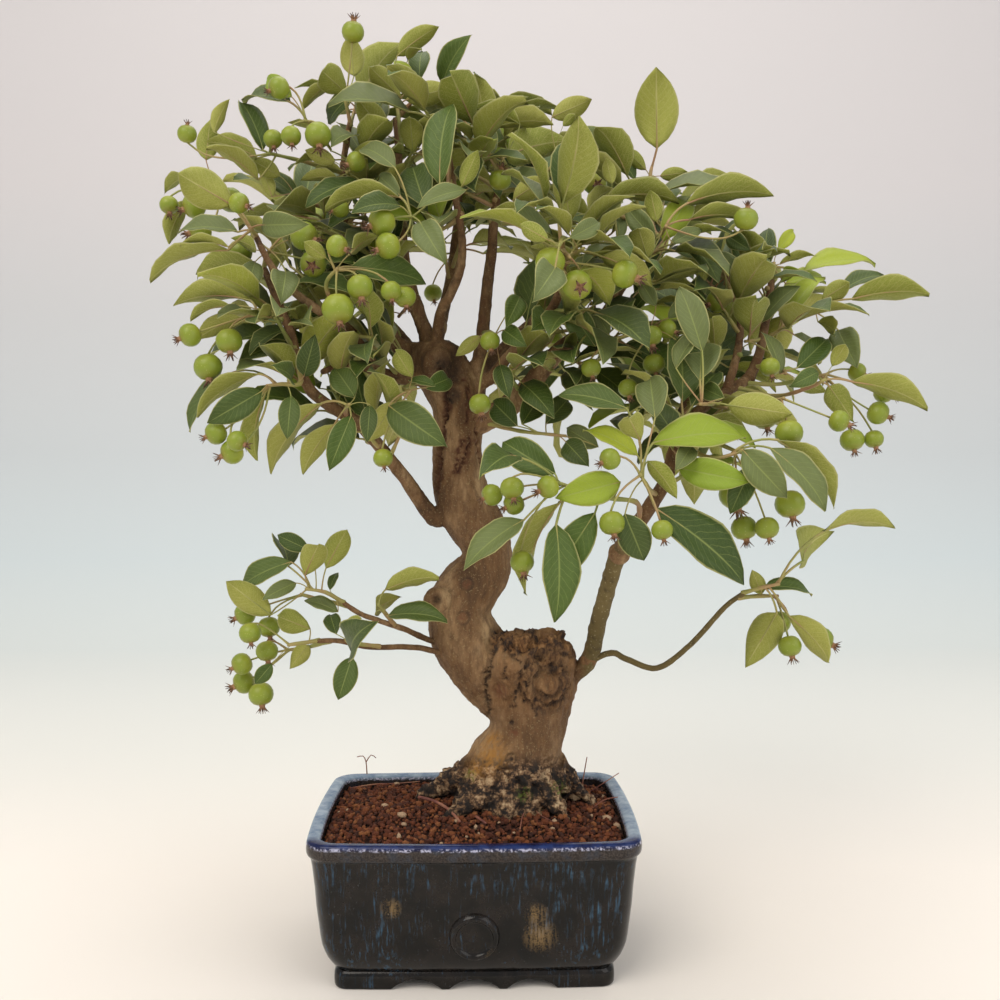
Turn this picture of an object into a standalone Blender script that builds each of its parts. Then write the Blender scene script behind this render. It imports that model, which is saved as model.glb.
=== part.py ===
"""Hall crabapple bonsai in its glazed rectangular pot, with leaves and green fruit."""
import math
import random

import bmesh
import bpy
from mathutils import Matrix, Vector
from mathutils.bvhtree import BVHTree

MM = 0.001

# Driving dimensions of the pot, in millimetres
POT_WIDTH = 183.0
POT_DEPTH = 137.0
POT_HEIGHT = 82.5
POT_CORNER = 12.0
RIM_HEIGHT = 9.0
RIM_OVERHANG = 2.0
RIM_WIDTH = 8.0
WALL = 6.0
FOOT_HEIGHT = 9.5
FOOT_INSET = 14.5
FOOT_BAND = 15.0
SCALLOP_RADIUS = 19.5
SCALLOP_RISE = 6.0
SCALLOP_PITCH = 31.0
BOSS_RADIUS = 13.0
BOSS_RING = 3.2
BOSS_HEIGHT = 32.0
BOSS_DEPTH = 0.9
BOSS_SETBACK = 3.0
DRAIN_RADIUS = 9.0
DRAIN_SPREAD = 38.0
SCREEN_SIZE = 30.0
SCREEN_THICKNESS = 1.2
SCREEN_HOLE = 5.0
SOIL_EDGE = 76.5
SOIL_DOME = 7.0
GRAIN_HEIGHT = 1.3

# Driving dimensions of the plant, in millimetres
GAP = 0.35
BLADE = 0.62
LEAF_LENGTH = 47.0
LEAF_RATIO = 0.45
SMALL_LEAF = 28.0
PETIOLE_WIDTH = 1.5
PEDICEL_RADIUS = 0.6
STEM_RADIUS = 1.3
THIN_LIMB = 8.0
THICK_LIMB = 10.0
STEP = 0.1
FRUIT_MIN = 5.2
FRUIT_MAX = 8.6
CALYX_LENGTH = 3.0
DRIED_RADIUS = 1.6
CLEAR = 0.3

# The viewpoint that the branch, leaf and fruit places were read from, in millimetres and degrees.
# A place is a pair of picture coordinates (1000 by 1000) with its distance behind the pot's centre.
EYE = Vector((2.0, -605.5, 277.7))
EYE_PITCH = math.radians(1.64)
EYE_YAW = math.radians(1.2)
FOCAL = 1047.0
PICTURE_CENTRE = 500.0

# Stump and main trunk: picture x, y, distance back, diameter
TRUNK_PATHS = {
    "stump": [(506, 842, 8, 40), (507, 812, 8, 60), (506, 790, 8, 58), (514, 764, 8, 55),
              (526, 734, 8, 45), (529, 703, 8, 49), (532, 670, 8, 54), (533, 648, 8, 49),
              (533, 636, 8, 34)],
    "trunk": [(512, 706, 9, 30), (488, 674, 8, 38), (466, 638, 8, 42), (460, 610, 8, 37),
              (469, 588, 8, 37), (484, 568, 8, 32), (487, 550, 8, 29), (481, 532, 8, 32),
              (467, 508, 8, 35), (459, 482, 8, 31), (457, 456, 8, 29), (458, 430, 8, 28),
              (456, 402, 8, 30), (444, 374, 8, 32), (434, 354, 8, 30), (432, 342, 8, 22)],
}

# Surface roots that spread from the root crown and dive into the soil, same columns
ROOTS = [
    [(486, 765, 6, 24), (458, 777, 8, 17), (438, 788, 12, 11), (414, 800, 18, 5)],
    [(500, 775, 0, 28), (482, 792, -8, 20), (464, 806, -16, 13), (444, 822, -22, 6)],
    [(514, 778, -2, 28), (511, 796, -12, 20), (507, 810, -20, 12), (502, 828, -26, 6)],
    [(536, 775, 0, 27), (548, 794, -8, 18), (558, 808, -14, 11), (570, 824, -18, 5)],
    [(550, 768, 8, 26), (566, 782, 10, 18), (580, 794, 12, 10), (594, 806, 14, 5)],
    [(490, 768, 24, 26), (474, 772, 36, 18), (456, 774, 46, 11), (440, 780, 54, 5)],
    [(530, 768, 24, 26), (548, 770, 38, 18), (562, 772, 48, 10), (576, 780, 56, 5)]]

# Limbs: the limb each grows from, how far along it, then picture x, y, distance back, diameter
LIMBS = {
    "lead_left": ("trunk", 0.96, [(398, 345, 10, 9), (385, 319, 14, 8.5), (375, 293, 18, 8),
                                  (362, 270, 22, 7), (348, 236, 24, 5.6), (342, 200, 18, 4.6),
                                  (344, 160, 8, 3.8), (350, 122, -4, 3.2)]),
    "fork_left": ("trunk", 0.9, [(388, 376, 0, 8), (370, 362, -8, 7), (352, 335, -22, 6.6),
                                 (339, 322, -32, 6), (318, 310, -42, 5), (292, 290, -46, 4.2),
                                 (270, 264, -46, 3.6), (256, 236, -44, 3)]),
    "low_left": ("trunk", 0.9, [(380, 372, -6, 4.6), (349, 364, -22, 3.8), (322, 372, -36, 3.4)]),
    "arm_left": ("trunk", 0.62, [(437, 518, 4, 10), (404, 477, -8, 7.6), (379, 446, -16, 7.2),
                                 (358, 423, -24, 7), (338, 411, -30, 6.6), (312, 392, -36, 6),
                                 (299, 365, -38, 5.4), (290, 331, -38, 5), (277, 300, -36, 4.4),
                                 (264, 268, -30, 3.6)]),
    "lead_mid": ("trunk", 0.97, [(418, 312, 12, 8), (411, 288, 16, 7), (405, 262, 18, 6.2),
                                 (402, 225, 14, 5.2), (400, 182, 6, 4.4), (398, 145, 0, 3.6),
                                 (395, 118, 0, 3)]),
    "fork_mid": ("trunk", 0.96, [(440, 315, -8, 6), (450, 295, -18, 5.4), (460, 270, -26, 5),
                                 (462, 240, -32, 4.4), (456, 200, -34, 3.8), (449, 155, -26, 3.2),
                                 (446, 118, -18, 2.8)]),
    "lead_right": ("trunk", 0.82, [(476, 396, 8, 8.6), (478, 370, 8, 8), (482, 340, 8, 7.6),
                                   (485, 310, 10, 7), (488, 280, 12, 6.6), (492, 250, 12, 6),
                                   (494, 215, 8, 5), (499, 188, 2, 4), (506, 166, -4, 3.2)]),
    "fork_right": ("trunk", 0.86, [(490, 378, 2, 7.4), (507, 358, -6, 6.4), (535, 330, -20, 6),
                                   (550, 312, -30, 5.4), (560, 290, -44, 4.6), (563, 264, -62, 3.8),
                                   (562, 246, -78, 3.2)]),
    "arm_right": ("trunk", 0.78, [(494, 416, 4, 13), (520, 396, 0, 12), (540, 373, -5, 10.6),
                                  (560, 350, -10, 9.6), (580, 335, -12, 8), (600, 320, -14, 6.6),
                                  (620, 290, -15, 5.4), (636, 255, -14, 4.4), (648, 218, -10, 3.6),
                                  (652, 192, -6, 3)]),
    "riser": ("stump", 0.72, [(584, 666, 4, 10), (599, 619, -16, 9.4), (611, 576, -36, 9),
                              (619, 553, -46, 9.6), (636, 527, -60, 8), (654, 500, -68, 7.4),
                              (666, 480, -68, 6.8), (676, 446, -60, 6.2), (694, 416, -48, 5.8),
                              (722, 394, -34, 5.6), (748, 380, -22, 5.6)]),
    "right_stem": ("riser", 1.0, [(758, 358, -12, 5.2), (765, 325, -4, 4.8), (770, 294, 4, 4.4),
                                  (772, 274, 8, 3.4)]),
    "right_inner": ("riser", 0.93, [(738, 350, -16, 4.4), (740, 318, -6, 4), (733, 290, 0, 3.6),
                                    (718, 262, -4, 3.2)]),
    "low_right": ("riser", 0.06, [(606, 654, -4, 3.6), (626, 659, -12, 3.4), (657, 668, -24, 3.3),
                                  (690, 645, -36, 3), (725, 607, -46, 2.8), (746, 592, -52, 2.6)]),
    "low_left_upper": ("trunk", 0.16, [(432, 641, 0, 3.4), (404, 629, -8, 3.2), (377, 620, -14, 3),
                                       (359, 613, -18, 2.8), (341, 601, -22, 2.6)]),
    "low_left_lower": ("trunk", 0.13, [(430, 650, -6, 3.4), (406, 647, -14, 3.2),
                                       (369, 647, -24, 3), (340, 641, -30, 2.8),
                                       (316, 641, -32, 2.6)]),
    "back_left": ("trunk", 0.88, [(424, 366, 34, 9), (398, 334, 62, 7.4), (368, 302, 90, 6),
                                  (338, 272, 108, 4.6), (312, 240, 114, 3.6)]),
    "back_right": ("trunk", 0.84, [(478, 374, 36, 9), (515, 338, 64, 7.4), (555, 302, 90, 6),
                                   (598, 272, 106, 4.6), (636, 250, 110, 3.6)]),
    "back_mid": ("trunk", 0.97, [(442, 318, 36, 7.4), (450, 280, 60, 6.2), (456, 232, 76, 5),
                                 (460, 184, 70, 4), (464, 146, 56, 3.2)]),
    "back_low": ("riser", 0.74, [(676, 424, -14, 4.8), (688, 400, 24, 4.4), (704, 372, 58, 3.8),
                                 (722, 346, 78, 3.2)]),
}

# Leafy sprays. "on" is the limb and how far along it the twig starts; "stem" its further places.
# A leaf is its blade's base x, y, its tip x, y, its greatest width, and the side it shows:
# T, G and L are upper sides (dark, greyish, young), U, P and Y are undersides (olive, pale, young).
# A fruit is its centre x, y, its radius, and where its dried calyx points: L R U D or F (forward).
SPRAYS = {
    "tip_left": {
        "on": ("lead_left", 1.0), "stem": [(345, 98, -10)],
        "leaves": [(354, 76, 350, 34, 24, "U"), (346, 93, 321, 70, 28, "P"),
                   (330, 84, 302, 110, 14, "U"),
                   (358, 92, 328, 124, 16, "T")],
        "fruits": [(353, 32, 11, "U")]},
    "left_top": {
        "on": ("lead_left", 0.93), "stem": [(326, 130, -20), (304, 120, -34)],
        "leaves": [(292, 97, 266, 78, 20, "L"),
                   (290, 102, 243, 102, 14, "T")],
        "fruits": [(279, 88, 11, "L"), (291, 136, 10, "D"), (318, 135, 13, "D")]},
    "left_high": {
        "on": ("lead_left", 0.82), "stem": [(306, 162, -8), (268, 153, -22)],
        "leaves": [(263, 150, 239, 99, 22, "T"), (214, 132, 229, 99, 14, "P"),
                   (258, 158, 206, 141, 20, "U"),
                   (258, 180, 207, 146, 14, "U")],
        "fruits": [(187, 134, 8.5, "U")]},
    "left_far": {
        "on": ("fork_left", 0.9), "stem": [(240, 212, -22), (214, 188, -6)],
        "leaves": [(206, 160, 210, 120, 22, "U"), (190, 176, 165, 192, 14, "U"),
                   (187, 200, 168, 244, 18, "U")],
        "fruits": [(231, 200, 12, "F"), (194, 206, 12, "L"), (200, 230, 12, "L")]},
    "left_front": {
        "on": ("fork_left", 1.0), "stem": [(250, 227, -60)],
        "leaves": [(232, 205, 177, 173, 38, "P"), (262, 225, 307, 224, 26, "G"),
                   (228, 250, 149, 278, 14, "U"), (238, 232, 176, 232, 16, "G")]},
    "left_inner": {
        "on": ("lead_left", 0.7), "stem": [(318, 206, 6), (292, 192, -8)],
        "leaves": [(280, 176, 252, 160, 18, "U"),
                   (300, 200, 262, 173, 20, "T")]},
    "left_mid_top": {
        "on": ("lead_left", 0.78), "stem": [(350, 180, -12), (347, 172, -30)],
        "leaves": [(335, 162, 305, 150, 16, "U"), (338, 178, 300, 180, 14, "U"),
                   (360, 182, 305, 206, 16, "T")]},
    "front_mid": {
        "on": ("lead_mid", 0.6), "stem": [(412, 236, -24), (411, 216, -62)],
        "leaves": [(400, 197, 325, 207, 16, "U"), (400, 206, 352, 211, 18, "T"),
                   (425, 207, 412, 165, 35, "T"), (400, 195, 379, 176, 20, "G"),
                   (395, 168, 360, 148, 20, "G"), (420, 222, 444, 263, 30, "G")],
        "fruits": [(382, 222, 14, "L"), (388, 246, 13, "L")]},
    "top_mid_left": {
        "on": ("lead_mid", 0.88), "stem": [(402, 150, -12), (399, 120, -14), (396, 98, -8)],
        "leaves": [(397, 56, 439, 26, 20, "U"), (414, 84, 394, 60, 14, "L"),
                   (401, 98, 369, 66, 22, "U"), (406, 100, 448, 88, 24, "P"),
                   (386, 135, 357, 98, 26, "U"), (413, 152, 410, 116, 24, "U")]},
    "top_mid": {
        "on": ("fork_mid", 1.0), "stem": [(448, 106, -22)],
        "leaves": [(443, 84, 470, 35, 22, "T"), (458, 112, 452, 80, 28, "U")]},
    "top_mid_front": {
        "on": ("fork_mid", 0.84), "stem": [(448, 192, -50), (442, 196, -66)],
        "leaves": [(440, 184, 452, 102, 32, "T"), (466, 190, 417, 207, 18, "G"),
                   (462, 186, 478, 150, 18, "U")]},
    "top_right_mid": {
        "on": ("lead_right", 1.0), "stem": [(502, 158, -24)],
        "leaves": [(520, 124, 473, 107, 14, "U"), (507, 156, 568, 140, 36, "P"),
                   (493, 155, 480, 121, 14, "G")],
        "fruits": [(500, 180, 11, "U")]},
    "mid_right_top": {
        "on": ("lead_right", 0.84), "stem": [(512, 220, -20), (528, 222, -46)],
        "leaves": [(513, 200, 545, 178, 22, "U"), (530, 214, 489, 213, 14, "U"),
                   (552, 236, 501, 216, 16, "G")]},
    "right_top": {
        "on": ("lead_right", 0.9), "stem": [(530, 186, 4), (560, 158, 4)],
        "leaves": [(552, 117, 592, 99, 22, "U"), (565, 148, 607, 131, 20, "G")],
        "fruits": [(595, 183, 12, "F")]},
    "right_top_inner": {
        "on": ("arm_right", 0.9), "stem": [(626, 218, -24), (602, 208, -36)],
        "leaves": [(604, 200, 678, 199, 20, "U"),
                   (575, 216, 562, 193, 18, "U")]},
    "tall_shoot": {
        "on": ("arm_right", 1.0), "stem": [(650, 178, -4), (652, 166, -4)],
        "leaves": [(657, 148, 656, 67, 44, "L")]},
    "right_crown_front": {
        "on": ("arm_right", 0.92), "stem": [(658, 236, -30), (666, 226, -48)],
        "leaves": [(688, 203, 772, 193, 28, "U"), (688, 220, 753, 219, 18, "U"),
                   (655, 240, 625, 206, 22, "G"), (648, 260, 638, 227, 26, "U"),
                   (657, 222, 650, 190, 18, "U"), (672, 243, 702, 230, 14, "G")],
        "fruits": [(746, 219, 12, "U")]},
    "front_centre": {
        "on": ("fork_right", 1.0), "stem": [(563, 238, -86), (559, 246, -108)],
        "leaves": [(555, 268, 534, 299, 34, "G"), (548, 240, 520, 224, 18, "U"),
                   (570, 238, 600, 222, 20, "G")]},
    "centre_right": {
        "on": ("arm_right", 0.6),
        "stem": [(596, 342, -26), (612, 340, -36), (640, 332, -44), (658, 330, -50)],
        "leaves": [(595, 346, 565, 303, 28, "T"), (609, 335, 594, 308, 18, "G"),
                   (624, 334, 616, 298, 18, "U"),
                   (656, 306, 640, 280, 16, "G")],
        "fruits": [(591, 368, 10, "D"), (651, 336, 11, "D"),
                   (654, 364, 11, "D")]},
    "right_inner_high": {
        "on": ("right_inner", 1.0), "stem": [(712, 250, -10), (708, 240, -14)],
        "leaves": [(700, 285, 718, 246, 16, "P"), (728, 236, 750, 250, 18, "T"),
                   (694, 262, 664, 276, 18, "T"), (720, 252, 742, 285, 16, "G")],
        "fruits": [(717, 301, 11, "L")]},
    "right_stem_top": {
        "on": ("right_stem", 1.0), "stem": [(774, 262, 8)],
        "leaves": [(765, 272, 768, 227, 23, "T"),
                   (803, 272, 876, 263, 16, "L"),
                   (786, 284, 826, 278, 14, "L")]},
    "right_far_high": {
        "on": ("right_stem", 0.74), "stem": [(790, 314, -6), (820, 308, -16)],
        "leaves": [(840, 292, 884, 275, 14, "T"), (852, 299, 930, 293, 24, "U"),
                   (822, 300, 850, 282, 20, "U"),
                   (783, 330, 832, 297, 22, "U"), (838, 330, 857, 367, 30, "G")]},
    "right_low_inner": {
        "on": ("right_stem", 0.14), "stem": [(774, 364, -28), (786, 374, -42)],
        "leaves": [(780, 374, 762, 331, 14, "G"), (797, 368, 828, 338, 26, "T"),
                   (800, 382, 826, 392, 16, "U")]},
    "right_far": {
        "on": ("riser", 0.955), "stem": [(776, 396, -34), (808, 388, -52), (826, 379, -58)],
        "leaves": [(832, 366, 846, 344, 16, "U"), (853, 382, 928, 407, 24, "P"),
                   (829, 386, 853, 420, 26, "U"), (818, 372, 790, 386, 18, "T")]},
    "right_mid_front": {
        "on": ("riser", 0.88), "stem": [(712, 404, -62), (700, 404, -84)],
        "leaves": [(702, 351, 679, 286, 30, "G"), (700, 380, 702, 345, 40, "G"),
                   (676, 368, 700, 334, 16, "G"), (728, 405, 792, 414, 34, "U")]},
    "centre_shelf": {
        "on": ("arm_right", 0.06), "stem": [(520, 431, -14), (546, 434, -30), (566, 436, -38)],
        "leaves": [(517, 426, 493, 402, 28, "T"), (522, 424, 537, 401, 26, "T"),
                   (546, 424, 569, 398, 24, "T"), (598, 447, 566, 428, 22, "G"),
                   (566, 442, 588, 466, 26, "T")]},
    "riser_left": {
        "on": ("riser", 0.56), "stem": [(636, 502, -84), (608, 498, -96), (586, 492, -100), (556, 482, -102)],
        "leaves": [(555, 474, 502, 441, 34, "T"), (513, 456, 482, 474, 30, "T"),
                   (620, 482, 556, 498, 34, "L"), (524, 520, 463, 569, 28, "G"),
                   (560, 502, 523, 593, 22, "P"), (556, 525, 556, 622, 38, "T"),
                   (595, 513, 550, 582, 36, "T")],
        "fruits": [(548, 487, 11.5, "L"), (512, 488, 12, "D"), (492, 495, 11, "L")]},
    "riser_top": {
        "on": ("riser", 0.62), "stem": [(650, 490, -84), (640, 474, -100)],
        "leaves": [(625, 514, 644, 561, 34, "T"), (656, 509, 746, 584, 44, "T"),
                   (648, 461, 677, 498, 20, "Y"), (653, 443, 747, 436, 36, "L"),
                   (638, 456, 583, 429, 20, "L"), (655, 418, 650, 377, 34, "G"),
                   (626, 408, 559, 394, 24, "T"), (640, 440, 628, 416, 26, "P")],
        "fruits": [(612, 523, 13, "D"), (662, 530, 10, "D")]},
    "riser_right": {
        "on": ("riser", 0.76), "stem": [(690, 450, -78), (716, 458, -90), (744, 450, -92)],
        "leaves": [(679, 468, 750, 482, 32, "L"), (692, 446, 676, 470, 20, "G"),
                   (743, 450, 787, 498, 34, "G"), (770, 448, 827, 510, 26, "G"),
                   (778, 440, 836, 506, 22, "U"), (752, 466, 730, 514, 26, "T")]},
    "low_right": {
        "on": ("low_right", 1.0), "stem": [(764, 587, -58), (780, 584, -60)],
        "leaves": [(823, 532, 894, 525, 14, "U"), (803, 561, 829, 531, 28, "U"),
                   (764, 588, 813, 594, 14, "T"),
                   (777, 613, 746, 666, 34, "U"), (789, 616, 831, 663, 26, "U"),
                   (762, 594, 752, 570, 16, "U")]},
    "low_left_end": {
        "on": ("low_left_upper", 1.0), "stem": [(325, 592, -28), (305, 589, -32)],
        "leaves": [(326, 568, 347, 529, 24, "U"), (305, 575, 319, 543, 26, "U"),
                   (291, 562, 241, 586, 22, "T"), (288, 566, 274, 538, 20, "T"),
                   (309, 550, 277, 535, 18, "T"), (271, 615, 226, 581, 28, "U"),
                   (296, 583, 262, 600, 16, "G"), (338, 612, 304, 600, 14, "G")]},
    "low_left_twig": {
        "on": ("low_left_lower", 1.0), "stem": [(302, 643, -36), (287, 645, -38)],
        "leaves": [(310, 629, 277, 616, 24, "U"), (308, 645, 290, 668, 18, "U"),
                   (272, 664, 255, 684, 16, "T")]},
    "low_left_inner": {
        "on": ("low_left_lower", 0.62), "stem": [(352, 643, -38), (346, 640, -44)],
        "leaves": [(353, 652, 372, 622, 26, "T"), (352, 657, 338, 700, 24, "T"),
                   (336, 634, 330, 614, 18, "T")]},
    "low_left_shoot": {
        "on": ("low_left_upper", 0.6), "stem": [(378, 604, -22)],
        "leaves": [(385, 590, 439, 577, 18, "U"), (376, 612, 399, 597, 18, "U"),
                   (388, 616, 447, 620, 18, "T")]},
    "arm_left_mid": {
        "on": ("arm_left", 0.52), "stem": [(346, 408, -44), (350, 404, -56)],
        "leaves": [(322, 403, 269, 472, 22, "U"), (334, 425, 302, 473, 22, "U"),
                   (351, 416, 329, 470, 26, "T"), (370, 405, 367, 442, 18, "T"),
                   (355, 397, 335, 368, 28, "T")]},
    "left_mid_far": {
        "on": ("arm_left", 0.72), "stem": [(300, 384, -50), (282, 384, -58), (266, 386, -62)],
        "leaves": [(291, 380, 273, 366, 18, "T"), (291, 396, 287, 439, 22, "T"),
                   (304, 376, 315, 335, 24, "T"), (258, 374, 196, 415, 18, "U"),
                   (228, 374, 188, 431, 14, "T"), (262, 391, 207, 423, 30, "T"),
                   (264, 397, 255, 460, 16, "U")],
        "fruits": [(216, 433, 11.5, "L"), (232, 452, 12, "L")]},
    "left_mid_high": {
        "on": ("arm_left", 0.88), "stem": [(268, 312, -46), (256, 314, -54)],
        "leaves": [(250, 300, 174, 303, 20, "U"), (242, 318, 195, 340, 20, "U")],
        "fruits": [(190, 335, 11.5, "L"), (229, 341, 13, "D"), (208, 367, 14, "D")]},
    "left_mid_top_front": {
        "on": ("arm_left", 1.0), "stem": [(266, 256, -44), (270, 250, -54)],
        "leaves": [(286, 272, 281, 302, 28, "G"), (255, 262, 245, 295, 22, "G"),
                   (288, 240, 312, 222, 18, "T")],
        "fruits": [(240, 252, 12, "D"), (304, 236, 14, "R"), (313, 264, 13, "F")]},
    "centre_left": {
        "on": ("low_left", 0.12), "stem": [(404, 388, -34), (410, 392, -50)],
        "leaves": [(389, 406, 445, 446, 38, "T"), (395, 402, 369, 441, 24, "P"),
                   (412, 377, 395, 350, 20, "U"), (426, 388, 450, 378, 22, "T")],
        "fruits": [(383, 458, 9.5, "D")]},
    "front_left_mid": {
        "on": ("fork_left", 0.52), "stem": [(326, 286, -60), (338, 268, -72)],
        "leaves": [(351, 267, 427, 283, 30, "T"), (326, 258, 304, 242, 16, "U"),
                   (352, 252, 378, 236, 16, "U")],
        "fruits": [(338, 309, 16, "D"), (360, 287, 13, "D")]},
    "centre_high": {
        "on": ("lead_right", 0.34), "stem": [(490, 332, -18), (496, 336, -38)],
        "leaves": [(520, 297, 506, 326, 22, "T"), (504, 330, 526, 346, 20, "T"),
                   (500, 365, 509, 398, 20, "T")],
        "fruits": [(480, 404, 11, "D")]},
}

# Sprays on the far side, which the picture hides: only the twigs are set, the leaves fan out
BACK_SPRAYS = {
    "back_left_end": {"on": ("back_left", 1.0), "stem": [(302, 226, 118), (292, 218, 122)], "count": 6},
    "back_left_low": {"on": ("back_left", 0.62), "stem": [(336, 330, 110), (318, 336, 118)], "count": 6},
    "back_right_end": {"on": ("back_right", 1.0), "stem": [(652, 236, 116), (664, 226, 120)], "count": 6},
    "back_right_low": {"on": ("back_right", 0.55), "stem": [(566, 336, 112), (574, 344, 122)], "count": 6},
    "back_mid_top": {"on": ("back_mid", 1.0), "stem": [(466, 130, 56), (468, 120, 58)], "count": 5},
    "back_mid_low": {"on": ("back_mid", 0.5), "stem": [(462, 250, 104), (464, 246, 122)], "count": 5},
    "back_low": {"on": ("back_low", 1.0), "stem": [(738, 334, 88), (750, 326, 94)], "count": 5},
}

# Bunches of fruit large enough to be a piece of their own
BUNCHES = {
    "front": {"on": ("fork_right", 0.88), "stem": [(556, 262, -86)],
              "fruits": [(550, 262, 15, "D"), (577, 285, 15, "F"), (625, 274, 14, "R")]},
    "right_far": {"on": ("riser", 0.98), "stem": [(780, 384, -24), (812, 377, -30), (828, 374, -32)],
                  "fruits": [(884, 392, 11, "R"), (878, 413, 11.5, "R"), (852, 440, 12, "D"),
                             (874, 439, 9.5, "D")]},
    "right_mid": {"on": ("riser", 0.91), "stem": [(764, 404, -54), (784, 398, -70)],
                  "fruits": [(839, 421, 11, "R"), (789, 433, 14, "D")]},
    "riser_right": {"on": ("riser", 0.8), "stem": [(712, 440, -64), (738, 452, -74)],
                    "fruits": [(735, 494, 16, "D"), (744, 528, 13, "D"), (767, 528, 12, "D"),
                               (790, 504, 15, "D")]},
    "low_right": {"on": ("low_right", 0.96), "stem": [(758, 596, -48), (778, 596, -44)],
                  "fruits": [(790, 646, 11.5, "D"), (821, 640, 13, "R")]},
    "low_left_end": {"on": ("low_left_upper", 0.94), "stem": [(322, 600, -16), (300, 594, -14)],
                     "fruits": [(245, 614, 11, "L"), (269, 627, 11, "D")]},
    "low_left_twig": {"on": ("low_left_lower", 0.92), "stem": [(304, 648, -22), (286, 650, -18)],
                      "fruits": [(267, 651, 11, "D"), (242, 664, 11, "L"),
                                 (261, 694, 12.5, "D")]},
}

# Swellings on the bark: picture x, y, distance back, diameter
KNOTS = [(516, 660, -8, 34), (549, 652, 0, 34), (437, 600, -8, 15), (619, 554, -46, 12),
         (440, 366, -4, 22)]

ROUND_SIDES = 2
LIMB_SIDES = 1
TWIG_SIDES = 0
UPPER_FACES = "TGL"
CALYX_AIM = {"L": (-1.0, -0.35, -0.45), "R": (1.0, -0.35, -0.45), "U": (0.1, -0.2, 1.0),
             "D": (0.15, -0.25, -1.0), "F": (0.1, -1.0, -0.35)}
DEPTH_STEPS = [0, 5, -5, 10, -10, 16, -16, 23, -23, 31, -31, 40, -40]
SWING_STEPS = [0, 7, -7, 14, -14, 21, -21]
BACK_TRIES = 60


def photo_point(x, y, back):
    """The place seen at a picture point, at a distance behind the pot's centre."""
    across = (x - PICTURE_CENTRE) / FOCAL
    down = (y - PICTURE_CENTRE) / FOCAL
    turn = Matrix.Rotation(-EYE_YAW, 3, "Z") @ Matrix.Rotation(-EYE_PITCH, 3, "X")
    ray = turn @ Vector((across, 1.0, -down))
    return EYE + ray * ((back - EYE.y) / ray.y)


def photo_scale(back):
    """Millimetres to a picture pixel at that distance."""
    return (back - EYE.y) / FOCAL


def point_along(points, share):
    """A point part of the way along a line of points."""
    lengths = [(b - a).length for a, b in zip(points, points[1:])]
    left = share * sum(lengths)
    for start, end, length in zip(points, points[1:], lengths):
        if left <= length:
            return start.lerp(end, left / length)
        left -= length
    return points[-1].copy()


def place_limbs():
    """Every woody tube as its points and radii: stump, trunk, limbs, then roots."""
    tubes = {}
    for name, path in TRUNK_PATHS.items():
        tubes[name] = ([photo_point(x, y, back) for x, y, back, size in path],
                       [size / 2 for x, y, back, size in path])
    for name, (parent, share, path) in LIMBS.items():
        points = [point_along(tubes[parent][0], share)]
        points += [photo_point(x, y, back) for x, y, back, size in path]
        radii = [path[0][3] / 2] + [size / 2 for x, y, back, size in path]
        tubes[name] = (points, radii)
    return tubes


def place_roots(extra):
    """The surface roots, fattened by a clearance where they cut the soil."""
    tubes = []
    for path in ROOTS:
        points = [photo_point(x, y, back) for x, y, back, size in path]
        ends = (points[-1] - points[-2]).normalized() * extra
        points[-1] = points[-1] + ends
        tubes.append((points, [size / 2 + extra for x, y, back, size in path]))
    return tubes


def axis_distance(point, start, end):
    """How far a point lies from a straight stretch, and how far along it the nearest spot is."""
    span = end - start
    share = max(0.0, min(1.0, (point - start).dot(span) / span.length_squared))
    return (point - start.lerp(end, share)).length, share


def outside_limb(point, points, radii):
    """How far a point lies outside a limb's bark."""
    gaps = []
    for i in range(len(points) - 1):
        distance, share = axis_distance(point, points[i], points[i + 1])
        gaps.append(distance - (radii[i] + (radii[i + 1] - radii[i]) * share))
    return min(gaps)


def place_twig(entry, limbs, shift):
    """A green stem that starts a gap outside the bark of its limb, or past the limb's end."""
    limb, share = entry["on"]
    points, radii = limbs[limb]
    start = point_along(points, share)
    places = [photo_point(x, y, back + shift) for x, y, back in entry["stem"]]
    way = (places[0] - start).normalized()
    wide = STEM_RADIUS * 0.92
    others = [tube for name, tube in limbs.items() if name != limb]
    if share >= 1.0:
        way_out = (points[-1] - points[-2]).normalized()
        slope = abs(way.dot(way_out))
        start = start + way * (2 * GAP + wide * math.sqrt(max(0.0, 1 - slope ** 2)))
    else:
        others.append(limbs[limb])
    side = way.orthogonal().normalized()
    other = way.cross(side)
    ring = [side * math.cos(a) + other * math.sin(a) for a in (0.0, 1.57, 3.14, 4.71)]
    while min(outside_limb(start + spoke * wide, *tube) for spoke in ring for tube in others) < GAP:
        start = start + way * STEP
    return [start] + places


def tube_tree(points, radii, sides=6):
    """A search tree of the tube round a line of points, for clearances."""
    corners = []
    for i, point in enumerate(points):
        ahead = points[min(i + 1, len(points) - 1)]
        behind = points[max(i - 1, 0)]
        way = (ahead - behind).normalized()
        side = way.orthogonal().normalized()
        other = way.cross(side)
        for k in range(sides):
            turn = math.tau * k / sides
            corners.append(point + (side * math.cos(turn) + other * math.sin(turn)) * radii[i])
    faces = []
    for i in range(len(points) - 1):
        for k in range(sides):
            nxt = (k + 1) % sides
            faces.append((i * sides + k, i * sides + nxt, (i + 1) * sides + nxt, (i + 1) * sides + k))
    return make_obstacle(corners, faces)


def make_obstacle(corners, faces):
    low = Vector([min(c[i] for c in corners) for i in range(3)])
    high = Vector([max(c[i] for c in corners) for i in range(3)])
    return {"tree": BVHTree.FromPolygons(corners, faces), "low": low, "high": high}


def meets(first, second):
    """True where two obstacles cross."""
    for i in range(3):
        if first["low"][i] > second["high"][i] or second["low"][i] > first["high"][i]:
            return False
    return bool(first["tree"].overlap(second["tree"]))


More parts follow.
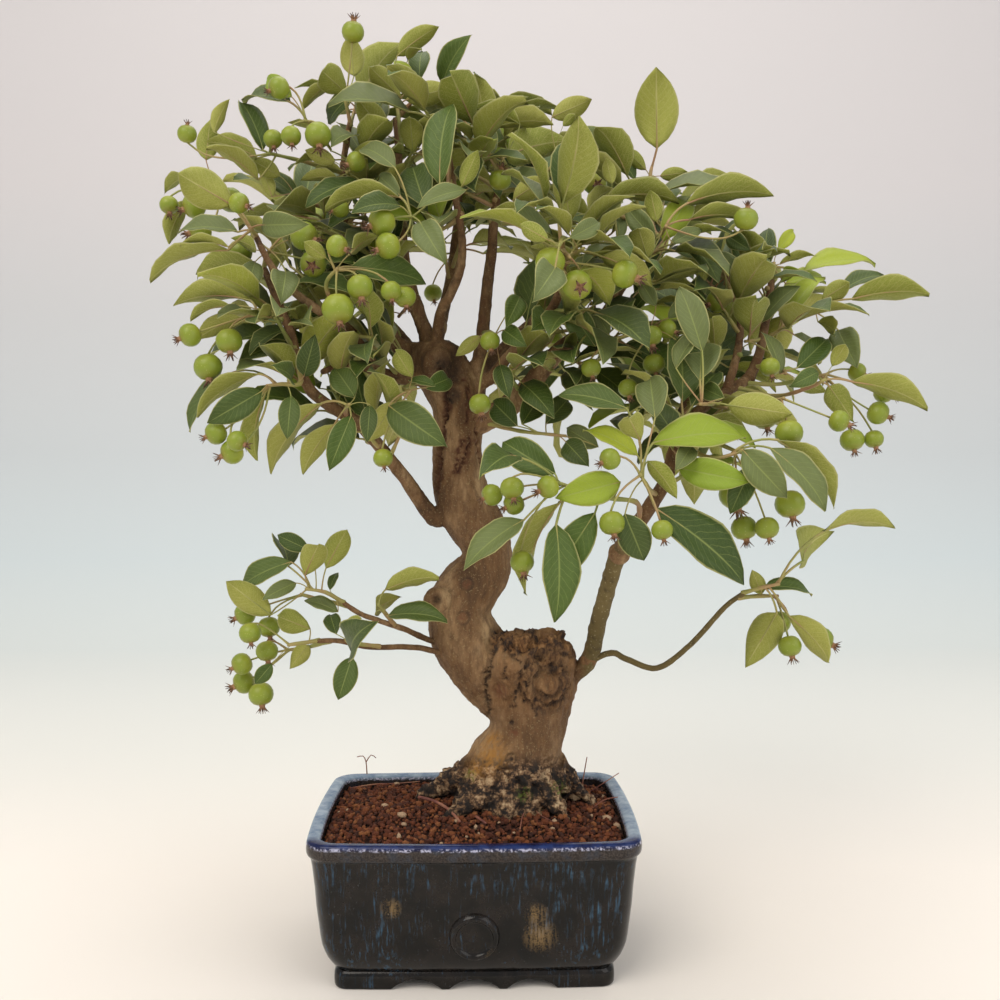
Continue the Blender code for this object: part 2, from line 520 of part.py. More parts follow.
def near_ball(obstacle, centre, radius):
    """True where a ball reaches an obstacle."""
    for i in range(3):
        if centre[i] + radius < obstacle["low"][i] or centre[i] - radius > obstacle["high"][i]:
            return False
    hit = obstacle["tree"].find_nearest(centre, radius)
    return hit[0] is not None


def bend(start, pull, end, count):
    """Points on a smooth bend from start to end, drawn towards pull."""
    points = []
    for i in range(count):
        t = i / (count - 1)
        points.append(start * (1 - t) ** 2 + pull * (2 * t * (1 - t)) + end * t ** 2)
    return points


class Planner:
    """Places fruits and leaves one by one, each clear of all that is already there."""

    def __init__(self, limbs, roots):
        self.limbs = limbs
        self.obstacles = []
        self.balls = []
        for points, radii in list(limbs.values()) + roots:
            self.add("wood", tube_tree(points, [r + CLEAR for r in radii], 8))

    def add(self, owner, obstacle):
        self.obstacles.append((owner, obstacle))

    def blocked(self, obstacle, owner, own_too=False):
        for other, placed in self.obstacles:
            if (own_too or other != owner) and meets(obstacle, placed):
                return True
        for other, centre, radius in self.balls:
            if near_ball(obstacle, centre, radius + CLEAR):
                return True
        return False

    def ball_blocked(self, centre, radius):
        for other, placed_centre, placed_radius in self.balls:
            if (centre - placed_centre).length < radius + placed_radius + CLEAR:
                return True
        for other, placed in self.obstacles:
            if near_ball(placed, centre, radius + CLEAR):
                return True
        return False

    def place_stem(self, owner, entry):
        """A twig, shifted nearer or farther until it is clear of the wood and of other twigs."""
        for step in DEPTH_STEPS:
            stem = place_twig(entry, self.limbs, step)
            outer = [stem[0] + (stem[1] - stem[0]).normalized() * 2.5] + stem[1:]
            tree = tube_tree(outer, [STEM_RADIUS + CLEAR] * len(outer), 5)
            if not self.blocked(tree, owner):
                self.add(owner, tree)
                return stem
        return None

    def place_fruit(self, owner, stem, spec, index):
        """A fruit with its pedicel, at the first depth where both are clear."""
        x, y, size, aim = spec
        root = stem[-1] - (stem[-1] - stem[-2]).normalized() * (1.2 + 0.9 * index)
        way = Vector(CALYX_AIM[aim]).normalized()
        for step in DEPTH_STEPS:
            back = stem[-1].y - 6.0 + step
            centre = photo_point(x, y, back)
            radius = min(FRUIT_MAX, max(FRUIT_MIN, size * photo_scale(back)))
            dried = centre + way * (radius + CALYX_LENGTH * 0.5)
            if self.ball_blocked(centre, radius) or self.ball_blocked(dried, DRIED_RADIUS):
                continue
            top = centre - way * (radius * 0.8)
            reach = (top - root).length
            pull = root.lerp(top, 0.5) * 0.5 + (centre - way * (radius + 0.5 * reach)) * 0.5
            path = bend(root, pull, top, 4)
            outer = [step_off(root, path[1])] + path[1:3] + [path[2].lerp(path[3], 0.6)]
            pedicel = tube_tree(outer, [PEDICEL_RADIUS + CLEAR] * 4, 4)
            if self.blocked(pedicel, owner, own_too=False):
                continue
            self.balls += [(owner, centre, radius), (owner, dried, DRIED_RADIUS)]
            self.add(owner, pedicel)
            return {"centre": centre, "radius": radius, "way": way, "path": path}
        return None

    def place_leaf(self, owner, stem, spec, index):
        """A leaf aimed by the picture, at the first depth where it is clear."""
        base_x, base_y, tip_x, tip_y, width, face = spec
        root = leaf_root(stem, photo_point(base_x, base_y, stem[-1].y), index)
        for step in DEPTH_STEPS:
            for swing in SWING_STEPS:
                leaf = aim_leaf(root, spec, step, swing)
                if leaf is None:
                    continue
                obstacle = leaf_tree(leaf)
                if not self.blocked(obstacle, owner, own_too=True):
                    self.add(owner, obstacle)
                    return leaf
        return None

    def place_back_leaf(self, owner, stem, draw):
        """A leaf on the far side, fanned round the twig and redrawn until it is clear."""
        outward = (stem[-1] - stem[0]).normalized()
        for _ in range(BACK_TRIES):
            root = point_along(stem, draw.uniform(0.3, 0.98))
            way = Vector((draw.uniform(-1, 1), draw.uniform(-0.5, 1.0), draw.uniform(-0.35, 0.8)))
            way = (way.normalized() + outward * 0.5).normalized()
            droop = Vector((0, 0, draw.uniform(-0.5, 0.1)))
            base = root + way * draw.uniform(10, 18)
            length = LEAF_LENGTH * draw.uniform(0.8, 1.15)
            tip = base + (way + droop).normalized() * length
            lean = Vector((draw.uniform(-0.5, 0.5), draw.uniform(-0.2, 0.6), 1.0))
            leaf = make_leaf(root, base, tip, lean, length * LEAF_RATIO * draw.uniform(0.9, 1.1))
            obstacle = leaf_tree(leaf)
            if not self.blocked(obstacle, owner, own_too=True):
                self.add(owner, obstacle)
                return leaf
        return None


def leaf_root(stem, base, index):
    """The point on the stem a petiole springs from, a little back from the blade's base."""
    best = None
    for start, end in zip(stem, stem[1:]):
        span = end - start
        share = max(0.0, min(1.0, (base - start).dot(span) / span.length_squared))
        point = start + span * share
        distance = (base - point).length
        if best is None or distance < best[0]:
            near = 3.0 if start is stem[0] else 0.0
            along = max(near, share * span.length - 1.0 - 1.3 * (index % 5))
            best = (distance, start + span.normalized() * min(along, span.length))
    return best[1]


def aim_leaf(root, spec, step, swing):
    """A leaf whose base and tip are seen at their picture points, leaning the natural way."""
    base_x, base_y, tip_x, tip_y, width, face = spec
    flat = root.y + step * 0.8
    scale = photo_scale(flat)
    seen_length = math.hypot(tip_x - base_x, tip_y - base_y) * scale
    seen_width = width * scale
    length = max(1.03 * seen_length, seen_width / 0.52)
    depth = math.sqrt(length ** 2 - seen_length ** 2)
    best = None
    for sign in (-1, 1):
        base = photo_point(base_x, base_y, flat + sign * depth * 0.2)
        tip = photo_point(tip_x, tip_y, flat + sign * depth * 1.2 + swing)
        true_length = (tip - base).length
        blade_width = max(seen_width, LEAF_RATIO * true_length * 0.94)
        normal = facing_normal(base, tip, seen_width / blade_width, face in UPPER_FACES)
        if best is None or normal.z > best[0] + 0.02:
            best = (normal.z, base, tip, normal, blade_width)
    if (best[2] - best[1]).length > 68 or (best[1] - root).length > 48:
        return None
    return make_leaf(root, best[1], best[2], best[3], best[4])


def facing_normal(base, tip, shown, upper):
    """The blade's upper normal, rolled so that this share of its width shows to the eye."""
    along = (tip - base).normalized()
    view = EYE - base
    view = (view - along * view.dot(along)).normalized()
    side = along.cross(view)
    face_on = view * (1 if upper else -1) * shown
    roll = side * math.sqrt(max(0.0, 1 - shown ** 2))
    rolls = [face_on + roll, face_on - roll]
    return max(rolls, key=lambda n: n.z).normalized()


def make_leaf(root, base, tip, lean, width):
    """A leaf's frame: where it is, which way its upper side looks, its width and its bend."""
    along = (tip - base).normalized()
    normal = (lean - along * lean.dot(along)).normalized()
    length = (tip - base).length
    return {"root": root, "base": base, "tip": tip, "along": along, "normal": normal,
            "side": along.cross(normal), "width": width, "length": length,
            "small": length < SMALL_LEAF}


def blade_point(leaf, share, across):
    """A point of the blade: share of the way to the tip, across from -1 to 1.

    The midrib arches over and the two halves rise from it, as a young blade's do.
    """
    arch = 0.34 * leaf["length"] * share * (1 - share)
    rise = 0.16 * leaf["width"] * abs(across)
    return (leaf["base"].lerp(leaf["tip"], share) + leaf["normal"] * (arch + rise)
            + leaf["side"] * (across * leaf["width"] / 2))


def step_off(root, towards):
    """A point on the way from a stalk's root that is just clear of its own stem."""
    way = towards - root
    return root + way.normalized() * min(STEM_RADIUS + 2 * CLEAR + 0.6, 0.5 * way.length)


def leaf_outline(leaf):
    """The petiole's root, then round the blade's edge from heel to heel, then its midrib.

    A small leaf has one point on each edge, and a large one has two.
    """
    thin = leaf["side"] * (PETIOLE_WIDTH / 2)
    stops = [(0.42, 1.0)] if leaf["small"] else [(0.3, 0.94), (0.66, 0.84)]
    left = [blade_point(leaf, share, -across) for share, across in stops]
    right = [blade_point(leaf, share, across) for share, across in reversed(stops)]
    edge = [leaf["base"] - thin] + left + [leaf["tip"]] + right + [leaf["base"] + thin]
    return [leaf["root"]] + edge + [blade_point(leaf, 0.5, 0.0)]


def leaf_faces(count):
    """The petiole's triangle, then a fan round the midrib's middle point, which is the last."""
    rib = count - 1
    ring = list(range(1, rib))
    return [(0, 1, ring[-1])] + [(a, b, rib) for a, b in zip(ring, ring[1:])] + [(ring[-1], 1, rib)]


def leaf_tree(leaf):
    """The leaf as a slab with clearance on both sides, without the petiole's first part."""
    outline = leaf_outline(leaf)
    outline[0] = step_off(leaf["root"], leaf["base"])
    lift = leaf["normal"] * (BLADE / 2 + CLEAR)
    corners = [p + lift for p in outline] + [p - lift for p in outline]
    count = len(outline)
    faces = leaf_faces(count)
    faces = faces + [tuple(i + count for i in face) for face in faces]
    rim = list(range(count - 1))
    faces = faces + [(a, b, b + count, a + count) for a, b in zip(rim, rim[1:] + rim[:1])]
    return make_obstacle(corners, faces)


def clear_scene():
    for thing in list(bpy.data.objects):
        bpy.data.objects.remove(thing, do_unlink=True)


def make_collection(name):
    collection = bpy.data.collections.new(name)
    bpy.context.scene.collection.children.link(collection)
    return collection


def make_material(name, colour, roughness):
    material = bpy.data.materials.new(name)
    material.use_nodes = True
    shader = material.node_tree.nodes["Principled BSDF"]
    shader.inputs["Base Color"].default_value = (*colour, 1.0)
    shader.inputs["Roughness"].default_value = roughness
    shader.inputs["Metallic"].default_value = 0.0
    material.diffuse_color = (*colour, 1.0)
    return material


def object_from_bmesh(name, bm, collection):
    mesh = bpy.data.meshes.new(name)
    bm.to_mesh(mesh)
    bm.free()
    thing = bpy.data.objects.new(name, mesh)
    collection.objects.link(thing)
    return thing


def baked(thing, name, collection):
    """A new plain mesh object with the modifiers of the given one applied; the old one goes."""
    graph = bpy.context.evaluated_depsgraph_get()
    mesh = bpy.data.meshes.new_from_object(thing.evaluated_get(graph), depsgraph=graph)
    place = thing.matrix_world.copy()
    bpy.data.objects.remove(thing, do_unlink=True)
    result = bpy.data.objects.new(name, mesh)
    result.matrix_world = place
    collection.objects.link(result)
    return result


def make_tube(name, points, radii, sides, collection):
    """A tapering tube with closed ends, as a mesh."""
    curve = bpy.data.curves.new(name, "CURVE")
    curve.dimensions = "3D"
    curve.bevel_depth = MM
    curve.bevel_resolution = sides
    curve.use_fill_caps = True
    spline = curve.splines.new("POLY")
    spline.points.add(len(points) - 1)
    for spot, point, radius in zip(spline.points, points, radii):
        spot.co = (*(point * MM), 1.0)
        spot.radius = radius
    thing = bpy.data.objects.new(name, curve)
    collection.objects.link(thing)
    bpy.context.view_layer.update()
    tube = baked(thing, name, collection)
    bm = bmesh.new()
    bm.from_mesh(tube.data)
    bmesh.ops.remove_doubles(bm, verts=bm.verts, dist=1e-6)
    bmesh.ops.recalc_face_normals(bm, faces=bm.faces)
    bm.to_mesh(tube.data)
    bm.free()
    return tube


def make_strand(name, points, radii, sides, collection):
    """A thin closed stalk, grown by extruding its end from point to point."""
    way = (points[1] - points[0]).normalized()
    bm = bmesh.new()
    bmesh.ops.create_circle(bm, cap_ends=True, segments=sides, radius=radii[0] * MM)
    turn = Vector((0, 0, 1)).rotation_difference(way).to_matrix().to_4x4()
    bmesh.ops.transform(bm, matrix=turn, verts=bm.verts)
    bmesh.ops.translate(bm, vec=points[0] * MM, verts=bm.verts)
    end = bm.faces[:][0]
    bmesh.ops.duplicate(bm, geom=[end])
    for i in range(1, len(points)):
        grown = bmesh.ops.extrude_discrete_faces(bm, faces=[end])
        end = grown["faces"][0]
        grow = radii[i] / radii[i - 1]
        middle = points[i - 1] * MM
        for vert in end.verts:
            vert.co = points[i] * MM + (vert.co - middle) * grow
        after = points[min(i + 1, len(points) - 1)] - points[i]
        if after.length > 0:
            tilt = way.rotation_difference((way + after.normalized()).normalized()).to_matrix()
            bmesh.ops.rotate(bm, cent=points[i] * MM, matrix=tilt, verts=end.verts)
            way = (way + after.normalized()).normalized()
    bmesh.ops.remove_doubles(bm, verts=bm.verts, dist=1e-6)
    bmesh.ops.recalc_face_normals(bm, faces=bm.faces)
    return object_from_bmesh(name, bm, collection)


def make_ball(name, centre, radius, across, up, collection, squash=1.0, way=None):
    """A faceted ball, its pole turned to point along a direction."""
    bm = bmesh.new()
    bmesh.ops.create_uvsphere(bm, u_segments=across, v_segments=up, radius=radius * MM)
    bmesh.ops.scale(bm, vec=(1, 1, squash), verts=bm.verts)
    if way is not None:
        turn = Vector((0, 0, 1)).rotation_difference(way).to_matrix().to_4x4()
        bmesh.ops.transform(bm, matrix=turn, verts=bm.verts)
    bmesh.ops.translate(bm, vec=centre * MM, verts=bm.verts)
    return object_from_bmesh(name, bm, collection)


def make_cone(name, start, end, start_radius, end_radius, sides, collection):
    """A closed cone or cylinder between two points."""
    way = end - start
    bm = bmesh.new()
    bmesh.ops.create_cone(bm, cap_ends=True, segments=sides, radius1=start_radius * MM,
                          radius2=end_radius * MM, depth=way.length * MM)
    turn = Vector((0, 0, 1)).rotation_difference(way.normalized()).to_matrix().to_4x4()
    bmesh.ops.transform(bm, matrix=turn, verts=bm.verts)
    bmesh.ops.translate(bm, vec=start.lerp(end, 0.5) * MM, verts=bm.verts)
    return object_from_bmesh(name, bm, collection)


def make_box(name, low, high, collection):
    bm = bmesh.new()
    bmesh.ops.create_cube(bm, size=1.0)
    bmesh.ops.scale(bm, vec=(high - low) * MM, verts=bm.verts)
    bmesh.ops.translate(bm, vec=(low + high) * 0.5 * MM, verts=bm.verts)
    return object_from_bmesh(name, bm, collection)


def combine(base, collection, operation, solver="EXACT"):
    """Joins or cuts a solid with every object of a collection, which then goes."""
    if not collection.objects:
        bpy.data.collections.remove(collection)
        return base
    modifier = base.modifiers.new("combine", "BOOLEAN")
    modifier.operation = operation
    modifier.operand_type = "COLLECTION"
    modifier.collection = collection
    modifier.solver = solver
    bpy.context.view_layer.update()
    name = base.name
    result = baked(base, name + "_joined", base.users_collection[0])
    for thing in list(collection.objects):
        bpy.data.objects.remove(thing, do_unlink=True)
    bpy.data.collections.remove(collection)
    result.name = name
    tidy_mesh(result)
    return result


def tidy_mesh(thing):
    """Splits every face into triangles, and drops loose scraps and slivers that lie back to back."""
    bm = bmesh.new()
    bm.from_mesh(thing.data)
    bmesh.ops.triangulate(bm, faces=bm.faces)
    seen = {}
    for face in bm.faces:
        seen.setdefault(frozenset(v.index for v in face.verts), []).append(face)
    doubles = [face for faces in seen.values() if len(faces) > 1 for face in faces]
    bmesh.ops.delete(bm, geom=doubles, context="FACES")
    keep_largest(bm)
    bm.to_mesh(thing.data)
    bm.free()


def keep_largest(bm):
    """Leaves only the body with the most faces."""
    seen = set()
    groups = []
    for face in bm.faces:
        if face in seen:
            continue
        group = []
        wait = [face]
        seen.add(face)
        while wait:
            here = wait.pop()
            group.append(here)
            for edge in here.edges:
                for near in edge.link_faces:
                    if near not in seen:
                        seen.add(near)
                        wait.append(near)
        groups.append(group)
    groups.sort(key=len)
    for group in groups[:-1]:
        bmesh.ops.delete(bm, geom=group, context="FACES")


def finish_part(thing, name, material, parts):
    """Gives a solid its node name, its material and its place among the parts."""
    thing.name = name
    thing.data.name = name
    thing.data.materials.clear()
    thing.data.materials.append(material)
    for collection in list(thing.users_collection):
        collection.objects.unlink(thing)
    parts.objects.link(thing)
    return thing


def make_leaf_mesh(leaf, collection):
    """A blade with its petiole as one closed sheet of even thickness."""
    bm = bmesh.new()
    corners = [bm.verts.new(point * MM) for point in leaf_outline(leaf)]
    for face in leaf_faces(len(corners)):
        bm.faces.new([corners[i] for i in face])
    bmesh.ops.recalc_face_normals(bm, faces=bm.faces)
    thing = object_from_bmesh("leaf", bm, collection)
    modifier = thing.modifiers.new("thickness", "SOLIDIFY")
    modifier.thickness = BLADE * MM
    modifier.offset = 0.0
    bpy.context.view_layer.update()
    return baked(thing, "leaf", collection)


def make_fruit_meshes(fruit, collection):
    """A round fruit drawn out at its far pole, where the dried calyx sits, and its pedicel."""
    centre, radius, way = fruit["centre"], fruit["radius"], fruit["way"]
    ball = make_ball("fruit", centre, radius, 5, 4, collection, 0.96, way)
    pole = max(ball.data.vertices, key=lambda v: v.co.dot(way))
    pole.co = (centre + way * (radius + CALYX_LENGTH)) * MM
    path = fruit["path"]
    make_strand("pedicel", [path[0], path[1].lerp(path[2], 0.5), path[3]],
                [PEDICEL_RADIUS * 1.4, PEDICEL_RADIUS * 1.1, PEDICEL_RADIUS * 1.1], 3, collection)


def make_spray(name, stem, leaves, fruits, material, parts):
    """A leafy stem or a bunch of fruit, fused into one solid."""
    work = make_collection(name + "_pieces")
    radii = [STEM_RADIUS * 1.1] * (len(stem) - 1) + [STEM_RADIUS]
    base = make_strand(name, stem, radii, 3, parts)
    for leaf in leaves:
        make_leaf_mesh(leaf, work)
    for fruit in fruits:
        make_fruit_meshes(fruit, work)
    return finish_part(combine(base, work, "UNION", "MANIFOLD"), name, material, parts)


def make_trunk(limbs, roots, material, parts):
    """Roots, stump, trunk and limbs, grown as one."""
    work = make_collection("wood")
    base = None
    for name, (points, radii) in limbs.items():
        if name == "stump":
            base = make_tube("trunk", points, radii, ROUND_SIDES, parts)
            continue
        sides = LIMB_SIDES
        if radii[0] < THIN_LIMB / 2:
            sides = TWIG_SIDES
        elif radii[0] >= THICK_LIMB / 2:
            sides = ROUND_SIDES
        make_tube(name, points, radii, sides, work)
    for points, radii in roots:
        make_tube("root", points, radii, LIMB_SIDES, work)
    for x, y, back, size in KNOTS:
        make_ball("knot", photo_point(x, y, back), size / 2, 6, 4, work)
    return finish_part(combine(base, work, "UNION"), "trunk", material, parts)


def stack_rings(steps, corner):
    """A rounded box grown ring by ring: each step is a width, a depth and a height."""
    bm = bmesh.new()
    width, depth, height = steps[0]
    bmesh.ops.create_cube(bm, size=1.0)
    bmesh.ops.scale(bm, vec=(width * MM, depth * MM, MM), verts=bm.verts)
    uprights = [e for e in bm.edges if abs(e.verts[0].co.z - e.verts[1].co.z) > 0.5 * MM]
    bmesh.ops.bevel(bm, geom=uprights, offset=corner * MM, segments=2, affect="EDGES",
                    profile=0.5, material=-1)
    bmesh.ops.translate(bm, vec=(0, 0, (height - 0.5) * MM), verts=bm.verts)
    low = min(v.co.z for v in bm.verts)
    for vert in bm.verts:
        if vert.co.z < low + 0.1 * MM:
            vert.co.z = height * MM
        else:
            vert.co.z = (height + 0.01) * MM
    top = max(bm.faces, key=lambda f: f.calc_center_median().z if abs(f.normal.z) > 0.9 else -1)
    for vert in top.verts:
        vert.co.x *= steps[1][0] / width
        vert.co.y *= steps[1][1] / depth
        vert.co.z = steps[1][2] * MM
    for (width, depth, height), (next_width, next_depth, next_height) in zip(steps[1:], steps[2:]):
        grown = bmesh.ops.extrude_discrete_faces(bm, faces=[top])
        top = grown["faces"][0]
        for vert in top.verts:
            vert.co.x *= next_width / width
            vert.co.y *= next_depth / depth
            vert.co.z = next_height * MM
    bmesh.ops.recalc_face_normals(bm, faces=bm.faces)
    return bm


def pot_rings():
    """The pot's wall from its underside up over the rim and down to the inside floor."""
    under = FOOT_HEIGHT
    floor = under + WALL
    rim_base = POT_HEIGHT - RIM_HEIGHT
    body_w = POT_WIDTH - 2 * RIM_OVERHANG
    body_d = POT_DEPTH - 2 * RIM_OVERHANG
    mouth_w = POT_WIDTH - 2 * RIM_WIDTH
    mouth_d = POT_DEPTH - 2 * RIM_WIDTH
    return [(body_w - 28, body_d - 28, under), (body_w - 19, body_d - 19, under + 4),
            (body_w - 12, body_d - 12, under + 14), (body_w - 7, body_d - 7, under + 31),
            (body_w - 1, body_d - 1, rim_base - 4), (body_w, body_d, rim_base),
            (POT_WIDTH - 1.5, POT_DEPTH - 1.5, rim_base + 0.6),
            (POT_WIDTH, POT_DEPTH, rim_base + 2.5), (POT_WIDTH, POT_DEPTH, POT_HEIGHT - 2),
            (POT_WIDTH - 3, POT_DEPTH - 3, POT_HEIGHT), (mouth_w + 2, mouth_d + 2, POT_HEIGHT),
            (mouth_w, mouth_d, POT_HEIGHT - 1.5), (mouth_w, mouth_d, rim_base),
            (mouth_w - 4, mouth_d - 4, under + 24), (mouth_w - 12, mouth_d - 12, floor + 2),
            (mouth_w - 16, mouth_d - 16, floor)]


def make_pot(material, parts):
    """The glazed pot: a rimmed body on a scalloped foot ring, with two drain holes."""
    body = object_from_bmesh("pot", stack_rings(pot_rings(), POT_CORNER * 0.76), parts)
    added = make_collection("pot_added")
    foot_w = POT_WIDTH - 2 * FOOT_INSET
    foot_d = POT_DEPTH - 2 * FOOT_INSET
    foot_steps = [(foot_w - 2, foot_d - 2, 0.0), (foot_w, foot_d, 1.5), (foot_w, foot_d, FOOT_HEIGHT + 1)]
    foot = object_from_bmesh("foot", stack_rings(foot_steps, POT_CORNER * 0.6), added)
    hollow = make_collection("foot_hollow")
    half = Vector((foot_w / 2 - FOOT_BAND, foot_d / 2 - FOOT_BAND, FOOT_HEIGHT))
    make_box("hollow", Vector((-half.x, -half.y, -5)), half, hollow)
    low = SCALLOP_RISE - SCALLOP_RADIUS
    for x in (-SCALLOP_PITCH, 0.0, SCALLOP_PITCH):
        make_cone("scallop", Vector((x, -POT_DEPTH, low)), Vector((x, POT_DEPTH, low)),
                  SCALLOP_RADIUS, SCALLOP_RADIUS, 16, hollow)
    for y in (-SCALLOP_PITCH / 2, SCALLOP_PITCH / 2):
        make_cone("scallop", Vector((-POT_WIDTH, y, low)), Vector((POT_WIDTH, y, low)),
                  SCALLOP_RADIUS, SCALLOP_RADIUS, 16, hollow)
    combine(foot, hollow, "DIFFERENCE")
    front = BOSS_SETBACK - (POT_DEPTH / 2 - RIM_OVERHANG)
    make_cone("boss", Vector((0, front + 4, BOSS_HEIGHT)), Vector((0, front - 0.2, BOSS_HEIGHT)),
              BOSS_RADIUS, BOSS_RADIUS - 0.8, 14, added)
    body = combine(body, added, "UNION")
    cuts = make_collection("pot_cuts")
    for x in (-DRAIN_SPREAD, DRAIN_SPREAD):
        make_cone("drain", Vector((x, 0, FOOT_HEIGHT - 4)), Vector((x, 0, FOOT_HEIGHT + WALL + 4)),
                  DRAIN_RADIUS, DRAIN_RADIUS, 10, cuts)
    make_cone("boss_ring", Vector((0, front - 4, BOSS_HEIGHT)), Vector((0, front + BOSS_DEPTH, BOSS_HEIGHT)),
              BOSS_RADIUS - BOSS_RING, BOSS_RADIUS - BOSS_RING, 10, cuts)
    body = combine(body, cuts, "DIFFERENCE")
    return finish_part(body, "pot", material, parts)


def make_screen(name, x, material, parts):
    """A drain screen that lies on the pot's floor over one of its holes."""
    low_z = FOOT_HEIGHT + WALL + GAP
    half = SCREEN_SIZE / 2
    plate = make_box(name, Vector((x - half, -half, low_z)),
                     Vector((x + half, half, low_z + SCREEN_THICKNESS)), parts)
    holes = make_collection(name + "_holes")
    pitch = SCREEN_HOLE * 0.8
    for i in (-1, 1):
        for j in (-1, 1):
            centre = Vector((x + i * pitch, j * pitch, low_z))
            size = Vector((SCREEN_HOLE / 2, SCREEN_HOLE / 2, 3.0))
            make_box("hole", centre - size, centre + size, holes)
    return finish_part(combine(plate, holes, "DIFFERENCE"), name, material, parts)


def soil_height(x, y, draw):
    """The soil mounds towards the trunk and is rough with grains."""
    spread = min(1.0, math.hypot(x / (POT_WIDTH * 0.46), y / (POT_DEPTH * 0.46)))
    return SOIL_EDGE + SOIL_DOME * (1 - spread ** 2) + draw.uniform(-1, 1) * GRAIN_HEIGHT


def make_soil(roots_cut, limbs, material, parts):
    """Coarse soil that fills the pot, with holes for the roots and room for the screens."""
    draw = random.Random(11)
    mouth_w = POT_WIDTH - 2 * RIM_WIDTH - 2 * GAP
    mouth_d = POT_DEPTH - 2 * RIM_WIDTH - 2 * GAP
    under = FOOT_HEIGHT
    floor = under + WALL
    corner = POT_CORNER * 1.1
    bm = bmesh.new()
    bmesh.ops.create_grid(bm, x_segments=12, y_segments=9, size=1.0)
    for vert in bm.verts:
        x = vert.co.x * mouth_w / 2
        y = vert.co.y * mouth_d / 2
        core_x = max(-mouth_w / 2 + corner, min(mouth_w / 2 - corner, x))
        core_y = max(-mouth_d / 2 + corner, min(mouth_d / 2 - corner, y))
        out = math.hypot(x - core_x, y - core_y)
        if out > corner:
            x = core_x + (x - core_x) * corner / out
            y = core_y + (y - core_y) * corner / out
        vert.co = Vector((x, y, soil_height(x, y, draw))) * MM
    rim = [e for e in bm.edges if e.is_boundary]
    steps = [(mouth_w - 5, mouth_d - 5, under + 24), (mouth_w - 18, mouth_d - 18, floor + GAP)]
    width, depth = mouth_w, mouth_d
    for next_width, next_depth, height in steps:
        grown = bmesh.ops.extrude_edge_only(bm, edges=rim)["geom"]
        for vert in [g for g in grown if isinstance(g, bmesh.types.BMVert)]:
            vert.co.x *= next_width / width
            vert.co.y *= next_depth / depth
            vert.co.z = height * MM
        rim = [g for g in grown if isinstance(g, bmesh.types.BMEdge)]
        width, depth = next_width, next_depth
    bmesh.ops.edgeloop_fill(bm, edges=rim)
    bmesh.ops.recalc_face_normals(bm, faces=bm.faces)
    soil = object_from_bmesh("soil", bm, parts)
    cuts = make_collection("soil_cuts")
    for points, radii in roots_cut:
        make_tube("root_hole", points, radii, LIMB_SIDES, cuts)
    points, radii = limbs["stump"]
    lower = [points[0] - Vector((0, 0, GAP))] + points[1:4]
    make_tube("stump_hole", lower, [r + GAP for r in radii[:4]], ROUND_SIDES, cuts)
    half = SCREEN_SIZE / 2 + GAP
    for x in (-DRAIN_SPREAD, DRAIN_SPREAD):
        make_box("screen_room", Vector((x - half, -half, floor - 2)),
                 Vector((x + half, half, floor + SCREEN_THICKNESS + 2 * GAP)), cuts)
    return finish_part(combine(soil, cuts, "DIFFERENCE"), "soil", material, parts)


def plan_plant(limbs, roots):
    """Finds every fruit and leaf its place. Fruits come first, as the larger bodies."""
    planner = Planner(limbs, roots)
    growth = {}
    missing = []
    entries = [("fruits_" + name, entry) for name, entry in BUNCHES.items()]
    entries += [("spray_" + name, entry) for name, entry in {**SPRAYS, **BACK_SPRAYS}.items()]
    for name, entry in entries:
        stem = planner.place_stem(name, entry)
        if stem is None:
            missing.append((name, "stem"))
        growth[name] = {"stem": stem, "leaves": [], "fruits": []}
    for name, entry in entries:
        for index, spec in enumerate(entry.get("fruits", [])):
            fruit = planner.place_fruit(name, growth[name]["stem"], spec, index)
            if fruit is None:
                missing.append((name, "fruit", spec))
                continue
            growth[name]["fruits"].append(fruit)
    for name, entry in entries:
        for index, spec in enumerate(entry.get("leaves", [])):
            leaf = planner.place_leaf(name, growth[name]["stem"], spec, index)
            if leaf is None:
                missing.append((name, "leaf", spec))
                continue
            growth[name]["leaves"].append(leaf)
    for name, entry in entries:
        draw = random.Random(len(name) * 31 + 7)
        for _ in range(entry.get("count", 0)):
            leaf = planner.place_back_leaf(name, growth[name]["stem"], draw)
            if leaf is not None:
                growth[name]["leaves"].append(leaf)
    return growth, missing


def centre_on_base(parts):
    """Moves every part so that the whole stands on the ground with its middle over the origin."""
    low = Vector((1e9, 1e9, 1e9))
    high = Vector((-1e9, -1e9, -1e9))
    for thing in parts.objects:
        for vert in thing.data.vertices:
            for i in range(3):
                low[i] = min(low[i], vert.co[i])
                high[i] = max(high[i], vert.co[i])
    shift = Vector(((low.x + high.x) / 2, (low.y + high.y) / 2, low.z))
    for thing in parts.objects:
        thing.data.transform(Matrix.Translation(-shift))
        thing.data.update()
    print("moved by", [round(v * 1000, 2) for v in shift])
    print("size", [round(v * 1000, 1) for v in high - low])


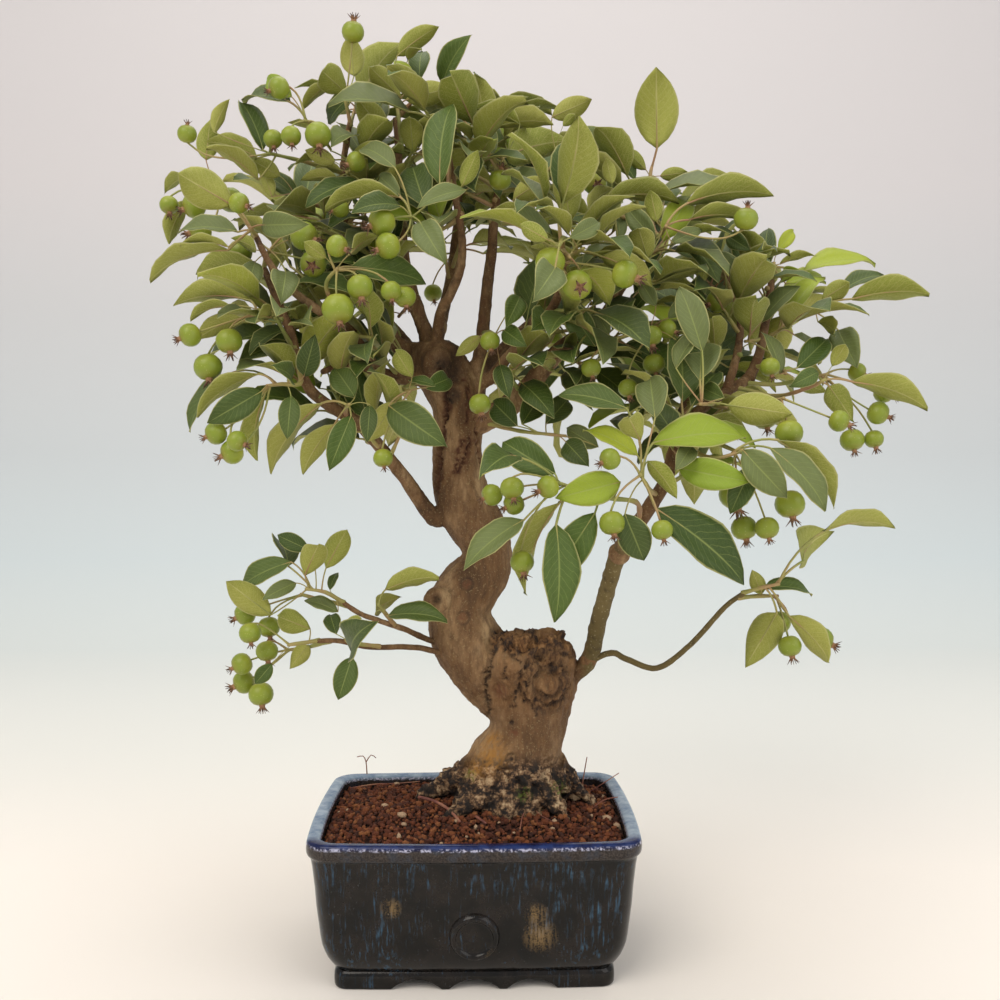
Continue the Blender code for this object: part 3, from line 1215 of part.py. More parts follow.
def main():
    clear_scene()
    parts = make_collection("hall_crabapple_bonsai")
    bark = make_material("bark", (0.19, 0.13, 0.08), 0.85)
    leaf = make_material("leaf", (0.12, 0.24, 0.05), 0.55)
    fruit = make_material("fruit", (0.34, 0.5, 0.08), 0.4)
    glaze = make_material("glaze", (0.02, 0.03, 0.06), 0.2)
    earth = make_material("earth", (0.2, 0.08, 0.04), 0.95)
    mesh_net = make_material("screen_plastic", (0.02, 0.02, 0.02), 0.6)
    limbs = place_limbs()
    roots = place_roots(0.0)
    growth, missing = plan_plant(limbs, roots)
    make_pot(glaze, parts)
    for side, x in (("left", -DRAIN_SPREAD), ("right", DRAIN_SPREAD)):
        make_screen("drain_screen_" + side, x, mesh_net, parts)
    make_soil(place_roots(GAP), limbs, earth, parts)
    make_trunk(limbs, roots, bark, parts)
    for name, grown in growth.items():
        tint = fruit if name.startswith("fruits_") else leaf
        make_spray(name, grown["stem"], grown["leaves"], grown["fruits"], tint, parts)
    centre_on_base(parts)
    total = sum(len(p.vertices) - 2 for t in parts.objects for p in t.data.polygons)
    print("parts", len(parts.objects), "triangles", total)
    print("left out", missing)


main()
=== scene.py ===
import functools
import math
import random

import bmesh
import bpy
from mathutils import Matrix, Vector, noise
from mathutils.bvhtree import BVHTree


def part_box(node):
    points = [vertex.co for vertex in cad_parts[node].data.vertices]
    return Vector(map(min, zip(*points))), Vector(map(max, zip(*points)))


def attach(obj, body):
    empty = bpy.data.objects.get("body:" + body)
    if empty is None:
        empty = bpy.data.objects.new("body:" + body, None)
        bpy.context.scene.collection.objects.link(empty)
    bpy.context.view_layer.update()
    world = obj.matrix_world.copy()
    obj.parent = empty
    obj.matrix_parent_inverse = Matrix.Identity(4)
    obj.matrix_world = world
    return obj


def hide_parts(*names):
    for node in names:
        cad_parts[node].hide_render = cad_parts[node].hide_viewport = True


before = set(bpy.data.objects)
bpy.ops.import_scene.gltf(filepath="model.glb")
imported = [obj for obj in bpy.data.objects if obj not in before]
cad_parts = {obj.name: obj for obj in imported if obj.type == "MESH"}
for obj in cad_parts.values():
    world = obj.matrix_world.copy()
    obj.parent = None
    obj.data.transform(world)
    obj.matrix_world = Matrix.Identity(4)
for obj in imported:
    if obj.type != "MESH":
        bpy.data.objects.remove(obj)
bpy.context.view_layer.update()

mm = 0.001
potLow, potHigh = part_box("pot")
potMiddle = Vector(((potLow.x + potHigh.x) / 2, (potLow.y + potHigh.y) / 2, 0)) / mm
print("frame loaded, pot centre at", [round(v, 2) for v in potMiddle])

# Where the picture's eye stood, from the pot's centre on the floor, in millimetres and pixels
eyePoint = Vector((2.0, -605.5, 277.7))
eyePitch = math.radians(1.64)
eyeYaw = math.radians(1.2)
focalPixels = 1047.0
pictureCentre = 500.0
eyeTurn = Matrix.Rotation(-eyeYaw, 3, "Z") @ Matrix.Rotation(-eyePitch, 3, "X")

# What the plant is planned with, in millimetres, the same as the frame's
plant = {
    "gap": 0.35, "bladeThickness": 0.62, "leafLength": 47.0, "leafRatio": 0.45, "smallLeaf": 28.0,
    "petioleWidth": 1.5, "pedicelRadius": 0.6, "stemRadius": 1.3, "step": 0.1, "fruitMin": 5.2,
    "fruitMax": 8.6, "calyxLength": 3.0, "driedRadius": 1.6, "clear": 0.3, "longestBlade": 68,
    "longestStalk": 48, "arch": 0.34, "rise": 0.16
}

# Stump and main trunk: picture x, y, distance back, diameter
trunkPaths = {
    "stump": [(506, 842, 8, 40), (507, 812, 8, 60), (506, 790, 8, 58), (514, 764, 8, 55), (526, 734, 8, 45),
        (529, 703, 8, 49), (532, 670, 8, 54), (533, 648, 8, 49), (533, 636, 8, 34)],
    "trunk": [(512, 706, 9, 30), (488, 674, 8, 38), (466, 638, 8, 42), (460, 610, 8, 37), (469, 588, 8, 37),
        (484, 568, 8, 32), (487, 550, 8, 29), (481, 532, 8, 32), (467, 508, 8, 35), (459, 482, 8, 31),
        (457, 456, 8, 29), (458, 430, 8, 28), (456, 402, 8, 30), (444, 374, 8, 32), (434, 354, 8, 30),
        (432, 342, 8, 22)],
}

# Surface roots that spread from the root crown and dive into the soil, same columns
rootPaths = [
    [(486, 765, 6, 24), (458, 777, 8, 17), (438, 788, 12, 11), (414, 800, 18, 5)], [(500, 775, 0, 28),
    (482, 792, -8, 20), (464, 806, -16, 13), (444, 822, -22, 6)], [(514, 778, -2, 28), (511, 796, -12, 20),
    (507, 810, -20, 12), (502, 828, -26, 6)], [(536, 775, 0, 27), (548, 794, -8, 18), (558, 808, -14, 11),
    (570, 824, -18, 5)], [(550, 768, 8, 26), (566, 782, 10, 18), (580, 794, 12, 10), (594, 806, 14, 5)],
    [(490, 768, 24, 26), (474, 772, 36, 18), (456, 774, 46, 11), (440, 780, 54, 5)], [(530, 768, 24, 26),
    (548, 770, 38, 18), (562, 772, 48, 10), (576, 780, 56, 5)]
]

# Limbs: the limb each grows from, how far along it, then picture x, y, distance back, diameter
limbPaths = {
    "lead_left": ("trunk", 0.96, [(398, 345, 10, 9), (385, 319, 14, 8.5), (375, 293, 18, 8),
        (362, 270, 22, 7), (348, 236, 24, 5.6), (342, 200, 18, 4.6), (344, 160, 8, 3.8),
        (350, 122, -4, 3.2)]),
    "fork_left": ("trunk", 0.9, [(388, 376, 0, 8), (370, 362, -8, 7), (352, 335, -22, 6.6),
        (339, 322, -32, 6), (318, 310, -42, 5), (292, 290, -46, 4.2), (270, 264, -46, 3.6),
        (256, 236, -44, 3)]),
    "low_left": ("trunk", 0.9, [(380, 372, -6, 4.6), (349, 364, -22, 3.8), (322, 372, -36, 3.4)]),
    "arm_left": ("trunk", 0.62, [(437, 518, 4, 10), (404, 477, -8, 7.6), (379, 446, -16, 7.2),
        (358, 423, -24, 7), (338, 411, -30, 6.6), (312, 392, -36, 6), (299, 365, -38, 5.4),
        (290, 331, -38, 5), (277, 300, -36, 4.4), (264, 268, -30, 3.6)]),
    "lead_mid": ("trunk", 0.97, [(418, 312, 12, 8), (411, 288, 16, 7), (405, 262, 18, 6.2),
        (402, 225, 14, 5.2), (400, 182, 6, 4.4), (398, 145, 0, 3.6), (395, 118, 0, 3)]),
    "fork_mid": ("trunk", 0.96, [(440, 315, -8, 6), (450, 295, -18, 5.4), (460, 270, -26, 5),
        (462, 240, -32, 4.4), (456, 200, -34, 3.8), (449, 155, -26, 3.2), (446, 118, -18, 2.8)]),
    "lead_right": ("trunk", 0.82, [(476, 396, 8, 8.6), (478, 370, 8, 8), (482, 340, 8, 7.6),
        (485, 310, 10, 7), (488, 280, 12, 6.6), (492, 250, 12, 6), (494, 215, 8, 5), (499, 188, 2, 4),
        (506, 166, -4, 3.2)]),
    "fork_right": ("trunk", 0.86, [(490, 378, 2, 7.4), (507, 358, -6, 6.4), (535, 330, -20, 6),
        (550, 312, -30, 5.4), (560, 290, -44, 4.6), (563, 264, -62, 3.8), (562, 246, -78, 3.2)]),
    "arm_right": ("trunk", 0.78, [(494, 416, 4, 13), (520, 396, 0, 12), (540, 373, -5, 10.6),
        (560, 350, -10, 9.6), (580, 335, -12, 8), (600, 320, -14, 6.6), (620, 290, -15, 5.4),
        (636, 255, -14, 4.4), (648, 218, -10, 3.6), (652, 192, -6, 3)]),
    "riser": ("stump", 0.72, [(584, 666, 4, 10), (599, 619, -16, 9.4), (611, 576, -36, 9),
        (619, 553, -46, 9.6), (636, 527, -60, 8), (654, 500, -68, 7.4), (666, 480, -68, 6.8),
        (676, 446, -60, 6.2), (694, 416, -48, 5.8), (722, 394, -34, 5.6), (748, 380, -22, 5.6)]),
    "right_stem": ("riser", 1.0, [(758, 358, -12, 5.2), (765, 325, -4, 4.8), (770, 294, 4, 4.4),
        (772, 274, 8, 3.4)]),
    "right_inner": ("riser", 0.93, [(738, 350, -16, 4.4), (740, 318, -6, 4), (733, 290, 0, 3.6),
        (718, 262, -4, 3.2)]),
    "low_right": ("riser", 0.06, [(606, 654, -4, 3.6), (626, 659, -12, 3.4), (657, 668, -24, 3.3),
        (690, 645, -36, 3), (725, 607, -46, 2.8), (746, 592, -52, 2.6)]),
    "low_left_upper": ("trunk", 0.16, [(432, 641, 0, 3.4), (404, 629, -8, 3.2), (377, 620, -14, 3),
        (359, 613, -18, 2.8), (341, 601, -22, 2.6)]),
    "low_left_lower": ("trunk", 0.13, [(430, 650, -6, 3.4), (406, 647, -14, 3.2), (369, 647, -24, 3),
        (340, 641, -30, 2.8), (316, 641, -32, 2.6)]),
    "back_left": ("trunk", 0.88, [(424, 366, 34, 9), (398, 334, 62, 7.4), (368, 302, 90, 6),
        (338, 272, 108, 4.6), (312, 240, 114, 3.6)]),
    "back_right": ("trunk", 0.84, [(478, 374, 36, 9), (515, 338, 64, 7.4), (555, 302, 90, 6),
        (598, 272, 106, 4.6), (636, 250, 110, 3.6)]),
    "back_mid": ("trunk", 0.97, [(442, 318, 36, 7.4), (450, 280, 60, 6.2), (456, 232, 76, 5),
        (460, 184, 70, 4), (464, 146, 56, 3.2)]),
    "back_low": ("riser", 0.74, [(676, 424, -14, 4.8), (688, 400, 24, 4.4), (704, 372, 58, 3.8),
        (722, 346, 78, 3.2)]),
}

# Leafy sprays. "on" is the limb and how far along it the twig starts; "stem" its further places.
# A leaf is its blade's base x, y, its tip x, y, its greatest width, and the side it shows:
# T, G and L are upper sides (dark, greyish, young), U, P and Y are undersides (olive, pale, young).
# A fruit is its centre x, y, its radius, and where its dried calyx points: L R U D or F (forward).
sprays = {
    "tip_left": {"on": ("lead_left", 1.0), "stem": [(345, 98, -10)], "leaves": [(354, 76, 350, 34, 24, "U"),
        (346, 93, 321, 70, 28, "P"), (330, 84, 302, 110, 14, "U"), (358, 92, 328, 124, 16, "T")],
        "fruits": [(353, 32, 11, "U")]},
    "left_top": {"on": ("lead_left", 0.93), "stem": [(326, 130, -20), (304, 120, -34)],
        "leaves": [(292, 97, 266, 78, 20, "L"), (290, 102, 243, 102, 14, "T")],
        "fruits": [(279, 88, 11, "L"), (291, 136, 10, "D"), (318, 135, 13, "D")]},
    "left_high": {"on": ("lead_left", 0.82), "stem": [(306, 162, -8), (268, 153, -22)],
        "leaves": [(263, 150, 239, 99, 22, "T"), (214, 132, 229, 99, 14, "P"),
        (258, 158, 206, 141, 20, "U"), (258, 180, 207, 146, 14, "U")], "fruits": [(187, 134, 8.5, "U")]},
    "left_far": {"on": ("fork_left", 0.9), "stem": [(240, 212, -22), (214, 188, -6)],
        "leaves": [(206, 160, 210, 120, 22, "U"), (190, 176, 165, 192, 14, "U"),
        (187, 200, 168, 244, 18, "U")], "fruits": [(231, 200, 12, "F"), (194, 206, 12, "L"),
        (200, 230, 12, "L")]},
    "left_front": {"on": ("fork_left", 1.0), "stem": [(250, 227, -60)],
        "leaves": [(232, 205, 177, 173, 38, "P"), (262, 225, 307, 224, 26, "G"),
        (228, 250, 149, 278, 14, "U"), (238, 232, 176, 232, 16, "G")]},
    "left_inner": {"on": ("lead_left", 0.7), "stem": [(318, 206, 6), (292, 192, -8)],
        "leaves": [(280, 176, 252, 160, 18, "U"), (300, 200, 262, 173, 20, "T")]},
    "left_mid_top": {"on": ("lead_left", 0.78), "stem": [(350, 180, -12), (347, 172, -30)],
        "leaves": [(335, 162, 305, 150, 16, "U"), (338, 178, 300, 180, 14, "U"),
        (360, 182, 305, 206, 16, "T")]},
    "front_mid": {"on": ("lead_mid", 0.6), "stem": [(412, 236, -24), (411, 216, -62)],
        "leaves": [(400, 197, 325, 207, 16, "U"), (400, 206, 352, 211, 18, "T"),
        (425, 207, 412, 165, 35, "T"), (400, 195, 379, 176, 20, "G"), (395, 168, 360, 148, 20, "G"),
        (420, 222, 444, 263, 30, "G")], "fruits": [(382, 222, 14, "L"), (388, 246, 13, "L")]},
    "top_mid_left": {"on": ("lead_mid", 0.88), "stem": [(402, 150, -12), (399, 120, -14), (396, 98, -8)],
        "leaves": [(397, 56, 439, 26, 20, "U"), (414, 84, 394, 60, 14, "L"), (401, 98, 369, 66, 22, "U"),
        (406, 100, 448, 88, 24, "P"), (386, 135, 357, 98, 26, "U"), (413, 152, 410, 116, 24, "U")]},
    "top_mid": {"on": ("fork_mid", 1.0), "stem": [(448, 106, -22)], "leaves": [(443, 84, 470, 35, 22, "T"),
        (458, 112, 452, 80, 28, "U")]},
    "top_mid_front": {"on": ("fork_mid", 0.84), "stem": [(448, 192, -50), (442, 196, -66)],
        "leaves": [(440, 184, 452, 102, 32, "T"), (466, 190, 417, 207, 18, "G"),
        (462, 186, 478, 150, 18, "U")]},
    "top_right_mid": {"on": ("lead_right", 1.0), "stem": [(502, 158, -24)],
        "leaves": [(520, 124, 473, 107, 14, "U"), (507, 156, 568, 140, 36, "P"),
        (493, 155, 480, 121, 14, "G")], "fruits": [(500, 180, 11, "U")]},
    "mid_right_top": {"on": ("lead_right", 0.84), "stem": [(512, 220, -20), (528, 222, -46)],
        "leaves": [(513, 200, 545, 178, 22, "U"), (530, 214, 489, 213, 14, "U"),
        (552, 236, 501, 216, 16, "G")]},
    "right_top": {"on": ("lead_right", 0.9), "stem": [(530, 186, 4), (560, 158, 4)],
        "leaves": [(552, 117, 592, 99, 22, "U"), (565, 148, 607, 131, 20, "G")],
        "fruits": [(595, 183, 12, "F")]},
    "right_top_inner": {"on": ("arm_right", 0.9), "stem": [(626, 218, -24), (602, 208, -36)],
        "leaves": [(604, 200, 678, 199, 20, "U"), (575, 216, 562, 193, 18, "U")]},
    "tall_shoot": {"on": ("arm_right", 1.0), "stem": [(650, 178, -4), (652, 166, -4)],
        "leaves": [(657, 148, 656, 67, 44, "Y")]},
    "right_crown_front": {"on": ("arm_right", 0.92), "stem": [(658, 236, -30), (666, 226, -48)],
        "leaves": [(688, 203, 772, 193, 28, "U"), (688, 220, 753, 219, 18, "U"),
        (655, 240, 625, 206, 22, "G"), (648, 260, 638, 227, 26, "U"), (657, 222, 650, 190, 18, "U"),
        (672, 243, 702, 230, 14, "G")], "fruits": [(746, 219, 12, "U")]},
    "front_centre": {"on": ("fork_right", 1.0), "stem": [(563, 238, -86), (559, 246, -108)],
        "leaves": [(555, 268, 534, 299, 34, "G"), (548, 240, 520, 224, 18, "U"),
        (570, 238, 600, 222, 20, "G")]},
    "centre_right": {"on": ("arm_right", 0.6), "stem": [(596, 342, -26), (612, 340, -36), (640, 332, -44),
        (658, 330, -50)], "leaves": [(595, 346, 565, 303, 28, "T"), (609, 335, 594, 308, 18, "G"),
        (624, 334, 616, 298, 18, "U"), (656, 306, 640, 280, 16, "G")], "fruits": [(591, 368, 10, "D"),
        (651, 336, 11, "D"), (654, 364, 11, "D")]},
    "right_inner_high": {"on": ("right_inner", 1.0), "stem": [(712, 250, -10), (708, 240, -14)],
        "leaves": [(700, 285, 718, 246, 16, "P"), (728, 236, 750, 250, 18, "T"),
        (694, 262, 664, 276, 18, "T"), (720, 252, 742, 285, 16, "G")], "fruits": [(717, 301, 11, "L")]},
    "right_stem_top": {"on": ("right_stem", 1.0), "stem": [(774, 262, 8)],
        "leaves": [(765, 272, 768, 227, 23, "T"), (803, 272, 876, 263, 16, "L"),
        (786, 284, 826, 278, 14, "L")]},
    "right_far_high": {"on": ("right_stem", 0.74), "stem": [(790, 314, -6), (820, 308, -16)],
        "leaves": [(840, 292, 884, 275, 14, "T"), (852, 299, 930, 293, 24, "U"),
        (822, 300, 850, 282, 20, "U"), (783, 330, 832, 297, 22, "U"), (838, 330, 857, 367, 30, "G")]},
    "right_low_inner": {"on": ("right_stem", 0.14), "stem": [(774, 364, -28), (786, 374, -42)],
        "leaves": [(780, 374, 762, 331, 14, "G"), (797, 368, 828, 338, 26, "T"),
        (800, 382, 826, 392, 16, "U")]},
    "right_far": {"on": ("riser", 0.955), "stem": [(776, 396, -34), (808, 388, -52), (826, 379, -58)],
        "leaves": [(832, 366, 846, 344, 16, "U"), (853, 382, 928, 407, 24, "P"),
        (829, 386, 853, 420, 26, "U"), (818, 372, 790, 386, 18, "T")]},
    "right_mid_front": {"on": ("riser", 0.88), "stem": [(712, 404, -62), (700, 404, -84)],
        "leaves": [(702, 351, 679, 286, 30, "G"), (700, 380, 702, 345, 40, "G"),
        (676, 368, 700, 334, 16, "G"), (728, 405, 792, 414, 34, "U")]},
    "centre_shelf": {"on": ("arm_right", 0.06), "stem": [(520, 431, -14), (546, 434, -30), (566, 436, -38)],
        "leaves": [(517, 426, 493, 402, 28, "T"), (522, 424, 537, 401, 26, "T"),
        (546, 424, 569, 398, 24, "T"), (598, 447, 566, 428, 22, "G"), (566, 442, 588, 466, 26, "T")]},
    "riser_left": {"on": ("riser", 0.56), "stem": [(636, 502, -84), (608, 498, -96), (586, 492, -100),
        (556, 482, -102)], "leaves": [(555, 474, 502, 441, 34, "T"), (513, 456, 482, 474, 30, "T"),
        (620, 482, 556, 498, 34, "L"), (524, 520, 463, 569, 28, "G"), (560, 502, 523, 593, 22, "P"),
        (556, 525, 556, 622, 38, "T"), (595, 513, 550, 582, 36, "T")], "fruits": [(548, 487, 11.5, "L"),
        (512, 488, 12, "D"), (492, 495, 11, "L")]},
    "riser_top": {"on": ("riser", 0.62), "stem": [(650, 490, -84), (640, 474, -100)],
        "leaves": [(625, 514, 644, 561, 34, "T"), (656, 509, 746, 584, 44, "T"),
        (648, 461, 677, 498, 20, "Y"), (653, 443, 747, 436, 36, "L"), (638, 456, 583, 429, 20, "L"),
        (655, 418, 650, 377, 34, "G"), (626, 408, 559, 394, 24, "T"), (640, 440, 628, 416, 26, "P")],
        "fruits": [(612, 523, 13, "D"), (662, 530, 10, "D")]},
    "riser_right": {"on": ("riser", 0.76), "stem": [(690, 450, -78), (716, 458, -90), (744, 450, -92)],
        "leaves": [(679, 468, 750, 482, 32, "L"), (692, 446, 676, 470, 20, "G"),
        (743, 450, 787, 498, 34, "G"), (770, 448, 827, 510, 26, "G"), (778, 440, 836, 506, 22, "U"),
        (752, 466, 730, 514, 26, "T")]},
    "low_right": {"on": ("low_right", 1.0), "stem": [(764, 587, -58), (780, 584, -60)],
        "leaves": [(823, 532, 894, 525, 14, "U"), (803, 561, 829, 531, 28, "U"),
        (764, 588, 813, 594, 14, "T"), (777, 613, 746, 666, 34, "U"), (789, 616, 831, 663, 26, "U"),
        (762, 594, 752, 570, 16, "U")]},
    "low_left_end": {"on": ("low_left_upper", 1.0), "stem": [(325, 592, -28), (305, 589, -32)],
        "leaves": [(326, 568, 347, 529, 24, "U"), (305, 575, 319, 543, 26, "U"),
        (291, 562, 241, 586, 22, "T"), (288, 566, 274, 538, 20, "T"), (309, 550, 277, 535, 18, "T"),
        (271, 615, 226, 581, 28, "U"), (296, 583, 262, 600, 16, "G"), (338, 612, 304, 600, 14, "G")]},
    "low_left_twig": {"on": ("low_left_lower", 1.0), "stem": [(302, 643, -36), (287, 645, -38)],
        "leaves": [(310, 629, 277, 616, 24, "U"), (308, 645, 290, 668, 18, "U"),
        (272, 664, 255, 684, 16, "T")]},
    "low_left_inner": {"on": ("low_left_lower", 0.62), "stem": [(352, 643, -38), (346, 640, -44)],
        "leaves": [(353, 652, 372, 622, 26, "T"), (352, 657, 338, 700, 24, "T"),
        (336, 634, 330, 614, 18, "T")]},
    "low_left_shoot": {"on": ("low_left_upper", 0.6), "stem": [(378, 604, -22)],
        "leaves": [(385, 590, 439, 577, 18, "U"), (376, 612, 399, 597, 18, "U"),
        (388, 616, 447, 620, 18, "T")]},
    "arm_left_mid": {"on": ("arm_left", 0.52), "stem": [(346, 408, -44), (350, 404, -56)],
        "leaves": [(322, 403, 269, 472, 22, "U"), (334, 425, 302, 473, 22, "U"),
        (351, 416, 329, 470, 26, "T"), (370, 405, 367, 442, 18, "T"), (355, 397, 335, 368, 28, "T")]},
    "left_mid_far": {"on": ("arm_left", 0.72), "stem": [(300, 384, -50), (282, 384, -58), (266, 386, -62)],
        "leaves": [(291, 380, 273, 366, 18, "T"), (291, 396, 287, 439, 22, "T"),
        (304, 376, 315, 335, 24, "T"), (258, 374, 196, 415, 18, "U"), (228, 374, 188, 431, 14, "T"),
        (262, 391, 207, 423, 30, "T"), (264, 397, 255, 460, 16, "U")], "fruits": [(216, 433, 11.5, "L"),
        (232, 452, 12, "L")]},
    "left_mid_high": {"on": ("arm_left", 0.88), "stem": [(268, 312, -46), (256, 314, -54)],
        "leaves": [(250, 300, 174, 303, 20, "U"), (242, 318, 195, 340, 20, "U")],
        "fruits": [(190, 335, 11.5, "L"), (229, 341, 13, "D"), (208, 367, 14, "D")]},
    "left_mid_top_front": {"on": ("arm_left", 1.0), "stem": [(266, 256, -44), (270, 250, -54)],
        "leaves": [(286, 272, 281, 302, 28, "G"), (255, 262, 245, 295, 22, "G"),
        (288, 240, 312, 222, 18, "T")], "fruits": [(240, 252, 12, "D"), (304, 236, 14, "R"),
        (313, 264, 13, "F")]},
    "centre_left": {"on": ("low_left", 0.12), "stem": [(404, 388, -34), (410, 392, -50)],
        "leaves": [(389, 406, 445, 446, 38, "T"), (395, 402, 369, 441, 24, "P"),
        (412, 377, 395, 350, 20, "U"), (426, 388, 450, 378, 22, "T")], "fruits": [(383, 458, 9.5, "D")]},
    "front_left_mid": {"on": ("fork_left", 0.52), "stem": [(326, 286, -60), (338, 268, -72)],
        "leaves": [(351, 267, 427, 283, 30, "T"), (326, 258, 304, 242, 16, "U"),
        (352, 252, 378, 236, 16, "U")], "fruits": [(338, 309, 16, "D"), (360, 287, 13, "D")]},
    "centre_high": {"on": ("lead_right", 0.34), "stem": [(490, 332, -18), (496, 336, -38)],
        "leaves": [(520, 297, 506, 326, 22, "T"), (504, 330, 526, 346, 20, "T"),
        (500, 365, 509, 398, 20, "T")], "fruits": [(480, 404, 11, "D")]},
}

# Sprays on the far side, which the picture hides: only the twigs are set, the leaves fan out
backSprays = {
    "back_left_end": {"on": ("back_left", 1.0), "stem": [(302, 226, 118), (292, 218, 122)], "count": 6},
    "back_left_low": {"on": ("back_left", 0.62), "stem": [(336, 330, 110), (318, 336, 118)], "count": 6},
    "back_right_end": {"on": ("back_right", 1.0), "stem": [(652, 236, 116), (664, 226, 120)], "count": 6},
    "back_right_low": {"on": ("back_right", 0.55), "stem": [(566, 336, 112), (574, 344, 122)], "count": 6},
    "back_mid_top": {"on": ("back_mid", 1.0), "stem": [(466, 130, 56), (468, 120, 58)], "count": 5},
    "back_mid_low": {"on": ("back_mid", 0.5), "stem": [(462, 250, 104), (464, 246, 122)], "count": 5},
    "back_low": {"on": ("back_low", 1.0), "stem": [(738, 334, 88), (750, 326, 94)], "count": 5},
}

# Bunches of fruit large enough to be a piece of their own
bunches = {
    "front": {"on": ("fork_right", 0.88), "stem": [(556, 262, -86)], "fruits": [(550, 262, 15, "D"),
        (577, 285, 15, "F"), (625, 274, 14, "R")]},
    "right_far": {"on": ("riser", 0.98), "stem": [(780, 384, -24), (812, 377, -30), (828, 374, -32)],
        "fruits": [(884, 392, 11, "R"), (878, 413, 11.5, "R"), (852, 440, 12, "D"), (874, 439, 9.5, "D")]},
    "right_mid": {"on": ("riser", 0.91), "stem": [(764, 404, -54), (784, 398, -70)],
        "fruits": [(839, 421, 11, "R"), (789, 433, 14, "D")]},
    "riser_right": {"on": ("riser", 0.8), "stem": [(712, 440, -64), (738, 452, -74)],
        "fruits": [(735, 494, 16, "D"), (744, 528, 13, "D"), (767, 528, 12, "D"), (790, 504, 15, "D")]},
    "low_right": {"on": ("low_right", 0.96), "stem": [(758, 596, -48), (778, 596, -44)],
        "fruits": [(790, 646, 11.5, "D"), (821, 640, 13, "R")]},
    "low_left_end": {"on": ("low_left_upper", 0.94), "stem": [(322, 600, -16), (300, 594, -14)],
        "fruits": [(245, 614, 11, "L"), (269, 627, 11, "D")]},
    "low_left_twig": {"on": ("low_left_lower", 0.92), "stem": [(304, 648, -22), (286, 650, -18)],
        "fruits": [(267, 651, 11, "D"), (242, 664, 11, "L"), (261, 694, 12.5, "D")]},
}

# Swellings on the bark: picture x, y, distance back, diameter
knots = [
    (516, 660, -8, 34), (549, 652, 0, 27.2), (437, 600, -8, 15), (619, 554, -46, 12), (440, 366, -4, 22)
]

upperFaces = "TGL"
calyxAim = {"L": (-1.0, -0.35, -0.45), "R": (1.0, -0.35, -0.45), "U": (0.1, -0.2, 1.0),
             "D": (0.15, -0.25, -1.0), "F": (0.1, -1.0, -0.35)}
depthSteps = [0, 5, -5, 10, -10, 16, -16, 23, -23, 31, -31, 40, -40]
swingSteps = [0, 7, -7, 14, -14, 21, -21]
backTries = 60


def photoPoint(x, y, back):
    # The place seen at a picture point, at a distance behind the pot's centre
    ray = eyeTurn @ Vector(((x - pictureCentre) / focalPixels, 1.0, (pictureCentre - y) / focalPixels))
    return eyePoint + ray * ((back - eyePoint.y) / ray.y)


def photoScale(back):
    # Millimetres to a picture pixel at that distance
    return (back - eyePoint.y) / focalPixels


def pointAlong(points, share):
    # A point part of the way along a line of points
    lengths = [(b - a).length for a, b in zip(points, points[1:])]
    left = share * sum(lengths)
    for start, end, length in zip(points, points[1:], lengths):
        if left <= length:
            return start.lerp(end, left / length)
        left -= length
    return points[-1].copy()


def placeLimbs():
    # Every woody tube as its points and radii: stump, trunk, limbs, then roots
    tubes = {}
    for name, path in trunkPaths.items():
        tubes[name] = ([photoPoint(x, y, back) for x, y, back, size in path],
                       [size / 2 for x, y, back, size in path])
    for name, (parent, share, path) in limbPaths.items():
        points = [pointAlong(tubes[parent][0], share)]
        points += [photoPoint(x, y, back) for x, y, back, size in path]
        radii = [path[0][3] / 2] + [size / 2 for x, y, back, size in path]
        tubes[name] = (points, radii)
    return tubes


def placeRoots(extra):
    # The surface roots, fattened by a clearance where they cut the soil
    tubes = []
    for path in rootPaths:
        points = [photoPoint(x, y, back) for x, y, back, size in path]
        ends = (points[-1] - points[-2]).normalized() * extra
        points[-1] = points[-1] + ends
        tubes.append((points, [size / 2 + extra for x, y, back, size in path]))
    return tubes


def axisDistance(point, start, end):
    # How far a point lies from a straight stretch, and how far along it the nearest spot is
    span = end - start
    share = max(0.0, min(1.0, (point - start).dot(span) / span.length_squared))
    return (point - start.lerp(end, share)).length, share


def outsideLimb(point, points, radii):
    # How far a point lies outside a limb's bark
    gaps = []
    for i in range(len(points) - 1):
        distance, share = axisDistance(point, points[i], points[i + 1])
        gaps.append(distance - (radii[i] + (radii[i + 1] - radii[i]) * share))
    return min(gaps)


def placeTwig(entry, limbs, shift):
    # A green stem that starts a gap outside the bark of its limb, or past the limb's end
    limb, share = entry["on"]
    points, radii = limbs[limb]
    start = pointAlong(points, share)
    places = [photoPoint(x, y, back + shift) for x, y, back in entry["stem"]]
    way = (places[0] - start).normalized()
    wide = plant["stemRadius"] * 0.92
    others = [tube for name, tube in limbs.items() if name != limb]
    if share >= 1.0:
        wayOut = (points[-1] - points[-2]).normalized()
        slope = abs(way.dot(wayOut))
        start = start + way * (2 * plant["gap"] + wide * math.sqrt(max(0.0, 1 - slope ** 2)))
    else:
        others.append(limbs[limb])
    side = way.orthogonal().normalized()
    other = way.cross(side)
    ring = [side * math.cos(a) + other * math.sin(a) for a in (0.0, 1.57, 3.14, 4.71)]
    while min(outsideLimb(start + spoke * wide, *tube) for spoke in ring for tube in others) < plant["gap"]:
        start = start + way * plant["step"]
    return [start] + places


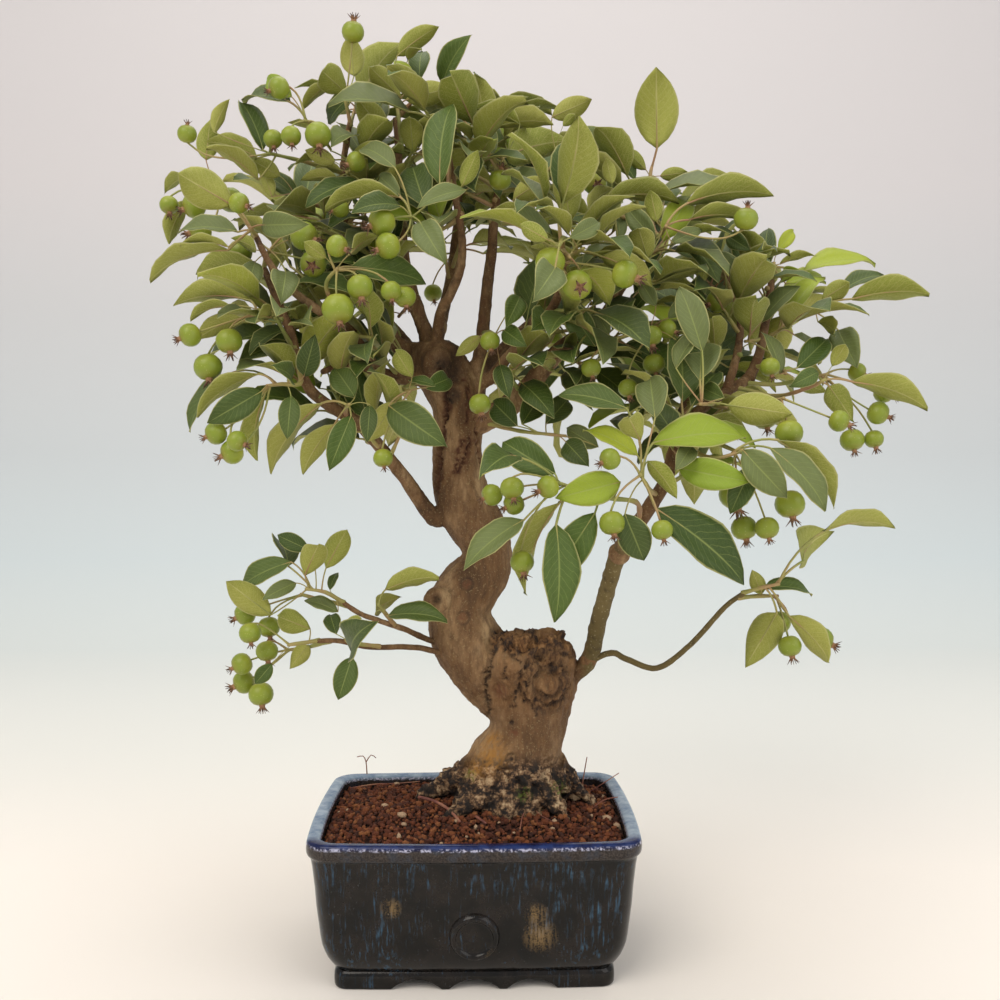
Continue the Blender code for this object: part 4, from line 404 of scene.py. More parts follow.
def tubeTree(points, radii, sides=6):
    # A search tree of the tube round a line of points, for clearances
    corners = []
    for i, point in enumerate(points):
        ahead = points[min(i + 1, len(points) - 1)]
        behind = points[max(i - 1, 0)]
        way = (ahead - behind).normalized()
        side = way.orthogonal().normalized()
        other = way.cross(side)
        for k in range(sides):
            turn = math.tau * k / sides
            corners.append(point + (side * math.cos(turn) + other * math.sin(turn)) * radii[i])
    faces = []
    for i in range(len(points) - 1):
        for k in range(sides):
            nxt = (k + 1) % sides
            faces.append((i * sides + k, i * sides + nxt, (i + 1) * sides + nxt, (i + 1) * sides + k))
    return makeObstacle(corners, faces)


def makeObstacle(corners, faces):
    low = Vector([min(c[i] for c in corners) for i in range(3)])
    high = Vector([max(c[i] for c in corners) for i in range(3)])
    return {"tree": BVHTree.FromPolygons(corners, faces), "low": low, "high": high}


def meets(first, second):
    # True where two obstacles cross
    for i in range(3):
        if first["low"][i] > second["high"][i] or second["low"][i] > first["high"][i]:
            return False
    return bool(first["tree"].overlap(second["tree"]))


def nearBall(obstacle, centre, radius):
    # True where a ball reaches an obstacle
    for i in range(3):
        if centre[i] + radius < obstacle["low"][i] or centre[i] - radius > obstacle["high"][i]:
            return False
    hit = obstacle["tree"].find_nearest(centre, radius)
    return hit[0] is not None


def bend(start, pull, end, count):
    # Points on a smooth bend from start to end, drawn towards pull
    points = []
    for i in range(count):
        t = i / (count - 1)
        points.append(start * (1 - t) ** 2 + pull * (2 * t * (1 - t)) + end * t ** 2)
    return points


class Planner:
    # Places fruits and leaves one by one, each clear of all that is already there

    def __init__(self, limbs, roots):
        self.limbs = limbs
        self.obstacles = []
        self.balls = []
        for points, radii in list(limbs.values()) + roots:
            self.add("wood", tubeTree(points, [r + plant["clear"] for r in radii], 8))

    def add(self, owner, obstacle):
        self.obstacles.append((owner, obstacle))

    def blocked(self, obstacle, owner, ownToo=False):
        for other, placed in self.obstacles:
            if (ownToo or other != owner) and meets(obstacle, placed):
                return True
        for other, centre, radius in self.balls:
            if nearBall(obstacle, centre, radius + plant["clear"]):
                return True
        return False

    def ballBlocked(self, centre, radius):
        for other, placedCentre, placedRadius in self.balls:
            if (centre - placedCentre).length < radius + placedRadius + plant["clear"]:
                return True
        for other, placed in self.obstacles:
            if nearBall(placed, centre, radius + plant["clear"]):
                return True
        return False

    def placeStem(self, owner, entry):
        # A twig, shifted nearer or farther until it is clear of the wood and of other twigs
        for step in depthSteps:
            stem = placeTwig(entry, self.limbs, step)
            outer = [stem[0] + (stem[1] - stem[0]).normalized() * 2.5] + stem[1:]
            tree = tubeTree(outer, [plant["stemRadius"] + plant["clear"]] * len(outer), 5)
            if not self.blocked(tree, owner):
                self.add(owner, tree)
                return stem
        return None

    def placeFruit(self, owner, stem, spec, index):
        # A fruit with its pedicel, at the first depth where both are clear
        x, y, size, aim = spec
        root = stem[-1] - (stem[-1] - stem[-2]).normalized() * (1.2 + 0.9 * index)
        way = Vector(calyxAim[aim]).normalized()
        for step in depthSteps:
            back = stem[-1].y - 6.0 + step
            centre = photoPoint(x, y, back)
            radius = min(plant["fruitMax"], max(plant["fruitMin"], size * photoScale(back)))
            dried = centre + way * (radius + plant["calyxLength"] * 0.5)
            if self.ballBlocked(centre, radius) or self.ballBlocked(dried, plant["driedRadius"]):
                continue
            top = centre - way * (radius * 0.8)
            reach = (top - root).length
            pull = root.lerp(top, 0.5) * 0.5 + (centre - way * (radius + 0.5 * reach)) * 0.5
            path = bend(root, pull, top, 4)
            outer = [stepOff(root, path[1])] + path[1:3] + [path[2].lerp(path[3], 0.6)]
            pedicel = tubeTree(outer, [plant["pedicelRadius"] + plant["clear"]] * 4, 4)
            if self.blocked(pedicel, owner):
                continue
            self.balls += [(owner, centre, radius), (owner, dried, plant["driedRadius"])]
            self.add(owner, pedicel)
            return {"centre": centre, "radius": radius, "way": way, "path": path}
        return None

    def placeLeaf(self, owner, stem, spec, index):
        # A leaf aimed by the picture, at the first depth where it is clear
        baseX, baseY, tipX, tipY, width, face = spec
        root = leafRoot(stem, photoPoint(baseX, baseY, stem[-1].y), index)
        for step in depthSteps:
            for swing in swingSteps:
                leaf = aimLeaf(root, spec, step, swing)
                if leaf is None:
                    continue
                obstacle = leafTree(leaf)
                if not self.blocked(obstacle, owner, ownToo=True):
                    self.add(owner, obstacle)
                    return leaf
        return None

    def placeBackLeaf(self, owner, stem, draw):
        # A leaf on the far side, fanned round the twig and redrawn until it is clear
        outward = (stem[-1] - stem[0]).normalized()
        for _ in range(backTries):
            root = pointAlong(stem, draw.uniform(0.3, 0.98))
            way = Vector((draw.uniform(-1, 1), draw.uniform(-0.5, 1.0), draw.uniform(-0.35, 0.8)))
            way = (way.normalized() + outward * 0.5).normalized()
            droop = Vector((0, 0, draw.uniform(-0.5, 0.1)))
            base = root + way * draw.uniform(10, 18)
            length = plant["leafLength"] * draw.uniform(0.8, 1.15)
            tip = base + (way + droop).normalized() * length
            lean = Vector((draw.uniform(-0.5, 0.5), draw.uniform(-0.2, 0.6), 1.0))
            leaf = makeLeaf(root, base, tip, lean, length * plant["leafRatio"] * draw.uniform(0.9, 1.1))
            obstacle = leafTree(leaf)
            if not self.blocked(obstacle, owner, ownToo=True):
                self.add(owner, obstacle)
                return leaf
        return None


def leafRoot(stem, base, index):
    # The point on the stem a petiole springs from, a little back from the blade's base
    best = None
    for start, end in zip(stem, stem[1:]):
        span = end - start
        share = max(0.0, min(1.0, (base - start).dot(span) / span.length_squared))
        point = start + span * share
        distance = (base - point).length
        if best is None or distance < best[0]:
            near = 3.0 if start is stem[0] else 0.0
            along = max(near, share * span.length - 1.0 - 1.3 * (index % 5))
            best = (distance, start + span.normalized() * min(along, span.length))
    return best[1]


def aimLeaf(root, spec, step, swing):
    # A leaf whose base and tip are seen at their picture points, leaning the natural way
    baseX, baseY, tipX, tipY, width, face = spec
    flat = root.y + step * 0.8
    scale = photoScale(flat)
    seenLength = math.hypot(tipX - baseX, tipY - baseY) * scale
    seenWidth = width * scale
    length = max(1.03 * seenLength, seenWidth / 0.52)
    depth = math.sqrt(length ** 2 - seenLength ** 2)
    best = None
    for sign in (-1, 1):
        base = photoPoint(baseX, baseY, flat + sign * depth * 0.2)
        tip = photoPoint(tipX, tipY, flat + sign * depth * 1.2 + swing)
        trueLength = (tip - base).length
        bladeWidth = max(seenWidth, plant["leafRatio"] * trueLength * 0.94)
        normal = facingNormal(base, tip, seenWidth / bladeWidth, face in upperFaces)
        if best is None or normal.z > best[0] + 0.02:
            best = (normal.z, base, tip, normal, bladeWidth)
    if (best[2] - best[1]).length > plant["longestBlade"] or (best[1] - root).length > plant["longestStalk"]:
        return None
    return makeLeaf(root, best[1], best[2], best[3], best[4])


def facingNormal(base, tip, shown, upper):
    # The blade's upper normal, rolled so that this share of its width shows to the eye
    along = (tip - base).normalized()
    view = eyePoint - base
    view = (view - along * view.dot(along)).normalized()
    side = along.cross(view)
    faceOn = view * (1 if upper else -1) * shown
    roll = side * math.sqrt(max(0.0, 1 - shown ** 2))
    rolls = [faceOn + roll, faceOn - roll]
    return max(rolls, key=lambda n: n.z).normalized()


def makeLeaf(root, base, tip, lean, width):
    # A leaf's frame: where it is, which way its upper side looks, its width and its bend
    along = (tip - base).normalized()
    normal = (lean - along * lean.dot(along)).normalized()
    length = (tip - base).length
    return {"root": root, "base": base, "tip": tip, "along": along, "normal": normal,
            "side": along.cross(normal), "width": width, "length": length,
            "small": length < plant["smallLeaf"]}


def bladePoint(leaf, share, across):
    # A point of the blade: share of the way to the tip, across from -1 to 1.
    # The midrib arches over and the two halves rise from it, as a young blade's do.
    arch = plant["arch"] * leaf["length"] * share * (1 - share)
    rise = plant["rise"] * leaf["width"] * abs(across)
    return (leaf["base"].lerp(leaf["tip"], share) + leaf["normal"] * (arch + rise)
            + leaf["side"] * (across * leaf["width"] / 2))


def stepOff(root, towards):
    # A point on the way from a stalk's root that is just clear of its own stem
    way = towards - root
    return root + way.normalized() * min(plant["stemRadius"] + 2 * plant["clear"] + 0.6, 0.5 * way.length)


def leafOutline(leaf):
    # The petiole's root, then round the blade's edge from heel to heel, then its midrib.
    # A small leaf has one point on each edge, and a large one has two.
    thin = leaf["side"] * (plant["petioleWidth"] / 2)
    stops = [(0.42, 1.0)] if leaf["small"] else [(0.3, 0.94), (0.66, 0.84)]
    left = [bladePoint(leaf, share, -across) for share, across in stops]
    right = [bladePoint(leaf, share, across) for share, across in reversed(stops)]
    edge = [leaf["base"] - thin] + left + [leaf["tip"]] + right + [leaf["base"] + thin]
    return [leaf["root"]] + edge + [bladePoint(leaf, 0.5, 0.0)]


def leafFaces(count):
    # The petiole's triangle, then a fan round the midrib's middle point, which is the last
    rib = count - 1
    ring = list(range(1, rib))
    return [(0, 1, ring[-1])] + [(a, b, rib) for a, b in zip(ring, ring[1:])] + [(ring[-1], 1, rib)]


def leafTree(leaf):
    # The leaf as a slab with clearance on both sides, without the petiole's first part
    outline = leafOutline(leaf)
    outline[0] = stepOff(leaf["root"], leaf["base"])
    lift = leaf["normal"] * (plant["bladeThickness"] / 2 + plant["clear"])
    corners = [p + lift for p in outline] + [p - lift for p in outline]
    count = len(outline)
    faces = leafFaces(count)
    faces = faces + [tuple(i + count for i in face) for face in faces]
    rim = list(range(count - 1))
    faces = faces + [(a, b, b + count, a + count) for a, b in zip(rim, rim[1:] + rim[:1])]
    return makeObstacle(corners, faces)


def planPlant(limbs, roots):
    # Finds every fruit and leaf its place. Fruits come first, as the larger bodies
    planner = Planner(limbs, roots)
    growth = {}
    missing = []
    entries = [("fruits_" + name, entry) for name, entry in bunches.items()]
    entries += [("spray_" + name, entry) for name, entry in {**sprays, **backSprays}.items()]
    for name, entry in entries:
        stem = planner.placeStem(name, entry)
        if stem is None:
            missing.append((name, "stem"))
        growth[name] = {"line": stem, "leaves": [], "fruits": []}
    for name, entry in entries:
        for index, spec in enumerate(entry.get("fruits", [])):
            fruit = planner.placeFruit(name, growth[name]["line"], spec, index)
            if fruit is None:
                missing.append((name, "fruit", spec))
                continue
            growth[name]["fruits"].append(fruit)
    for name, entry in entries:
        for index, spec in enumerate(entry.get("leaves", [])):
            leaf = planner.placeLeaf(name, growth[name]["line"], spec, index)
            if leaf is None:
                missing.append((name, "leaf", spec))
                continue
            leaf["kind"] = spec[5]
            growth[name]["leaves"].append(leaf)
    for name, entry in entries:
        draw = random.Random(len(name) * 31 + 7)
        for _ in range(entry.get("count", 0)):
            leaf = planner.placeBackLeaf(name, growth[name]["line"], draw)
            if leaf is not None:
                growth[name]["leaves"].append(leaf)
    return growth, missing, planner


# Fuller growth between the mapped sprays: how many spurs and leaves, and where the crown is seen to be
fill = {
    "spurs": 120, "pieces": 4, "leaves": (3, 6), "spurTries": 30, "leafTries": 24, "seed": 5,
    "reach": (8.0, 24.0), "petiole": (8.0, 15.0), "nearest": -118.0, "farthest": 128.0, "spread": 185.0
}
crownOutline = [
    (172, 300), (163, 245), (168, 185), (205, 140), (250, 95), (300, 68), (345, 40), (400, 42), (455, 50),
    (495, 92), (560, 98), (605, 132), (622, 172), (700, 184), (760, 190), (792, 235), (850, 258),
    (905, 280), (885, 312), (862, 345), (905, 392), (855, 405), (805, 425), (800, 455), (815, 492),
    (745, 545), (690, 505), (650, 475), (600, 505), (560, 485), (492, 475), (482, 432), (440, 445),
    (380, 445), (330, 455), (290, 445), (240, 445), (203, 420), (188, 380), (192, 340)
]
openWindows = [
    [(398, 262), (448, 232), (508, 232), (542, 300), (505, 348), (400, 348)], [(425, 345), (496, 345),
    (496, 480), (425, 480)]
]

# Small leaves and fruits that the frame leaves out: picture x, y of base and tip, width, facing
smallLeaves = [
    (588, 214, 612, 188, 14, "U"), (660, 176, 688, 172, 14, "P"), (646, 170, 626, 150, 14, "P"),
    (616, 350, 622, 374, 15, "T"), (668, 318, 688, 300, 16, "G"), (676, 340, 700, 352, 18, "T"),
    (342, 630, 362, 618, 14, "U"), (256, 250, 232, 238, 14, "P"), (480, 336, 456, 356, 14, "U"),
    (352, 157, 382, 143, 14, "U"), (272, 197, 260, 166, 14, "U"), (612, 184, 606, 158, 14, "U"),
    (724, 398, 703, 388, 20, "T"), (778, 250, 794, 230, 14, "L"), (333, 178, 313, 179, 8, "T"),
    (341, 170, 314, 171, 10, "U"), (408, 60, 421, 49, 8, "U"), (563, 126, 575, 114, 10, "U"),
    (586, 175, 598, 153, 9, "P"), (635, 180, 612, 153, 12, "T"), (618, 240, 615, 210, 12, "G"),
    (780, 264, 816, 255, 9, "U"), (782, 280, 800, 270, 12, "L"), (772, 285, 765, 262, 14, "U"),
    (768, 323, 740, 325, 12, "G"), (818, 322, 835, 334, 14, "U"), (435, 386, 408, 380, 10, "T"),
    (228, 247, 180, 244, 9, "U"), (232, 306, 190, 318, 9, "U"), (330, 590, 338, 572, 9, "T")
]
smallFruits = [
    (273, 139, 8, "D"), (169, 205, 8, "D"), (340, 208, 8, "L"), (356, 162, 10, "L"), (628, 388, 9, "D"),
    (667, 329, 8, "R"), (857, 372, 8, "R"), (237, 441, 10, "R"), (770, 367, 10, "D"), (522, 562, 12, "D"),
    (765, 418, 12, "D"), (337, 246, 11, "R"), (562, 168, 11, "R"), (610, 459, 11, "L"), (780, 622, 11, "L"),
    (250, 633, 11, "D"), (244, 682, 11.5, "L"), (239, 203, 8, "R"), (391, 291, 10, "D"),
    (405, 297, 11, "D"), (433, 293, 9, "D"), (490, 341, 10, "D"), (554, 339, 10, "R"), (514, 504, 11, "L")
]


def insideOutline(outline, x, y):
    # Whether a picture point lies inside a closed outline
    inside = False
    for (x1, y1), (x2, y2) in zip(outline, outline[1:] + outline[:1]):
        if (y1 > y) != (y2 > y) and x < (x2 - x1) * (y - y1) / (y2 - y1) + x1:
            inside = not inside
    return inside


def insideCrown(point):
    # Whether a point of the plant is seen within the crown, and stays in its depth
    x, y = picturePlace(point)
    if not fill["nearest"] < point.y < fill["farthest"] or not insideOutline(crownOutline, x, y):
        return False
    return not any(insideOutline(window, x, y) for window in openWindows)


def growSpur(planner, limbs, names, weights, owner, draw):
    # A short shoot from the side of a limb, clear of all that is there
    for _ in range(fill["spurTries"]):
        name = draw.choices(names, weights)[0]
        points, radii = limbs[name]
        start = pointAlong(points, draw.uniform(0.22, 1.0))
        way = Vector((draw.uniform(-1, 1), draw.uniform(-1, 1), draw.uniform(-0.5, 1.0))).normalized()
        bark = start + way * (max(radii) * 0.5 + 3.0)
        end = bark + way * draw.uniform(*fill["reach"]) + Vector((0, 0, 2.0))
        if not insideCrown(end):
            continue
        tree = tubeTree([bark + way * 1.5, bark.lerp(end, 0.5), end], [1.2] * 3, 5)
        if not planner.blocked(tree, owner):
            planner.add(owner, tree)
            return [start, bark, bark.lerp(end, 0.5), end]
    return None


def growFillLeaf(planner, owner, stem, draw):
    # A leaf of a spur, fanned round its end and redrawn until it is clear and inside the crown
    outward = (stem[-1] - stem[0]).normalized()
    for _ in range(fill["leafTries"]):
        root = stem[-1].lerp(stem[-2], draw.uniform(0.0, 0.9))
        way = Vector((draw.uniform(-1, 1), draw.uniform(-1, 1), draw.uniform(-0.4, 0.9))).normalized()
        way = (way + outward * 0.5).normalized()
        base = root + way * draw.uniform(*fill["petiole"])
        length = plant["leafLength"] * draw.uniform(0.55, 1.0)
        droop = Vector((0, 0, draw.uniform(-0.5, 0.15)))
        tip = base + (way + droop).normalized() * length
        if not (insideCrown(base) and insideCrown(tip) and insideCrown(base.lerp(tip, 0.5))):
            continue
        lean = Vector((draw.uniform(-0.6, 0.6), draw.uniform(-0.9, 0.5), 1.0))
        leaf = makeLeaf(root, base, tip, lean, length * plant["leafRatio"] * draw.uniform(1.0, 1.25))
        obstacle = leafTree(leaf)
        if not planner.blocked(obstacle, owner, ownToo=True):
            planner.add(owner, obstacle)
            leaf["kind"] = draw.choice("TTTTTTGGUL")
            return leaf
    return None


def growExtras(planner, limbs, growth):
    # The small leaves and fruits of the picture on the nearest twig, then the fuller growth
    def nearestTwig(x, y):
        seen = {name: picturePlace(grown["line"][-1]) for name, grown in growth.items()}
        return min(seen, key=lambda name: math.hypot(seen[name][0] - x, seen[name][1] - y))

    added = 0
    for number, spec in enumerate(smallFruits):
        owner = nearestTwig(spec[0], spec[1])
        fruit = planner.placeFruit(owner, growth[owner]["line"], spec, number % 3)
        if fruit is not None:
            growth[owner]["fruits"].append(fruit)
            added += 1
    for number, spec in enumerate(smallLeaves):
        owner = nearestTwig(spec[0], spec[1])
        leaf = planner.placeLeaf(owner, growth[owner]["line"], spec, number)
        if leaf is not None:
            leaf["kind"] = spec[5]
            growth[owner]["leaves"].append(leaf)
            added += 1
    draw = random.Random(fill["seed"])
    names = [name for name in limbs if name not in trunkPaths]
    weights = [(limbs[name][0][-1] - limbs[name][0][0]).length for name in names]
    for number in range(fill["spurs"]):
        owner = "spur_%03d" % number
        stem = growSpur(planner, limbs, names, weights, owner, draw)
        if stem is None:
            continue
        leaves = [growFillLeaf(planner, owner, stem, draw) for _ in range(draw.randint(*fill["leaves"]))]
        leaves = [leaf for leaf in leaves if leaf is not None]
        if leaves:
            growth[owner] = {"line": stem, "leaves": leaves, "fruits": []}
            added += len(leaves)
    return added


# What the leaves are drawn with: quads across and along, then blade thickness and edge wave in mm
leafLook = {
    "listed": (4, 10), "fuller": (2, 6), "thickness": 0.3, "wave": 0.9, "curl": 0.07, "arch": 0.34,
    "fold": 0.2
}
stalkLook = {
    "sides": 1, "petioleRadius": 0.62, "pedicelRadius": 0.55, "twigRadius": 1.15, "rooted": 3.5
}
fruitLook = {
    "around": 14, "up": 9, "hollow": 0.16, "sepals": 5, "stamens": 4
}


def makeMesh(name, bm):
    # A mesh from a finished bmesh
    mesh = bpy.data.meshes.new(name)
    bm.to_mesh(mesh)
    bm.free()
    return mesh


def newObject(name, data):
    # An object in the scene for a mesh, curve, light or camera
    added = bpy.data.objects.new(name, data)
    bpy.context.scene.collection.objects.link(added)
    return added


def workedMesh(holder):
    # The mesh of a passing object with its modifiers worked in; the object goes
    bpy.context.view_layer.update()
    shape = holder.evaluated_get(bpy.context.evaluated_depsgraph_get())
    mesh = bpy.data.meshes.new_from_object(shape)
    bpy.data.objects.remove(holder, do_unlink=True)
    return mesh


def makePiece(name, mesh, materials, nodes):
    # A finished piece in metres, with its materials, its body and the nodes it stands for
    piece = newObject(name, mesh)
    for material in materials:
        mesh.materials.append(material)
    mesh.transform(Matrix.Scale(mm, 4) @ Matrix.Translation(potMiddle))
    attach(piece, "root")
    if nodes:
        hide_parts(*nodes)


def smoothLine(points, values, spacing):
    # A rounded line through the points, with its values, at an even spacing
    rounded, sizes = [], []
    for i in range(len(points) - 1):
        before, after = points[max(i - 1, 0)], points[min(i + 2, len(points) - 1)]
        start, end = points[i], points[i + 1]
        count = max(2, int((end - start).length / spacing))
        for k in range(count):
            t = k / count
            rounded.append(0.5 * ((2 * start) + (end - before) * t
                                  + (2 * before - 5 * start + 4 * end - after) * t ** 2
                                  + (3 * start - before - 3 * end + after) * t ** 3))
            sizes.append(values[i] + (values[i + 1] - values[i]) * t)
    return rounded + [points[-1]], sizes + [values[-1]]


def tubesMesh(name, lines, resolution):
    # One mesh of many round stalks, each a line of points with its radii
    curve = bpy.data.curves.new(name, "CURVE")
    curve.dimensions = "3D"
    curve.bevel_depth = 1.0
    curve.bevel_resolution = resolution
    curve.use_fill_caps = True
    for points, radii in lines:
        spline = curve.splines.new("POLY")
        spline.points.add(len(points) - 1)
        for spot, point, radius in zip(spline.points, points, radii):
            spot.co = (*point, 1.0)
            spot.radius = radius
    mesh = workedMesh(newObject(name, curve))
    bpy.data.curves.remove(curve)
    bm = bmesh.new()
    bm.from_mesh(mesh)
    bmesh.ops.remove_doubles(bm, verts=bm.verts, dist=1e-4)
    bmesh.ops.recalc_face_normals(bm, faces=bm.faces)
    bm.to_mesh(mesh)
    bm.free()
    return mesh


def addMesh(bm, mesh, material, smooth=True):
    # Adds a mesh to a piece under one of its materials, and gives back the new points and faces
    oldVerts, oldFaces = len(bm.verts), len(bm.faces)
    bm.from_mesh(mesh)
    bm.verts.ensure_lookup_table()
    bm.faces.ensure_lookup_table()
    verts, faces = bm.verts[oldVerts:], bm.faces[oldFaces:]
    for face in faces:
        face.material_index = material
        face.smooth = smooth
    return verts, faces


def leafTemplate(across, along):
    # A flat blade one unit long and two wide, with its thickness, to be bent for every leaf
    bm = bmesh.new()
    bmesh.ops.create_grid(bm, x_segments=across, y_segments=along, size=1.0)
    for vert in bm.verts:
        vert.co.y = (vert.co.y + 1) / 2
    bmesh.ops.solidify(bm, geom=bm.faces[:], thickness=1.0)
    bmesh.ops.recalc_face_normals(bm, faces=bm.faces)
    heights = [vert.co.z for vert in bm.verts]
    middle = (min(heights) + max(heights)) / 2
    for vert in bm.verts:
        vert.co.z -= middle
    return makeMesh("leafTemplate", bm)


def bladeWidth(share):
    # How wide the blade is at a share of its length: oval, drawn out to a point
    oval = math.sin(math.pi * min(1.0, share ** 0.9)) ** 0.72
    drawn = 1 - 0.28 * max(0.0, (share - 0.78) / 0.22) ** 1.5
    return max(0.012, 0.055 * (1 - share), oval * drawn)


def bendBlade(leaf, verts, draw):
    # Bends a flat blade to its leaf: arched, folded at the midrib and waved at its edge
    phase = draw.uniform(0, math.tau)
    waves = draw.uniform(1.5, 2.6)
    fold = leafLook["fold"] * draw.uniform(0.8, 1.15)
    roll = draw.uniform(-0.10, 0.10)
    arch = leafLook["arch"]
    wave = leafLook["wave"] * leaf["width"] / 20
    for vert in verts:
        across, share, skin = vert.co
        width = bladeWidth(share)
        edge = abs(across) ** 4
        height = arch * leaf["length"] * share * (1 - share) + fold * leaf["width"] * abs(across) * width
        height += wave * edge * math.sin(waves * math.tau * share + phase + across * 1.3)
        height += roll * across * leaf["width"] * share + skin * leafLook["thickness"]
        height -= leafLook["curl"] * leaf["length"] * max(0.0, share - 0.7) ** 2 * 6
        out = across * leaf["width"] / 2 * width
        vert.co = (leaf["base"].lerp(leaf["tip"], share) + leaf["normal"] * height + leaf["side"] * out)


def addLeaf(bm, template, leaf, kind, draw):
    # A blade in a piece, with its map along and across, and its tone: age, greyness, side, chance
    verts, faces = addMesh(bm, template, 0)
    leafMap = bm.loops.layers.uv["leafMap"]
    leafTone = bm.loops.layers.float_color["leafTone"]
    chance = draw.random()
    young = {"L": 1.0, "Y": 0.4}.get(kind, 0.0)
    grey = {"G": 1.0, "P": 0.8}.get(kind, draw.uniform(0.0, 0.35))
    for face in faces:
        under = 1.0 if face.normal.z < 0 else 0.0
        for loop in face.loops:
            loop[leafMap].uv = ((loop.vert.co.x + 1) / 2, loop.vert.co.y)
            loop[leafTone] = (young, grey, under, chance)
    bendBlade(leaf, verts, draw)


def fruitTemplate():
    # A round fruit of radius one, its dried end up, hollowed a little at both ends
    bm = bmesh.new()
    bmesh.ops.create_uvsphere(bm, u_segments=fruitLook["around"], v_segments=fruitLook["up"], radius=1.0)
    for vert in bm.verts:
        out = math.hypot(vert.co.x, vert.co.y)
        hollow = fruitLook["hollow"] * math.exp(-(out / 0.3) ** 2)
        ribs = 1 + 0.012 * math.cos(5 * math.atan2(vert.co.y, vert.co.x)) * out
        vert.co = Vector((vert.co.x * ribs * 1.02, vert.co.y * ribs * 1.02,
                          vert.co.z * (0.97 - hollow)))
    return makeMesh("fruitTemplate", bm)


def driedTemplate():
    # The dried flower end: a short neck, pointed sepals spread round it and a few stiff stamens
    bm = bmesh.new()
    bmesh.ops.create_cone(bm, cap_ends=True, segments=8, radius1=1.5, radius2=1.05, depth=1.8,
                          matrix=Matrix.Translation((0, 0, 0.5)))
    for k in range(fruitLook["sepals"]):
        turn = Matrix.Rotation(math.tau * k / fruitLook["sepals"], 4, "Z")
        lean = Matrix.Rotation(math.radians(38 + 9 * (k % 3)), 4, "Y")
        place = turn @ Matrix.Translation((0.8, 0, 1.2)) @ lean @ Matrix.Translation((0, 0, 1.5))
        bmesh.ops.create_cone(bm, cap_ends=True, segments=4, radius1=0.75, radius2=0.12, depth=3.2,
                              matrix=place @ Matrix.Diagonal((0.45, 1.0, 1.0, 1.0)))
    for k in range(fruitLook["stamens"]):
        turn = Matrix.Rotation(math.tau * (k + 0.4) / fruitLook["stamens"], 4, "Z")
        lean = Matrix.Rotation(math.radians(12), 4, "Y")
        place = turn @ lean @ Matrix.Translation((0.25, 0, 2.6))
        bmesh.ops.create_cone(bm, cap_ends=True, segments=3, radius1=0.2, radius2=0.12, depth=2.8,
                              matrix=place)
    return makeMesh("driedTemplate", bm)


def addFruit(bm, skin, dried, fruit, draw):
    # A fruit with its dried flower end, turned to hang the way it does
    leafMap = bm.loops.layers.uv["leafMap"]
    leafTone = bm.loops.layers.float_color["leafTone"]
    turn = Vector((0, 0, 1)).rotation_difference(fruit["way"]).to_matrix().to_4x4()
    spin = Matrix.Rotation(draw.uniform(0, math.tau), 4, "Z")
    place = Matrix.Translation(fruit["centre"]) @ turn @ spin
    chance = draw.random()
    verts, faces = addMesh(bm, skin, 2)
    for face in faces:
        for loop in face.loops:
            spot = loop.vert.co
            loop[leafMap].uv = (math.atan2(spot.y, spot.x) / math.tau + 0.5, (spot.z + 1) / 2)
            loop[leafTone] = (0.0, 0.0, 0.0, chance)
    bmesh.ops.transform(bm, matrix=place @ Matrix.Scale(fruit["radius"], 4), verts=verts)
    verts, faces = addMesh(bm, dried, 3, smooth=False)
    for face in faces:
        for loop in face.loops:
            loop[leafMap].uv = (0.5, min(1.0, max(0.0, loop.vert.co.z / 4.2)))
            loop[leafTone] = (0.0, 0.0, 0.0, chance)
    size = fruit["radius"] / 5.4 * draw.uniform(0.85, 1.15)
    lift = Matrix.Translation((0, 0, fruit["radius"] * 0.84))
    bmesh.ops.transform(bm, matrix=place @ lift @ Matrix.Scale(size, 4), verts=verts)


def petioleLine(leaf):
    # A bent stalk from the twig to the blade, which runs on a little way as the blade's rib
    root, base = leaf["root"], leaf["base"]
    span = (base - root).length
    pull = root.lerp(base, 0.55) + Vector((0, 0, 0.12 * span)) - leaf["along"] * (0.15 * span)
    points = bend(root, pull, base, 7)
    rib = [base.lerp(leaf["tip"], s)
           + leaf["normal"] * (leafLook["arch"] * leaf["length"] * s * (1 - s) - 0.12)
           for s in (0.12, 0.26, 0.42, 0.6)]
    thick = stalkLook["petioleRadius"] * min(1.1, leaf["length"] / 42)
    radii = [thick * (1.25 - 0.25 * min(1, i / 2)) for i in range(7)] + [thick * f for f in (0.72, 0.55,
                                                                                             0.38, 0.2)]
    return points + rib, radii


